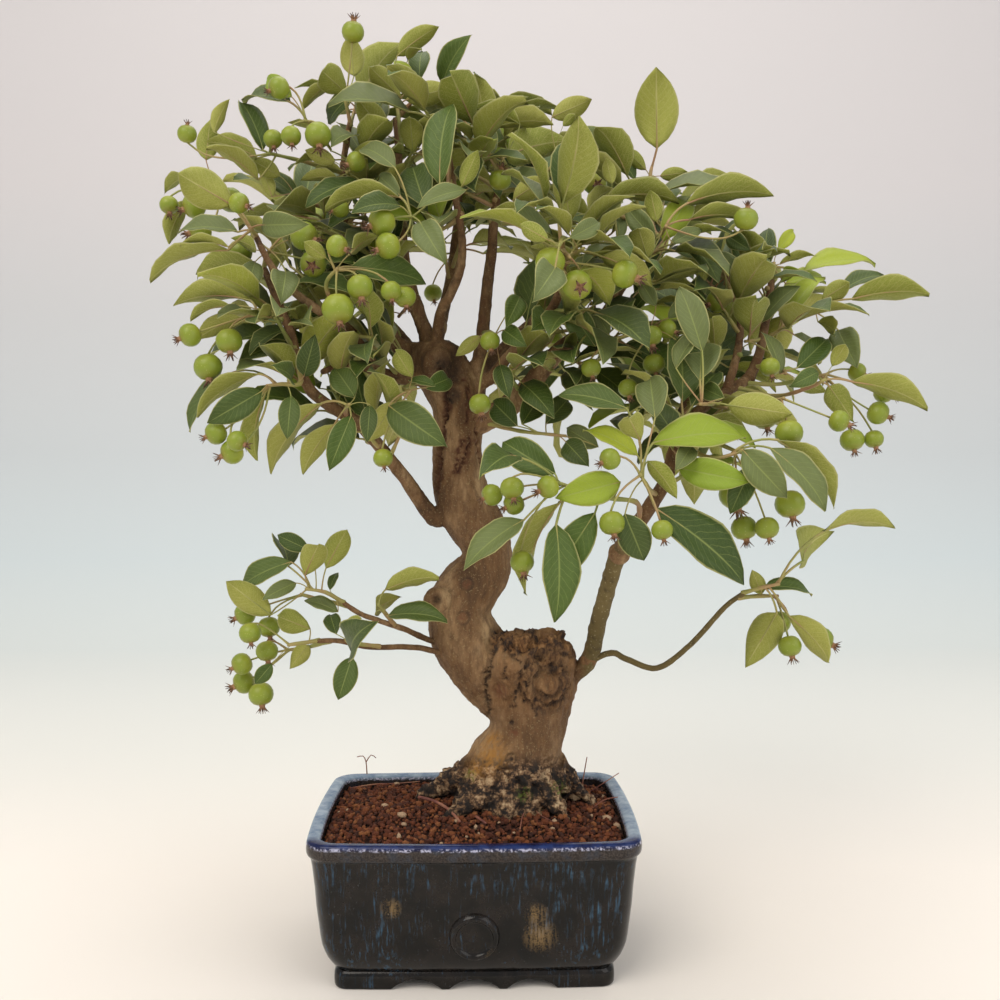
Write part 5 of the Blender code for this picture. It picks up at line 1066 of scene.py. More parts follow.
def makeSprays(name, members, templates, materials, nodes):
    # Twigs with their leaves and fruits as one piece
    draw = random.Random(name)
    bm = bmesh.new()
    bm.loops.layers.uv.new("leafMap")
    bm.loops.layers.float_color.new("leafTone")
    lines = []
    for grown in members:
        inner = grown["line"][0] + (grown["line"][0] - grown["line"][1]).normalized() * stalkLook["rooted"]
        line = [inner] + grown["line"]
        stem, sizes = smoothLine(line, [stalkLook["twigRadius"]] * len(line), 3.0)
        taper = [r * (1.35 - 0.6 * i / len(sizes)) * (1 + 0.1 * math.sin(i * 1.7)) for i,
                 r in enumerate(sizes)]
        lines.append((stem, taper))
        lines += [petioleLine(leaf) for leaf in grown["leaves"]]
        for fruit in grown["fruits"]:
            path, _ = smoothLine(fruit["path"], [1.0] * 4, 3.0)
            radii = [stalkLook["pedicelRadius"] * (1 + 0.5 * max(0.0, 1 - i / 2)) for i in range(len(path))]
            lines.append((path, radii))
    addMesh(bm, tubesMesh(name + "_stalks", lines, stalkLook["sides"]), 1)
    for grown in members:
        for leaf in grown["leaves"]:
            addLeaf(bm, templates["listed" if nodes else "fuller"], leaf, leaf.get("kind", "T"), draw)
        for fruit in grown["fruits"]:
            addFruit(bm, templates["fruit"], templates["dried"], fruit, draw)
    makePiece(name, makeMesh(name, bm), materials, nodes)


# The woody parts: how finely they are drawn, in mm, and how rough each kind of bark is
woodLook = {
    "voxel": 0.95, "spacing": 2.5, "sides": 6, "limbSides": 4, "limbSpacing": 2.6, "nodePitch": 13.0,
    "nodeSwell": 0.09, "flare": 0.55, "flareReach": 7.0, "crack": 1.0, "flake": 1.5, "ripple": 0.5,
    "wobble": 3.5, "joinReach": 14, "smoothing": 6, "uneven": 0.05
}

# Lumps that fill out the burl: picture x, y, distance back, diameter
burlLumps = [
    (513, 651, 4, 22), (528, 652, 2, 25), (544, 658, 2, 27), (556, 668, 4, 24), (549, 684, -4, 30),
    (520, 676, -2, 34), (530, 664, 14, 34), (505, 668, 2, 24)
]

# Marks on the bark: picture x and y, radius in mm, depth in mm (below the bark is minus), kind
# Holes and the grooves of rings are also painted dark, as painted shade
barkMarks = [
    (437, 599, 4.0, -4.5, "hole"), (437, 599, 6.6, 2.4, "lip"), (467, 584, 3.0, -1.6, "scar"),
    (467, 584, 3.6, -0.8, "ring"), (463, 618, 3.2, -1.4, "scar"), (463, 618, 3.8, -0.6, "ring"),
    (547, 684, 4.5, 0.6, "lip"), (547, 684, 8.0, -1.6, "ring"), (547, 684, 12.0, 1.8, "lip"),
    (547, 684, 15.0, -1.2, "ring"), (541, 655, 4.5, -2.6, "hole"), (553, 668, 4.0, -1.6, "hole"),
    (511, 759, 1.6, -1.2, "hole"), (511, 759, 3.0, -0.7, "ring"), (511, 759, 4.4, 1.0, "lip"),
    (511, 723, 1.5, -1.4, "hole"), (514, 733, 3.0, -0.5, "scar"), (500, 690, 4.5, -0.7, "scar"),
    (500, 690, 5.0, 0.5, "lip"), (447, 370, 11.5, -5.5, "hole"), (447, 370, 14.5, 1.8, "lip"),
    (452, 396, 6.0, -1.6, "hole"), (490, 757, 9.5, -0.3, "ochre"), (476, 769, 6.0, -0.2, "ochre"),
    (492, 740, 5.0, 0.0, "ochre"), (560, 789, 5.0, 0.3, "moss"), (470, 775, 4.0, 0.2, "moss"),
    (525, 795, 5.0, 0.2, "moss")
]

# Cracks and seams: half width and depth in mm, then picture points along each
barkCracks = [
    (1.5, 2.6, [(493, 642), (489, 664), (486, 688), (488, 714)]), (1.2, 1.6, [(500, 638), (509, 652),
    (519, 662)]), (1.0, 1.6, [(531, 658), (528, 678), (523, 700)]), (1.2, 2.0, [(534, 700), (547, 707),
    (561, 702), (571, 688)]), (1.4, 2.2, [(536, 676), (544, 665), (558, 663), (568, 672), (571, 684)]),
    (1.0, 1.5, [(523, 666), (518, 688), (513, 706)]), (0.9, 1.2, [(506, 664), (503, 678)]), (1.2, 1.8,
    [(540, 692), (547, 698), (557, 697), (563, 690)]), (0.9, 1.2, [(535, 690), (534, 706), (537, 716)]),
    (1.3, 1.8, [(545, 640), (556, 650), (570, 656)]), (1.0, 1.4, [(512, 640), (526, 650), (534, 648)]),
    (0.9, 1.2, [(560, 676), (566, 690), (560, 704)]), (1.4, 1.2, [(462, 442), (458, 458), (453, 472)]),
    (1.8, 1.5, [(471, 440), (466, 456), (458, 472)]), (2.0, 1.8, [(446, 408), (441, 440), (437, 470),
    (436, 490)]), (0.8, 1.0, [(476, 420), (478, 444), (480, 462)]), (1.8, 1.8, [(440, 372), (446, 392),
    (448, 412)]), (1.2, 1.0, [(466, 380), (470, 400), (466, 424)]), (1.4, 1.8, [(496, 782), (492, 796),
    (486, 806)]), (1.3, 1.8, [(520, 780), (524, 796), (522, 810)]), (1.2, 1.5, [(545, 776), (551, 790),
    (556, 802)]), (1.0, 1.2, [(470, 780), (462, 792), (452, 804)])
]


# Where the bark changes, in picture points: each pair is where a change begins and where it is full.
# The wound is its centre x, y and its radius in mm.
barkAreas = {
    "burlLow": (726, 700), "burlHigh": (622, 640), "burlLeft": (486, 494), "plates": (664, 644),
    "burlTop": (662, 642), "crownTop": (748, 772), "wound": (547, 684, 14), "upperTrunk": 520,
    "oliveLeft": (575, 590), "oliveTop": (535, 560)
}


def picturePlace(point):
    # Where a point of the plant is seen in the picture
    away = eyeTurn.transposed() @ (point - eyePoint)
    return (pictureCentre + focalPixels * away.x / away.y, pictureCentre - focalPixels * away.z / away.y)


def remeshed(mesh, voxel):
    # The mesh as one closed skin
    holder = newObject("holder", mesh)
    skin = holder.modifiers.new("skin", "REMESH")
    skin.mode = "VOXEL"
    skin.voxel_size = voxel
    return workedMesh(holder)


def thickWood(limbs, roots):
    # Stump, trunk, roots, knots and the first part of each limb, joined in one skin
    lines = [smoothLine(*limbs[name], woodLook["spacing"]) for name in trunkPaths]
    lines += [smoothLine(*root, woodLook["spacing"]) for root in roots]
    for name, (parent, *_) in limbPaths.items():
        if parent not in trunkPaths:
            continue
        points, radii = smoothLine(*limbs[name], woodLook["spacing"])
        count = max(6, int(radii[0] * 2 + limbs[parent][1][0] * 1.2 / woodLook["spacing"]))
        flared = [r * (1 + woodLook["flare"] * math.exp(-(i * woodLook["spacing"]) / woodLook["joinReach"]))
                  for i, r in enumerate(radii)]
        lines.append((points[:count], flared[:count]))
    mesh = tubesMesh("wood", lines, woodLook["sides"])
    bm = bmesh.new()
    bm.from_mesh(mesh)
    for x, y, back, size in knots + burlLumps:
        bmesh.ops.create_uvsphere(bm, u_segments=24, v_segments=16, radius=size / 2,
                                  matrix=Matrix.Translation(photoPoint(x, y, back)))
    bm.to_mesh(mesh)
    bm.free()
    return remeshed(mesh, woodLook["voxel"])


def crackDepth(x, y):
    # How deep a seam cuts at a picture point, and how much painted shade it gets
    deep, darkAndShade = 0.0, 0.0
    scale = photoScale(0)
    for half, depth, path in barkCracks:
        heights = [point[1] for point in path]
        if not (heights[0] - 20 < y < heights[-1] + 20 or min(heights) - 6 < y < max(heights) + 6):
            continue
        spot = Vector((x, y, 0))
        nearest = min(axisDistance(spot, Vector((*a, 0)), Vector((*b, 0)))[0] for a, b in zip(path, path[1:]))
        share = math.exp(-(nearest * scale / half) ** 2)
        deep, darkAndShade = max(deep, share * depth), max(darkAndShade, share)
    return deep, darkAndShade


def carveBark(mesh):
    # Gives the skin its bark: torn plates on the burl, flakes on the root crown, marks and seams, with
    # painted shade in its cracks, holes and grooves
    bm = bmesh.new()
    bm.from_mesh(mesh)
    for _ in range(woodLook["smoothing"]):
        bmesh.ops.smooth_vert(bm, verts=bm.verts, factor=0.5, use_axis_x=True, use_axis_y=True,
                              use_axis_z=True)
    bm.normal_update()
    tone = bm.loops.layers.float_color.new("barkTone")
    # The first channel of barkDepth is painted shade in cracks, holes and grooves, together with the dark of
    # some burl plates
    depthTone = bm.loops.layers.float_color.new("barkDepth")
    areas = barkAreas
    woundX, woundY, woundRadius = areas["wound"]
    moves, tones, depths = [], {}, {}
    for vert in bm.verts:
        x, y = picturePlace(vert.co)
        spot, normal = vert.co, vert.normal
        facing = max(0.0, -normal.y)
        upper = y < areas["upperTrunk"]
        burl = smoothStep(*areas["burlLow"], y) * smoothStep(*areas["burlHigh"], y)
        burl *= smoothStep(*areas["burlLeft"], x)
        crown = smoothStep(*areas["crownTop"], y + 6 * noise.noise(spot * 0.09))
        bend = noise.noise_vector(spot * 0.07) * 5
        ridge = abs(noise.noise(Vector(((spot.x + bend.x) * 0.16, (spot.y + bend.y) * 0.16, spot.z * 0.06))))
        tear = max(0.0, 1 - ridge / 0.07)
        lumps = noise.fractal(spot * 0.06, 0.9, 2.1, 3)
        ripple = noise.fractal(Vector((spot.x * 0.22, spot.y * 0.22, spot.z * 0.05)), 0.8, 2.0, 3)
        fine = noise.fractal(spot * 0.5, 0.8, 2.1, 3)
        _, spots = noise.voronoi(Vector((spot.x * 0.2, spot.y * 0.2, spot.z * 0.11)) + bend * 0.05)
        plate = noise.cell(spots[0] * 7.3)
        move = lumps * (0.8 + 1.3 * burl + 1.2 * crown) + ripple * woodLook["ripple"] * (1 + crown)
        wound = (math.hypot(x - woundX, y - woundY) * photoScale(0) - woundRadius) / 5
        torn = burl * max(smoothStep(*areas["plates"], y), math.exp(-wound ** 2) * facing, 0.15)
        move -= tear * woodLook["crack"] * (1.4 * torn + 1.0 * crown + 0.12)
        move += fine * (0.16 + 0.3 * torn + 0.35 * crown)
        top = smoothStep(0.25, 0.7, normal.z) * burl
        move += (plate - 0.4) * (woodLook["flake"] * (torn + crown) + 3.2 * top)
        # Painted shade in the carved tears of the burl and the root crown, together with the real dark of
        # some burl plates
        darkAndShade = tear * max(0.75 * torn, 0.6 * crown) + 0.5 * top * plate + 0.35 * torn * (plate > 0.6)
        darkAndShade += 0.5 * smoothStep(*areas["burlTop"], y) * burl * (plate > 0.5)
        scar, ochre, moss = 0.0, 0.0, 0.0
        if facing > 0.1:
            wobble = noise.noise_vector(spot * 0.3) * woodLook["wobble"]
            deep, seam = crackDepth(x + wobble.x, y + wobble.y)
            gape = min(1.0, facing * 2) * smoothStep(-0.5, 0.1, noise.noise(spot * 0.4 + wobble))
            move -= deep * gape * (1.8 if upper else 1.0)
            # Painted shade in the carved seam
            darkAndShade = max(darkAndShade, seam * gape * (0.55 if upper else 0.9))
            scar = 1.6 * seam * gape if upper else 0.0
            for mx, my, radius, depth, kind in barkMarks:
                away = math.hypot(x - mx, y - my) * photoScale(0) / radius
                if away > 1.7:
                    continue
                ring = math.exp(-((away - 1) / 0.22) ** 2) * facing
                near = math.exp(-(away * 1.1) ** 4)
                if kind in ("lip", "ring"):
                    move += depth * ring
                    # Painted shade in a ring's groove
                    darkAndShade = max(darkAndShade, 0.75 * ring * (0.6 + 0.4 * ripple) if kind == "ring" else 0.0)
                    continue
                move += depth * near
                if kind == "scar":
                    scar = max(scar, near * smoothStep(-0.45, 0.15, noise.noise(spot * 0.55)))
                elif kind == "hole":
                    # Painted shade in the hole
                    darkAndShade = max(darkAndShade, near * (0.72 + 0.28 * fine))
                elif kind == "moss":
                    moss = max(moss, near * smoothStep(-0.2, 0.3, fine))
                else:
                    ochre = max(ochre, math.exp(-away ** 2) * smoothStep(-0.7, 0.2, fine))
        moves.append(normal * move)
        tones[vert.index] = (max(torn, 0.5 * burl), crown, scar, ochre)
        depths[vert.index] = (min(1.0, max(0.0, darkAndShade)), 0.0, moss, 1.0)
    for vert, move in zip(bm.verts, moves):
        vert.co += move
    for face in bm.faces:
        face.smooth = True
        for loop in face.loops:
            loop[tone] = tones[loop.vert.index]
            loop[depthTone] = depths[loop.vert.index]
    bm.to_mesh(mesh)
    bm.free()
    return mesh


def smoothStep(low, high, value):
    # From 0 at the first value to 1 at the second
    share = max(0.0, min(1.0, (value - low) / (high - low)))
    return share * share * (3 - 2 * share)


def thinWood(limbs):
    # Every limb as a knobbly tube, swollen at its nodes and flared where it leaves its parent
    lines = []
    for name in limbPaths:
        points, radii = smoothLine(*limbs[name], woodLook["limbSpacing"])
        draw = random.Random(name)
        phase = draw.uniform(0, 1)
        shaped = []
        for i, (point, radius) in enumerate(zip(points, radii)):
            along = i * woodLook["limbSpacing"]
            swell = max(0.0, math.cos((along / woodLook["nodePitch"] + phase) * math.tau)) ** 8
            flare = woodLook["flare"] * math.exp(-along / woodLook["flareReach"])
            uneven = draw.uniform(-woodLook["uneven"], woodLook["uneven"]) / max(1.0, radius)
            shaped.append(radius * (1 + woodLook["nodeSwell"] * swell + flare + uneven))
            jitter = Vector((draw.uniform(-1, 1), draw.uniform(-1, 1), draw.uniform(-1, 1)))
            if 0 < i < len(points) - 1:
                points[i] = point + jitter * woodLook["uneven"] * min(radius, 2.5)
        shaped[-1] *= 0.8
        lines.append((points, shaped))
    mesh = tubesMesh("limbs", lines, woodLook["limbSides"])
    bm = bmesh.new()
    bm.from_mesh(mesh)
    tone = bm.loops.layers.float_color.new("barkTone")
    depthTone = bm.loops.layers.float_color.new("barkDepth")
    for face in bm.faces:
        face.smooth = True
        for loop in face.loops:
            x, y = picturePlace(loop.vert.co)
            olive = smoothStep(*barkAreas["oliveLeft"], x) * smoothStep(*barkAreas["oliveTop"], y)
            scar = smoothStep(0.1, 0.5, noise.noise(loop.vert.co * 0.12)) * 0.5 * (1 - olive)
            loop[tone] = (0.0, 0.0, scar, 0.0)
            loop[depthTone] = (smoothStep(0.25, 0.6, noise.noise(loop.vert.co * 0.3)) * 0.5, olive, 0.0, 1.0)
    bm.to_mesh(mesh)
    bm.free()
    return mesh


# The pot, in mm: body, rim, foot ring and the round stamp boss on its front
pot = {
    "width": 183.0, "depth": 137.0, "height": 82.5, "corner": 11.0, "rim": 9.0, "overhang": 2.0,
    "rimWidth": 8.0, "wall": 6.0, "foot": 9.5, "footInset": 14.5, "footBand": 15.0, "scallop": 19.5,
    "scallopRise": 6.0, "scallopPitch": 31.0, "boss": 13.0, "bossRing": 3.2, "bossHeight": 32.0,
    "bossLean": 9.6, "drain": 9.0, "drainSpread": 38.0, "cornerSteps": 8, "edge": 1.1, "bowSide": 0.033,
    "bowFront": 0.045, "sideSteps": 14, "bossSet": 4.6
}
soil = {
    "edge": 76.5, "dome": 7.0, "pitch": 2.2, "small": 0.7, "large": 2.2, "bury": 0.35, "knocked": 0.45,
    "seed": 11, "fineness": 1.8, "paleShare": 0.012, "gap": 0.7
}


def stackRings(steps, corner, segments):
    # A rounded box grown ring by ring: each step is a width, a depth and a height
    bm = bmesh.new()
    width, depth, height = steps[0]
    bmesh.ops.create_cube(bm, size=1.0)
    bmesh.ops.scale(bm, vec=(width, depth, 1), verts=bm.verts)
    uprights = [e for e in bm.edges if abs(e.verts[0].co.z - e.verts[1].co.z) > 0.5]
    bmesh.ops.bevel(bm, geom=uprights, offset=corner, segments=segments, affect="EDGES",
                    profile=0.5, material=-1)
    long = [e for e in bm.edges if abs(e.verts[0].co.z - e.verts[1].co.z) < 0.5 and e.calc_length() > 30]
    bmesh.ops.subdivide_edges(bm, edges=long, cuts=pot["sideSteps"])
    for vert in bm.verts:
        vert.co.z = height if vert.co.z < 0 else height + 0.01
    top = max(bm.faces, key=lambda f: f.normal.z + f.calc_center_median().z * 0.01)
    stages = zip(steps, steps[1:])
    for number, ((width, depth, height), (nextWidth, nextDepth, nextHeight)) in enumerate(stages):
        if number:
            top = bmesh.ops.extrude_discrete_faces(bm, faces=[top])["faces"][0]
        for vert in top.verts:
            vert.co.x *= nextWidth / width
            vert.co.y *= nextDepth / depth
            vert.co.z = nextHeight
    for vert in bm.verts:
        vert.co = bowed(vert.co.x, vert.co.y, vert.co.z)
    bmesh.ops.recalc_face_normals(bm, faces=bm.faces)
    return bm


def bowed(x, y, z):
    # The pot's sides swell out a little in plan, so its corners stand back
    return Vector((x * (1 - pot["bowSide"] * (2 * y / pot["depth"]) ** 2),
                   y * (1 - pot["bowFront"] * (2 * x / pot["width"]) ** 2), z))


def cutAway(body, cutters):
    # The body with the cutters taken away one after another
    for cutter in cutters:
        step = body.modifiers.new("cut", "BOOLEAN")
        step.operation = "DIFFERENCE"
        step.solver = "EXACT"
        step.object = cutter
    mesh = workedMesh(body)
    for spent in cutters:
        bpy.data.objects.remove(spent, do_unlink=True)
    return mesh


def rod(name, start, end, radius, segments):
    # A round bar between two points, as a cutter
    bm = bmesh.new()
    way = end - start
    turn = way.to_track_quat("Z", "Y").to_matrix().to_4x4()
    bmesh.ops.create_cone(bm, cap_ends=True, segments=segments, radius1=radius, radius2=radius,
                          depth=way.length, matrix=Matrix.Translation((start + end) / 2) @ turn)
    return newObject(name, makeMesh(name, bm))


def potBody():
    # The wall from its underside up over the rounded rim and down to the inside floor
    under, floor = pot["foot"], pot["foot"] + pot["wall"]
    rimBase = pot["height"] - pot["rim"]
    bodyW, bodyD = pot["width"] - 2 * pot["overhang"], pot["depth"] - 2 * pot["overhang"]
    mouthW, mouthD = pot["width"] - 2 * pot["rimWidth"], pot["depth"] - 2 * pot["rimWidth"]
    w, d, h = pot["width"], pot["depth"], pot["height"]
    profile = [(29.0, 0.0), (26.5, 0.6), (23.5, 2.2), (20.4, 4.5), (17.0, 7.5), (14.2, 11.0), (11.9, 14.8),
               (10.4, 19.5), (8.9, 26.0), (6.3, 36.5), (4.7, 47.0), (2.2, 58.0), (0.8, 62.0), (0.4, 63.2)]
    steps = [(bodyW - less, bodyD - less, under + rise) for less, rise in profile]
    steps += [
             (bodyW + 0.3, bodyD + 0.3, rimBase - 0.4), (w - 2.6, d - 2.6, rimBase + 0.1),
             (w - 1.2, d - 1.2, rimBase + 0.9), (w - 0.3, d - 0.3, rimBase + 2.2),
             (w, d, rimBase + 4.2), (w - 0.2, d - 0.2, h - 2.4), (w - 0.9, d - 0.9, h - 1.0),
             (w - 2.2, d - 2.2, h - 0.25), (w - 4.2, d - 4.2, h), (mouthW + 5, mouthD + 5, h - 0.15),
             (mouthW + 2, mouthD + 2, h - 0.7), (mouthW + 0.4, mouthD + 0.4, h - 1.9),
             (mouthW, mouthD, h - 3.6), (mouthW, mouthD, rimBase), (mouthW - 4, mouthD - 4, under + 24),
             (mouthW - 12, mouthD - 12, floor + 2), (mouthW - 16, mouthD - 16, floor)]
    body = newObject("potBody", makeMesh("potBody", stackRings(steps, pot["corner"] - 1.5,
                                                               pot["cornerSteps"])))
    drains = [rod("drain", Vector((x, 0, under - 4)), Vector((x, 0, floor + 4)), pot["drain"], 32)
              for x in (-pot["drainSpread"], pot["drainSpread"])]
    mesh = cutAway(body, drains)
    for polygon in mesh.polygons:
        polygon.use_smooth = True
    mesh.set_sharp_from_angle(angle=math.radians(50))
    return mesh


def potFoot():
    # The foot ring with its scalloped apron, its edges rounded as thrown and wiped clay
    footW, footD = pot["width"] - 2 * pot["footInset"], pot["depth"] - 2 * pot["footInset"]
    steps = [(footW - 3, footD - 3, 0.0), (footW - 1, footD - 1, 0.5), (footW - 0.2, footD - 0.2, 1.6),
             (footW, footD, 4.0), (footW - 0.4, footD - 0.4, pot["foot"] - 1.8),
             (footW - 1.6, footD - 1.6, pot["foot"] - 0.6), (footW - 4, footD - 4, pot["foot"] + 0.8)]
    foot = newObject("foot", makeMesh("foot", stackRings(steps, pot["corner"] * 0.6, 6)))
    hollow = bmesh.new()
    bmesh.ops.create_cube(hollow, size=1.0)
    wide, deep = footW - 2 * pot["footBand"], footD - 2 * pot["footBand"]
    bmesh.ops.scale(hollow, vec=(wide, deep, pot["foot"] + 5), verts=hollow.verts)
    bmesh.ops.translate(hollow, vec=(0, 0, (pot["foot"] - 5) / 2), verts=hollow.verts)
    cutters = [newObject("hollow", makeMesh("hollow", hollow))]
    low = pot["scallopRise"] - pot["scallop"]
    for x in (-pot["scallopPitch"], 0.0, pot["scallopPitch"]):
        cutters.append(rod("scallop", Vector((x, -pot["depth"], low)), Vector((x, pot["depth"], low)),
                           pot["scallop"], 64))
    for y in (-pot["scallopPitch"] / 2, pot["scallopPitch"] / 2):
        cutters.append(rod("scallop", Vector((-pot["width"], y, low)), Vector((pot["width"], y, low)),
                           pot["scallop"], 64))
    holder = newObject("foot", cutAway(foot, cutters))
    soften = holder.modifiers.new("soften", "BEVEL")
    soften.width = pot["edge"]
    soften.segments = 3
    soften.limit_method = "ANGLE"
    soften.angle_limit = math.radians(38)
    finished = workedMesh(holder)
    for polygon in finished.polygons:
        polygon.use_smooth = True
    finished.set_sharp_from_angle(angle=math.radians(45))
    return finished


def potBoss():
    # The round stamp on the front: a rounded ring round a rougher, slightly sunk middle
    front = -(pot["depth"] / 2 - pot["overhang"]) + pot["bossSet"]
    outer, inner = pot["boss"], pot["boss"] - pot["bossRing"]
    profile = [(outer + 1.2, 2.0), (outer + 0.3, 0.2), (outer - 0.5, -1.3), (outer - 1.3, -2.0),
               (inner + 0.7, -2.0), (inner + 0.1, -1.3), (inner - 0.6, -0.5), (inner - 1.6, -0.3),
               (inner * 0.55, -0.4), (inner * 0.2, -0.6)]
    bm = bmesh.new()
    verts = [bm.verts.new((r, 0, h)) for r, h in profile]
    edges = [bm.edges.new(pair) for pair in zip(verts, verts[1:])]
    bmesh.ops.spin(bm, geom=verts + edges, axis=(0, 0, 1), cent=(0, 0, 0), angle=math.tau, steps=64,
                   use_merge=True)
    bmesh.ops.holes_fill(bm, edges=[e for e in bm.edges if e.is_boundary], sides=0)
    bmesh.ops.remove_doubles(bm, verts=bm.verts, dist=1e-4)
    bmesh.ops.recalc_face_normals(bm, faces=bm.faces)
    turn = Matrix.Rotation(math.radians(pot["bossLean"] - 90), 4, "X")
    bmesh.ops.transform(bm, matrix=Matrix.Translation((0, front, pot["bossHeight"])) @ turn, verts=bm.verts)
    for face in bm.faces:
        face.smooth = True
    return makeMesh("boss", bm)


def soilLevel(x, y):
    # The soil mounds towards the trunk
    spread = min(1.0, math.hypot(x / (pot["width"] * 0.46), y / (pot["depth"] * 0.46)))
    lumps = noise.fractal(Vector((x * 0.05, y * 0.05, 3.1)), 0.9, 2.0, 2)
    return soil["edge"] + soil["dome"] * (1 - spread ** 2) + lumps * 1.2


def insideMouth(x, y, margin):
    # Whether a place lies in the pot's bowed mouth
    x /= 1 - pot["bowSide"] * (2 * y / pot["depth"]) ** 2
    y /= 1 - pot["bowFront"] * (2 * x / pot["width"]) ** 2
    halfW = pot["width"] / 2 - pot["rimWidth"] - margin
    halfD = pot["depth"] / 2 - pot["rimWidth"] - margin
    corner = pot["corner"]
    outX, outY = abs(x) - (halfW - corner), abs(y) - (halfD - corner)
    if outX > 0 and outY > 0:
        return math.hypot(outX, outY) < corner
    return outX < corner and outY < corner


def soilBase():
    # The body of the soil under its grains
    mouthW = pot["width"] - 2 * pot["rimWidth"] - soil["gap"]
    mouthD = pot["depth"] - 2 * pot["rimWidth"] - soil["gap"]
    bm = bmesh.new()
    bmesh.ops.create_grid(bm, x_segments=56, y_segments=40, size=1.0)
    corner = pot["corner"]
    for vert in bm.verts:
        x, y = vert.co.x * mouthW / 2, vert.co.y * mouthD / 2
        coreX = max(-mouthW / 2 + corner, min(mouthW / 2 - corner, x))
        coreY = max(-mouthD / 2 + corner, min(mouthD / 2 - corner, y))
        out = math.hypot(x - coreX, y - coreY)
        if out > corner:
            x, y = coreX + (x - coreX) * corner / out, coreY + (y - coreY) * corner / out
        rough = noise.fractal(Vector((x * 0.5, y * 0.5, 0)), 0.8, 2.0, 2) * 0.9
        vert.co = bowed(x, y, soilLevel(x, y) - 1.2 + rough)
    rim = [e for e in bm.edges if e.is_boundary]
    steps = [(mouthW - 5, mouthD - 5, pot["foot"] + 24), (mouthW - 18, mouthD - 18,
                                                          pot["foot"] + pot["wall"] + 1.7)]
    width, depth = mouthW, mouthD
    for nextWidth, nextDepth, height in steps:
        grown = bmesh.ops.extrude_edge_only(bm, edges=rim)["geom"]
        for vert in [g for g in grown if isinstance(g, bmesh.types.BMVert)]:
            vert.co.x *= nextWidth / width
            vert.co.y *= nextDepth / depth
            vert.co.z = height
        rim = [g for g in grown if isinstance(g, bmesh.types.BMEdge)]
        width, depth = nextWidth, nextDepth
    bmesh.ops.edgeloop_fill(bm, edges=rim)
    bmesh.ops.recalc_face_normals(bm, faces=bm.faces)
    return makeMesh("soilBase", bm)


def grainTemplate(seed):
    # One lump of fired clay, knocked out of round
    draw = random.Random(seed)
    bm = bmesh.new()
    bmesh.ops.create_icosphere(bm, subdivisions=1, radius=1.0)
    push = Vector((draw.uniform(0, 9), draw.uniform(0, 9), draw.uniform(0, 9)))
    for vert in bm.verts:
        vert.co *= 1 + soil["knocked"] * noise.noise(vert.co * 1.3 + push)
    return makeMesh("grain", bm)


def soilGrains(woodTree):
    # Lumps of red-brown clay laid all over the soil, kept out of the wood
    draw = random.Random(soil["seed"])
    crumbs = [grainTemplate(n) for n in range(9)]
    bm = bmesh.new()
    tone = bm.loops.layers.float_color.new("grainTone")
    columns = int(pot["width"] / soil["pitch"])
    rows = int(pot["depth"] / soil["pitch"])
    for i in range(columns):
        for j in range(rows):
            x = (i - columns / 2 + draw.uniform(0.0, 1.0)) * soil["pitch"]
            y = (j - rows / 2 + draw.uniform(0.0, 1.0)) * soil["pitch"]
            size = soil["small"] + (soil["large"] - soil["small"]) * draw.random() ** soil["fineness"]
            if not insideMouth(x, y, size + 0.3):
                continue
            place = Vector((x, y, soilLevel(x, y) + size * (0.55 - soil["bury"]) + draw.uniform(-0.5, 0.8)))
            near = woodTree.find_nearest(place, size * 0.7)
            if near[0] is not None:
                continue
            turn = Matrix.Rotation(draw.uniform(0, math.tau), 4,
                                   Vector((draw.uniform(-1, 1), draw.uniform(-1, 1), 1)))
            shape = Matrix.Diagonal((size * draw.uniform(0.8, 1.2), size * draw.uniform(0.8, 1.2),
                                     size * draw.uniform(0.65, 1.0), 1.0))
            verts, faces = addMesh(bm, draw.choice(crumbs), 0, smooth=False)
            bmesh.ops.transform(bm, matrix=Matrix.Translation(place) @ turn @ shape, verts=verts)
            pale = 1.0 if draw.random() < soil["paleShare"] else 0.0
            colour = (draw.random(), pale, draw.random(), 1.0)
            for face in faces:
                for loop in face.loops:
                    loop[tone] = colour
    for x, y, size in stones:
        verts, faces = addMesh(bm, crumbs[0], 0, smooth=True)
        place = Matrix.Translation(soilPoint(x, y) + Vector((0, 0, size * 0.5)))
        bmesh.ops.transform(bm, matrix=place @ Matrix.Diagonal((size, size * 0.8, size * 0.7, 1.0)),
                            verts=verts)
        for face in faces:
            for loop in face.loops:
                loop[tone] = (draw.random(), 1.0, 0.5, 1.0)
    return makeMesh("grains", bm)


def linear(code):
    # An sRGB hex colour as the linear values that a shader works in
    parts = [int(code[i:i + 2], 16) / 255 for i in (1, 3, 5)]
    return tuple(v / 12.92 if v <= 0.04045 else ((v + 0.055) / 1.055) ** 2.4 for v in parts) + (1.0,)


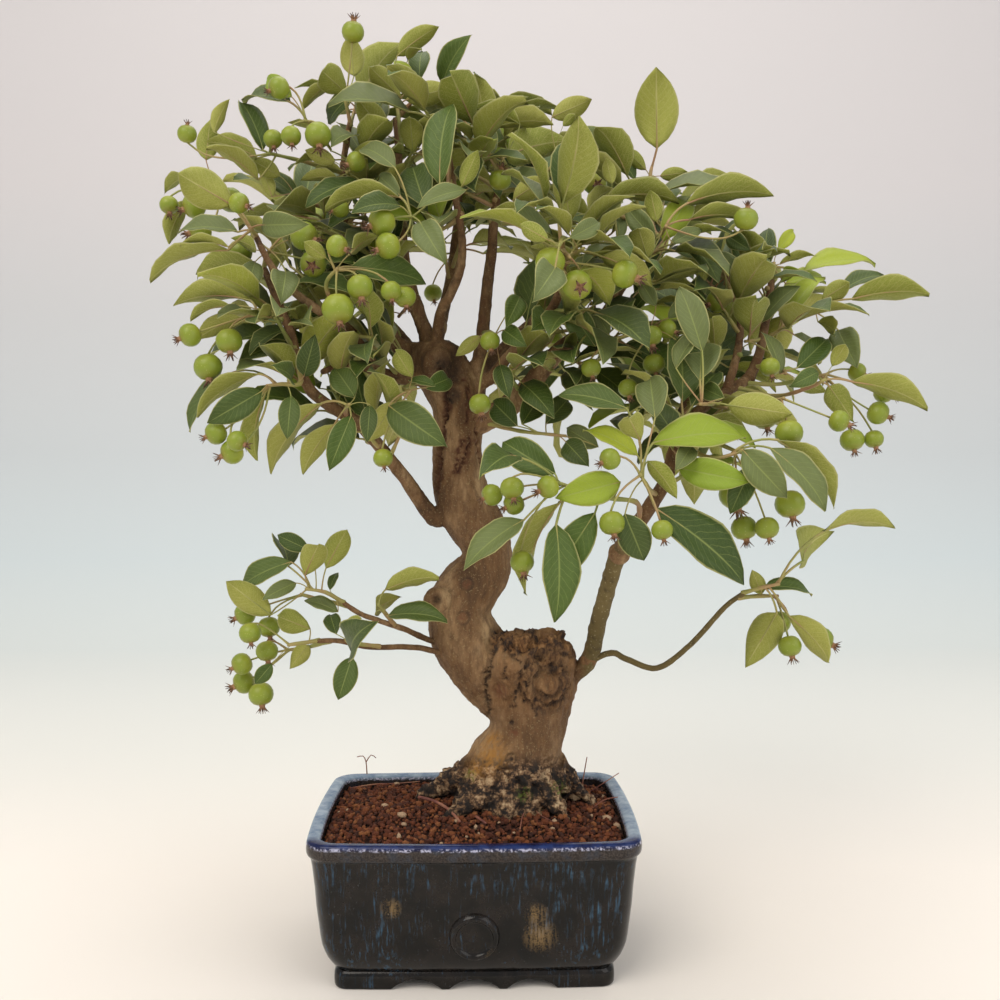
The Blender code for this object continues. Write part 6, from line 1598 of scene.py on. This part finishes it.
# The nodes in use: type, settings, the inputs that its values go to in order, and the output read
nodeKinds = {
    "mix": ("ShaderNodeMix", {"data_type": "RGBA"}, (0, 6, 7), 2),
    "times": ("ShaderNodeMath", {"operation": "MULTIPLY"}, (0, 1), 0),
    "plus": ("ShaderNodeMath", {"operation": "ADD"}, (0, 1), 0),
    "minus": ("ShaderNodeMath", {"operation": "SUBTRACT"}, (0, 1), 0),
    "most": ("ShaderNodeMath", {"operation": "MAXIMUM"}, (0, 1), 0),
    "size": ("ShaderNodeMath", {"operation": "ABSOLUTE"}, (0,), 0),
    "fraction": ("ShaderNodeMath", {"operation": "FRACT"}, (0,), 0),
    "noise": ("ShaderNodeTexNoise", {}, ("Vector", "Scale", "Detail", "Roughness"), 0),
    "cells": ("ShaderNodeTexVoronoi", {}, ("Vector", "Scale"), 0),
    "cellEdge": ("ShaderNodeTexVoronoi", {"feature": "DISTANCE_TO_EDGE"}, ("Vector", "Scale"), 0),
    "range": ("ShaderNodeMapRange", {}, (0, 1, 2, 3, 4), 0),
    "ramp": ("ShaderNodeValToRGB", {}, (0,), 0),
    "attribute": ("ShaderNodeAttribute", {}, (), 0),
    "attributeAlpha": ("ShaderNodeAttribute", {}, (), 3),
    "ownMap": ("ShaderNodeUVMap", {}, (), 0),
    "place": ("ShaderNodeTexCoord", {}, (), 3),
    "x": ("ShaderNodeSeparateXYZ", {}, (0,), 0),
    "y": ("ShaderNodeSeparateXYZ", {}, (0,), 1),
    "z": ("ShaderNodeSeparateXYZ", {}, (0,), 2),
    "stretch": ("ShaderNodeVectorMath", {"operation": "MULTIPLY"}, (0, 1), 0),
    "distance": ("ShaderNodeVectorMath", {"operation": "DISTANCE"}, (0, 1), 1),
    "bump": ("ShaderNodeBump", {}, ("Strength", "Distance", "Height"), 0),
}


def addNode(tree, kind, *values, stops=(), **settings):
    # Adds one node with its settings, values and links, and gives back the output that is read
    nodeType, fixed, sockets, output = nodeKinds[kind]
    node = tree.nodes.new(nodeType)
    for name, value in {**fixed, **settings}.items():
        setattr(node, name, value)
    for _ in stops[2:]:
        node.color_ramp.elements.new(0.5)
    for number, (spot, code) in enumerate(stops):
        node.color_ramp.elements[number].position = spot
        node.color_ramp.elements[number].color = linear(code)
    for socket, value in zip(sockets, values):
        if isinstance(value, bpy.types.NodeSocket):
            tree.links.new(value, node.inputs[socket])
        else:
            node.inputs[socket].default_value = linear(value) if isinstance(value, str) else value
    return node.outputs[output]


def startMaterial(name, **numbers):
    # A new material, addNode for its own tree, and its shader with the numbers that are the same all over
    material = bpy.data.materials.new(name)
    material.use_nodes = True
    shader = material.node_tree.nodes["Principled BSDF"]
    for socket, value in numbers.items():
        shader.inputs[socket.replace("_", " ")].default_value = value
    return material, functools.partial(addNode, material.node_tree), shader


def finishMaterial(shader, colour, relief, roughness=None):
    # Links what varies over the surface: colour, relief and, where given, roughness
    links = shader.id_data.links
    links.new(colour, shader.inputs["Base Color"])
    links.new(relief, shader.inputs["Normal"])
    if roughness is not None:
        links.new(roughness, shader.inputs["Roughness"])


# Leaf colours: each pair is mixed leaf by leaf
leafColours = {
    "upper": ("#2F450C", "#4C661C"), "mottle": "#263809", "grey": "#77804E",
    "young": ("#A0AC2A", "#849C2A"), "upperRib": "#98A45A", "net": "#6C7C38", "margin": "#B8B676",
    "under": ("#889236", "#A8A852"), "underYoung": "#A2AC3A", "underMottle": "#78802F",
    "underRib": "#C6C084", "underNet": "#BDB670", "ribsPerBlade": 11.0, "ribSlant": 5.5
}


def leafMaterial():
    # Crabapple leaf blade: a waxy upper skin over fine down, paler and matt below, with raised pale
    # ribs underneath and sunk ones on top. It gives a soft satin green that greys at a glance
    look = leafColours
    material, add, shader = startMaterial("leafBlade", Sheen_Weight=0.03, Sheen_Roughness=0.5, IOR=1.42)
    tone = add("attribute", attribute_name="leafTone")
    young, grey, under = (add(axis, tone) for axis in "xyz")
    chance = add("attributeAlpha", attribute_name="leafTone")
    leafMap = add("ownMap", uv_map="leafMap")
    across = add("size", add("minus", add("x", leafMap), 0.5))
    place = add("place")
    wander = add("noise", place, 130.0, 3.0, 0.5)
    mottle = add("noise", place, 420.0, 4.0, 0.5)

    # Side ribs leave the midrib every 4 mm and run forward; the net between them is 1 mm wide
    slant = add("minus", add("times", add("y", leafMap), look["ribsPerBlade"]),
                add("times", across, look["ribSlant"]))
    slant = add("plus", slant, add("times", wander, 1.3))
    saw = add("size", add("minus", add("fraction", slant), 0.5))
    sideRib = add("range", saw, 0.0, 0.065, 0.55, 0.0)
    midRib = add("range", across, 0.0, 0.036, 1.0, 0.0)
    rib = add("most", sideRib, midRib)
    net = add("range", add("cellEdge", place, 900.0), 0.0, 0.11, 1.0, 0.0)
    margin = add("range", across, 0.45, 0.485, 0.0, 0.75)

    upper = add("mix", chance, *look["upper"])
    upper = add("mix", add("times", mottle, 0.5), upper, look["mottle"])
    upper = add("mix", add("times", grey, 0.62), upper, look["grey"])
    upper = add("mix", young, upper, add("mix", chance, *look["young"]))
    upper = add("mix", add("times", rib, 0.6), upper, look["upperRib"])
    upper = add("mix", add("times", net, 0.16), upper, look["net"])
    below = add("mix", chance, *look["under"])
    for mask, share, code in ((young, 0.7, "underYoung"), (mottle, 0.4, "underMottle"),
                              (rib, 0.7, "underRib"), (net, 0.42, "underNet")):
        below = add("mix", add("times", mask, share), below, look[code])
    colour = add("mix", under, upper, below)
    colour = add("mix", margin, colour, look["margin"])

    roughness = add("range", add("plus", mottle, add("times", under, 0.6)), 0.2, 1.2, 0.42, 0.7)
    sunk = add("range", under, 0.0, 1.0, -0.8, 0.8)
    relief = add("times", add("plus", rib, add("times", net, 0.3)), sunk)
    relief = add("plus", relief, add("times", mottle, 0.5))
    finishMaterial(shader, colour, add("bump", 0.45, 0.0005, relief), roughness)
    return material


def stalkMaterial():
    # Young stalk: a thin downy skin over green tissue that reddens in the sun, satin and uneven
    material, add, shader = startMaterial("youngStalk", Roughness=0.6)
    place = add("place")
    patch = add("noise", place, 45.0, 3.0, 0.5)
    down = add("noise", place, 1800.0, 2.0, 0.5)
    colour = add("ramp", patch, stops=[(0.34, "#7F8A3C"), (0.48, "#98924C"), (0.6, "#A07E54"),
                                       (0.72, "#95624A")])
    colour = add("mix", add("times", down, 0.25), colour, "#C2BA8A")
    finishMaterial(shader, colour, add("bump", 0.3, 0.0002, down))
    return material


def dryStalkMaterial():
    # Fallen stalk: a shrunken dull skin, purple-brown where it is fresh and straw where it has dried
    material, add, shader = startMaterial("dryStalk", Roughness=0.75)
    place = add("place")
    patch = add("noise", place, 60.0, 4.0, 0.6)
    colour = add("ramp", patch, stops=[(0.36, "#6E4038"), (0.48, "#8F5A4A"), (0.6, "#A07058"),
                                       (0.72, "#B8946E")])
    finishMaterial(shader, colour, add("bump", 0.4, 0.0003, add("noise", place, 1500.0, 3.0, 0.6)))
    return material


def fruitMaterial():
    # Unripe crabapple: a tight waxy skin over green flesh, yellower by the stalk, with pale pores
    # about a millimetre and a half apart. It gives a soft highlight on a yellow-green ball
    material, add, shader = startMaterial("fruitSkin", Roughness=0.36, IOR=1.42, Subsurface_Weight=0.1,
                                          Subsurface_Radius=(0.002, 0.0025, 0.001))
    place = add("place")
    height = add("y", add("ownMap", uv_map="leafMap"))
    chance = add("attributeAlpha", attribute_name="leafTone")
    patch = add("noise", place, 160.0, 4.0, 0.5)
    pore = add("range", add("cells", place, 620.0), 0.06, 0.2, 1.0, 0.0)
    colour = add("ramp", height, stops=[(0.0, "#AEAA44"), (0.25, "#929C34"), (0.7, "#7C8E28"),
                                        (0.93, "#848230"), (1.0, "#8A7040")])
    colour = add("mix", add("times", chance, 0.45), colour, "#74882A")
    colour = add("mix", add("times", patch, 0.4), colour, "#9AA444")
    colour = add("mix", add("times", pore, 0.4), colour, "#C6C888")
    relief = add("plus", add("times", pore, 0.3), patch)
    finishMaterial(shader, colour, add("bump", 0.18, 0.0006, relief))
    return material


def driedMaterial():
    # Dried flower end: withered downy sepals, matt, tan-pink at the neck and dark at their tips
    material, add, shader = startMaterial("driedFlower", Roughness=0.85)
    height = add("y", add("ownMap", uv_map="leafMap"))
    grain = add("noise", add("place"), 900.0, 4.0, 0.6)
    colour = add("ramp", height, stops=[(0.0, "#8C8448"), (0.2, "#9C7452"), (0.42, "#74503A"),
                                        (0.62, "#3E281C"), (1.0, "#241812")])
    colour = add("mix", add("range", grain, 0.45, 0.65, 0.0, 0.5), colour, "#B99478")
    finishMaterial(shader, colour, add("bump", 0.5, 0.0004, grain))
    return material


def barkMaterial():
    # Crabapple bark: thin grey-brown cork, speckled and streaked above, torn in plates on the burl
    # and flaking black over tan wood at the root crown, with painted shade in its cracks and hollows. It is
    # dry and matt everywhere
    material, add, shader = startMaterial("crabappleBark", Roughness=0.84)
    tone = add("attribute", attribute_name="barkTone")
    burl, crown, scar = (add(axis, tone) for axis in "xyz")
    ochre = add("attributeAlpha", attribute_name="barkTone")
    depth = add("attribute", attribute_name="barkDepth")
    # Its first channel is painted shade in cracks and hollows, together with dark bark
    darkAndShade, olive, moss = (add(axis, depth) for axis in "xyz")
    trunk = add("attributeAlpha", attribute_name="barkDepth")
    place = add("place")
    along = add("stretch", place, (1.0, 1.0, 0.35))
    broad = add("noise", along, 60.0, 5.0, 0.62)
    fine = add("noise", along, 420.0, 6.0, 0.68)
    speck = add("noise", place, 950.0, 4.0, 0.6)

    # Cork of the trunk and of the limbs, then the burl's torn plates and the crown's flakes
    colour = add("ramp", broad, stops=[(0.32, "#523A22"), (0.45, "#705233"), (0.57, "#8C6E4C"),
                                       (0.7, "#AE926C")])
    colour = add("mix", add("range", fine, 0.44, 0.62, 0.0, 0.5), colour, "#4A3220")
    colour = add("mix", add("range", speck, 0.58, 0.66, 0.0, 0.45), colour, "#A8966C")
    limb = add("ramp", fine, stops=[(0.36, "#3A241A"), (0.48, "#664230"), (0.58, "#8A6248"),
                                    (0.7, "#A88A6C")])
    colour = add("mix", trunk, limb, colour)
    plates = add("ramp", fine, stops=[(0.36, "#3C2714"), (0.46, "#694626"), (0.56, "#8E673E"),
                                      (0.68, "#B08C60")])
    colour = add("mix", add("times", burl, 0.85), colour, plates)
    patches = add("noise", add("stretch", place, (0.8, 1.0, 1.1)), 150.0, 7.0, 0.74)
    flakes = add("ramp", patches, stops=[(0.41, "#15100D"), (0.48, "#33261D"), (0.53, "#7A5C40"),
                                         (0.62, "#C2A884")])
    colour = add("mix", crown, colour, flakes)
    dots = add("range", add("cells", place, 480.0), 0.1, 0.24, 0.6, 0.0)
    smooth = add("mix", dots, add("mix", broad, "#4F4526", "#74683A"), "#B5AC86")
    colour = add("mix", add("times", olive, 0.85), colour, smooth)

    # Marks: painted shade in the seams, cracks and hollows together with the dark of some plates, torn red
    # wood, ochre stain and moss
    colour = add("mix", add("times", scar, 0.7), colour, "#6E432B")
    colour = add("mix", add("times", ochre, 0.75), colour, "#A8762E")
    # Near black where the marks are painted dark: painted shade in cracks and hollows, and dark plates
    gap = add("times", add("range", darkAndShade, 0.08, 0.6, 0.0, 0.94), add("range", fine, 0.4, 0.56, 1.0, 0.55))
    colour = add("mix", gap, colour, "#1E130D")
    green = add("times", moss, add("range", speck, 0.42, 0.52, 0.0, 0.85))
    colour = add("mix", green, colour, "#66762C")
    relief = add("plus", fine, add("times", speck, 0.3))
    finishMaterial(shader, colour, add("bump", 0.6, 0.0013, relief))
    return material


# The glaze: tan splashes at picture x, y with their radius in mm, and heights in mm where it changes, one of
# them the band of painted shade under the rim
glazeLook = {
    "splashes": [(390, 912, 7.5), (537, 918, 8.0), (541, 942, 12.0), (420, 966, 6.0), (344, 943, 3.5),
    (495, 962, 7.0)], "underRimShade": (72.2, 73.9), "band": (73.6, 74.4), "lip": (79.6, 81.6), "breaking": 80.4,
    "frontEdge": (-58.0, -50.0)
}


def glazeMaterial():
    # Stoneware with a thick running glaze: blue where it pooled, breaking white on the lip, brown-black
    # below with blue runs and tan splashes, painted shade under the rim and a painted blue sheen on the left.
    # It is glassy, with a broken soft highlight
    look = glazeLook
    material, add, shader = startMaterial("blueGlaze", IOR=1.45, Specular_IOR_Level=0.35)
    place = add("place")
    height = add("z", place)
    runs = add("stretch", place, (1.0, 1.0, 0.06))
    stream = add("noise", runs, 620.0, 4.0, 0.62)
    wide = add("noise", add("stretch", place, (1.0, 1.0, 0.3)), 34.0, 3.0, 0.55)
    speck = add("noise", place, 1100.0, 4.0, 0.7)
    cloud = add("noise", place, 75.0, 5.0, 0.68)

    # The wall, with a painted blue sheen on its left side over the real blue runs
    colour = add("mix", add("range", cloud, 0.4, 0.62, 0.0, 1.0), "#0A0908", "#1E1916")
    high = add("range", height, 0.02, 0.075, -0.02, 0.05)
    # Painted reflection: the blue runs are pushed up towards the left side as a painted sheen
    left = add("range", add("x", place), potMiddle.x * mm - 0.09, potMiddle.x * mm - 0.02, 0.05, 0.0)
    blueRunsAndSheen = add("plus", add("plus", stream, add("times", wide, 0.35)), add("plus", high, left))
    blueRunsAndSheen = add("times", add("range", blueRunsAndSheen, 0.75, 0.93, 0.0, 0.65),
               add("range", cloud, 0.42, 0.56, 0.15, 1.0))
    colour = add("mix", blueRunsAndSheen, colour, add("mix", wide, "#1C3450", "#4E7E9E"))
    for x, y, radius in look["splashes"]:
        spot = photoPoint(x, y, pot["overhang"] - pot["depth"] / 2)
        away = add("distance", place, ((spot + potMiddle) * mm)[:])
        splash = add("range", away, radius * mm, radius * 0.3 * mm, 0.0, 1.0)
        splash = add("times", splash, add("range", add("plus", stream, speck), 0.9, 1.08, 0.0, 0.85))
        colour = add("mix", splash, colour, "#8A7048")
    colour = add("mix", add("range", speck, 0.67, 0.74, 0.0, 0.6), colour, "#9AA3A8")

    # Painted shade in the groove under the rim, the rim's band, and the top that is deep blue in front and
    # greyer behind
    underRimShade = add("range", height, look["underRimShade"][0] * mm, look["underRimShade"][1] * mm, 0.0, 0.8)
    # Painted shade: a near-black band under the rim's overhang
    colour = add("mix", underRimShade, colour, "#0F0D0C")
    band = add("mix", add("range", speck, 0.4, 0.62, 0.0, 1.0), "#1A1615", "#443C38")
    band = add("mix", add("range", cloud, 0.5, 0.62, 0.0, 0.45), band, "#323C4A")
    colour = add("mix", add("range", height, look["band"][0] * mm, look["band"][1] * mm, 0.0, 1.0), colour,
                 band)
    back = add("range", add("y", place), (potMiddle.y + look["frontEdge"][0]) * mm,
               (potMiddle.y + look["frontEdge"][1]) * mm, 0.0, 1.0)
    deep = add("mix", add("range", cloud, 0.42, 0.6, 0.0, 1.0), "#0F1A45", "#24376C")
    pale = add("mix", add("range", cloud, 0.38, 0.62, 0.0, 1.0), "#5C7796", "#9DB0C2")
    top = add("mix", back, deep, pale)
    lip = add("range", height, look["lip"][0] * mm, look["lip"][1] * mm, 0.0, 1.0)
    colour = add("mix", lip, colour, top)
    breaking = add("range", add("size", add("minus", height, look["breaking"] * mm)), 0.0003, 0.0012, 1.0,
                   0.0)
    breaking = add("times", breaking, add("range", add("noise", place, 620.0, 5.0, 0.7), 0.5, 0.56, 0.0,
                                          0.85))
    colour = add("mix", breaking, colour, "#BEBFD8")
    roughness = add("range", speck, 0.3, 0.7, 0.06, 0.2)
    relief = add("plus", add("times", stream, 0.5), add("plus", wide, add("times", cloud, 0.6)))
    finishMaterial(shader, colour, add("bump", 0.12, 0.0012, relief), roughness)
    return material


def soilMaterial():
    # Granular red-brown clay, kiln-dried: porous lumps, quite matt, with a few pale ones
    material, add, shader = startMaterial("redClayGrain", Roughness=0.93)
    tone = add("attribute", attribute_name="grainTone")
    shade, pale = add("x", tone), add("y", tone)
    pores = add("noise", add("place"), 1400.0, 5.0, 0.7)
    colour = add("ramp", shade, stops=[(0.0, "#34190E"), (0.35, "#5E2E18"), (0.75, "#7C4222"),
                                       (1.0, "#9A6238")])
    colour = add("mix", add("times", pores, 0.5), colour, "#301910")
    colour = add("mix", pale, colour, "#B3977A")
    finishMaterial(shader, colour, add("bump", 0.7, 0.0006, pores))
    return material


def screenMaterial():
    # Drain screen of moulded polyethylene: even black plastic with a faint pebbled skin
    material, add, shader = startMaterial("screenPlastic", Roughness=0.5)
    grain = add("noise", add("place"), 1500.0, 2.0, 0.5)
    colour = add("mix", grain, "#191A1A", "#2A2B2B")
    finishMaterial(shader, colour, add("bump", 0.25, 0.0003, grain))
    return material


# Dry stalks and twigs fallen on the soil: radius in mm, whether they stand up, picture points
litter = [
    (0.5, False, [(350, 791), (374, 787), (398, 786), (420, 784)]), (1.1, False, [(419, 801), (434, 805),
    (448, 813), (460, 826)]), (0.45, True, [(580, 797), (583, 780), (587, 757)]), (0.4, True, [(583, 794),
    (602, 784), (619, 773)]), (0.4, False, [(520, 832), (523, 818), (530, 806), (526, 800)]), (0.35, False,
    [(530, 808), (541, 818), (556, 826)]), (0.35, False, [(536, 804), (548, 812), (566, 816)]), (0.4, True,
    [(367, 772), (366, 762), (363, 756), (357, 757)]), (0.35, True, [(366, 760), (371, 755), (376, 758)]),
    (0.8, False, [(476, 820), (486, 827)]), (0.4, True, [(590, 808), (604, 800), (618, 797)])
]
stones = [
    (402, 818, 3.0), (607, 821, 3.0), (385, 808, 2.4), (404, 826, 1.8), (397, 786, 2.2)
]


def soilPoint(x, y):
    # Where the line of sight meets the soil
    near, far = photoPoint(x, y, -60), photoPoint(x, y, 60)
    for step in range(241):
        spot = near.lerp(far, step / 240)
        if spot.z <= soilLevel(spot.x, spot.y):
            break
    return spot


def soilLitter():
    # Stalks that lie on the grains or stand in them, with their ends pushed in a little
    lines = []
    for radius, stands, path in litter:
        points = [soilPoint(*spot) + Vector((0, 0, 1.2 + radius)) for spot in path]
        if stands:
            points = [points[0] - Vector((0, 0, 3))] + [photoPoint(x, y, points[0].y) for x, y in path[1:]]
        line, sizes = smoothLine(points, [radius] * len(points), 2.0)
        lines.append((line, [size * (1 - 0.35 * i / len(sizes)) for i, size in enumerate(sizes)]))
    return tubesMesh("litter", lines, 2)


limbs = placeLimbs()
growth, missing, planner = planPlant(limbs, placeRoots(plant["gap"]))
print("places found for", sum(len(g["leaves"]) for g in growth.values()), "leaves; without one:", missing)
print("and for more of the picture's growth:", growExtras(planner, limbs, growth))

materials = {"dryStalk": dryStalkMaterial(), "blade": leafMaterial(), "stalk": stalkMaterial(),
             "skin": fruitMaterial(), "dried": driedMaterial(), "bark": barkMaterial(),
             "glaze": glazeMaterial(), "soil": soilMaterial(), "screen": screenMaterial()}
templates = {"listed": leafTemplate(*leafLook["listed"]), "fuller": leafTemplate(*leafLook["fuller"]),
             "fruit": fruitTemplate(), "dried": driedTemplate()}
grownMaterials = [materials[name] for name in ("blade", "stalk", "skin", "dried", "bark")]
spurs = [grown for node, grown in growth.items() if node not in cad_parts]
for node, grown in growth.items():
    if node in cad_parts:
        makeSprays("grown_" + node, [grown], templates, grownMaterials,
                   [node])
for number in range(fill["pieces"]):
    makeSprays("fullerGrowth_%d" % (number + 1), spurs[number::fill["pieces"]], templates, grownMaterials,
               [])
print("sprays and fruit bunches made:", len(growth) - len(spurs), "and spurs:", len(spurs))

wood = carveBark(thickWood(limbs, placeRoots(0.0)))
print("thick wood has", len(wood.polygons), "faces")
woodTree = BVHTree.FromPolygons([v.co for v in wood.vertices], [tuple(p.vertices) for p in wood.polygons])
grains = soilGrains(woodTree)
makePiece("thickWood", wood, [materials["bark"]], ["trunk"])
makePiece("limbs", thinWood(limbs), [materials["bark"]], ["trunk"])
print("bark done")

makePiece("potBody", potBody(), [materials["glaze"]], ["pot"])
makePiece("potFoot", potFoot(), [materials["glaze"]], ["pot"])
makePiece("stampBoss", potBoss(), [materials["glaze"]], ["pot"])
makePiece("soilBed", soilBase(), [materials["soil"]], ["soil"])
makePiece("soilGrains", grains, [materials["soil"]], ["soil"])
makePiece("soilLitter", soilLitter(), [materials["dryStalk"]], [])
for name in ("drain_screen_left", "drain_screen_right"):
    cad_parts[name].data.materials.clear()
    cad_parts[name].data.materials.append(materials["screen"])
print("pot and soil done")

# Plain pale floor that curves up into a backdrop, a camera where the picture's eye was, soft lights
studio = {
    "paperLightFalloff": [(0.0, "#F4EFE8"), (0.014, "#E8E9E4"), (0.05, "#D9E0DF"), (0.17, "#CFD9DC"), (0.36, "#CBD1D4"),
    (0.9, "#D6D3D5")], "world": 0.66, "worldColour": "#F2F0F0", "lights": [("softKey", (-0.9, -1.3, 1.5),
    1.4, 23.0, "#FFF6EA"), ("softFill", (1.4, -1.2, 0.9), 1.6, 12.0, "#FAF7F4"), ("softTop",
    (0.1, 0.3, 1.9), 1.5, 15.0, "#FFFAF2")], "floorFront": -3.0, "floorBack": 0.9, "bend": 0.6,
    "bendSteps": 16, "halfWidth": 4, "wallTop": 4.0
}


def paperMaterial():
    # Seamless paper: matt and even, with the light painted on: a warm bright white on the floor, painted
    # greyer and cooler further back and up the wall
    material, add, shader = startMaterial("seamlessPaper", Roughness=1.0)
    place = add("place")
    # Painted light falloff: the colour darkens and cools with height and with distance back
    rise = add("plus", add("z", place), add("range", add("y", place), 0.1, 1.1, 0.0, 0.05))
    colour = add("ramp", rise, stops=studio["paperLightFalloff"])
    grain = add("noise", place, 900.0, 2.0, 0.5)
    finishMaterial(shader, colour, add("bump", 0.02, 0.0002, grain))
    return material


def makeBackdrop():
    # One sheet: flat under the pot, bent up a long way behind it
    bm = bmesh.new()
    back, bent, steps, half = studio["floorBack"], studio["bend"], studio["bendSteps"], studio["halfWidth"]
    profile = [Vector((0, studio["floorFront"], 0)), Vector((0, back, 0))]
    for k in range(1, steps + 1):
        turn = math.pi / 2 * k / steps
        profile.append(Vector((0, back + bent * math.sin(turn), bent * (1 - math.cos(turn)))))
    profile.append(Vector((0, back + bent, studio["wallTop"])))
    verts = [bm.verts.new(p + Vector((-half, 0, 0))) for p in profile]
    edges = [bm.edges.new(pair) for pair in zip(verts, verts[1:])]
    grown = bmesh.ops.extrude_edge_only(bm, edges=edges)["geom"]
    drawn = [g for g in grown if isinstance(g, bmesh.types.BMVert)]
    bmesh.ops.translate(bm, vec=(2 * half, 0, 0), verts=drawn)
    bmesh.ops.recalc_face_normals(bm, faces=bm.faces)
    if bm.faces[:][0].normal.z < 0:
        bmesh.ops.reverse_faces(bm, faces=bm.faces)
    for face in bm.faces:
        face.smooth = True
    mesh = makeMesh("backdrop", bm)
    mesh.transform(Matrix.Translation((potMiddle.x * mm, potMiddle.y * mm, 0)))
    mesh.materials.append(paperMaterial())
    backdrop = newObject("backdrop", mesh)


def addLight(name, place, target, size, power, code):
    # A soft square light aimed at the plant
    data = bpy.data.lights.new(name, "AREA")
    data.energy = power
    data.size = size
    data.color = linear(code)[:3]
    lamp = newObject(name, data)
    lamp.location = place
    lamp.rotation_euler = (target - place).to_track_quat("-Z", "Y").to_euler()


makeBackdrop()
middle = Vector((potMiddle.x * mm, potMiddle.y * mm, 0.28))
for name, place, size, power, code in studio["lights"]:
    addLight(name, middle + Vector(place), middle, size, power, code)
world = bpy.data.worlds.new("studio")
world.use_nodes = True
world.node_tree.nodes["Background"].inputs[0].default_value = linear(studio["worldColour"])
world.node_tree.nodes["Background"].inputs[1].default_value = studio["world"]
bpy.context.scene.world = world

cameraData = bpy.data.cameras.new("photoEye")
cameraData.sensor_width = 36
cameraData.lens = cameraData.sensor_width * focalPixels / (2 * pictureCentre)
camera = newObject("photoEye", cameraData)
camera.location = (eyePoint + potMiddle) * mm
camera.rotation_euler = (math.radians(90) - eyePitch, 0, -eyeYaw)
bpy.context.scene.camera = camera
bpy.context.scene.view_settings.view_transform = "Standard"
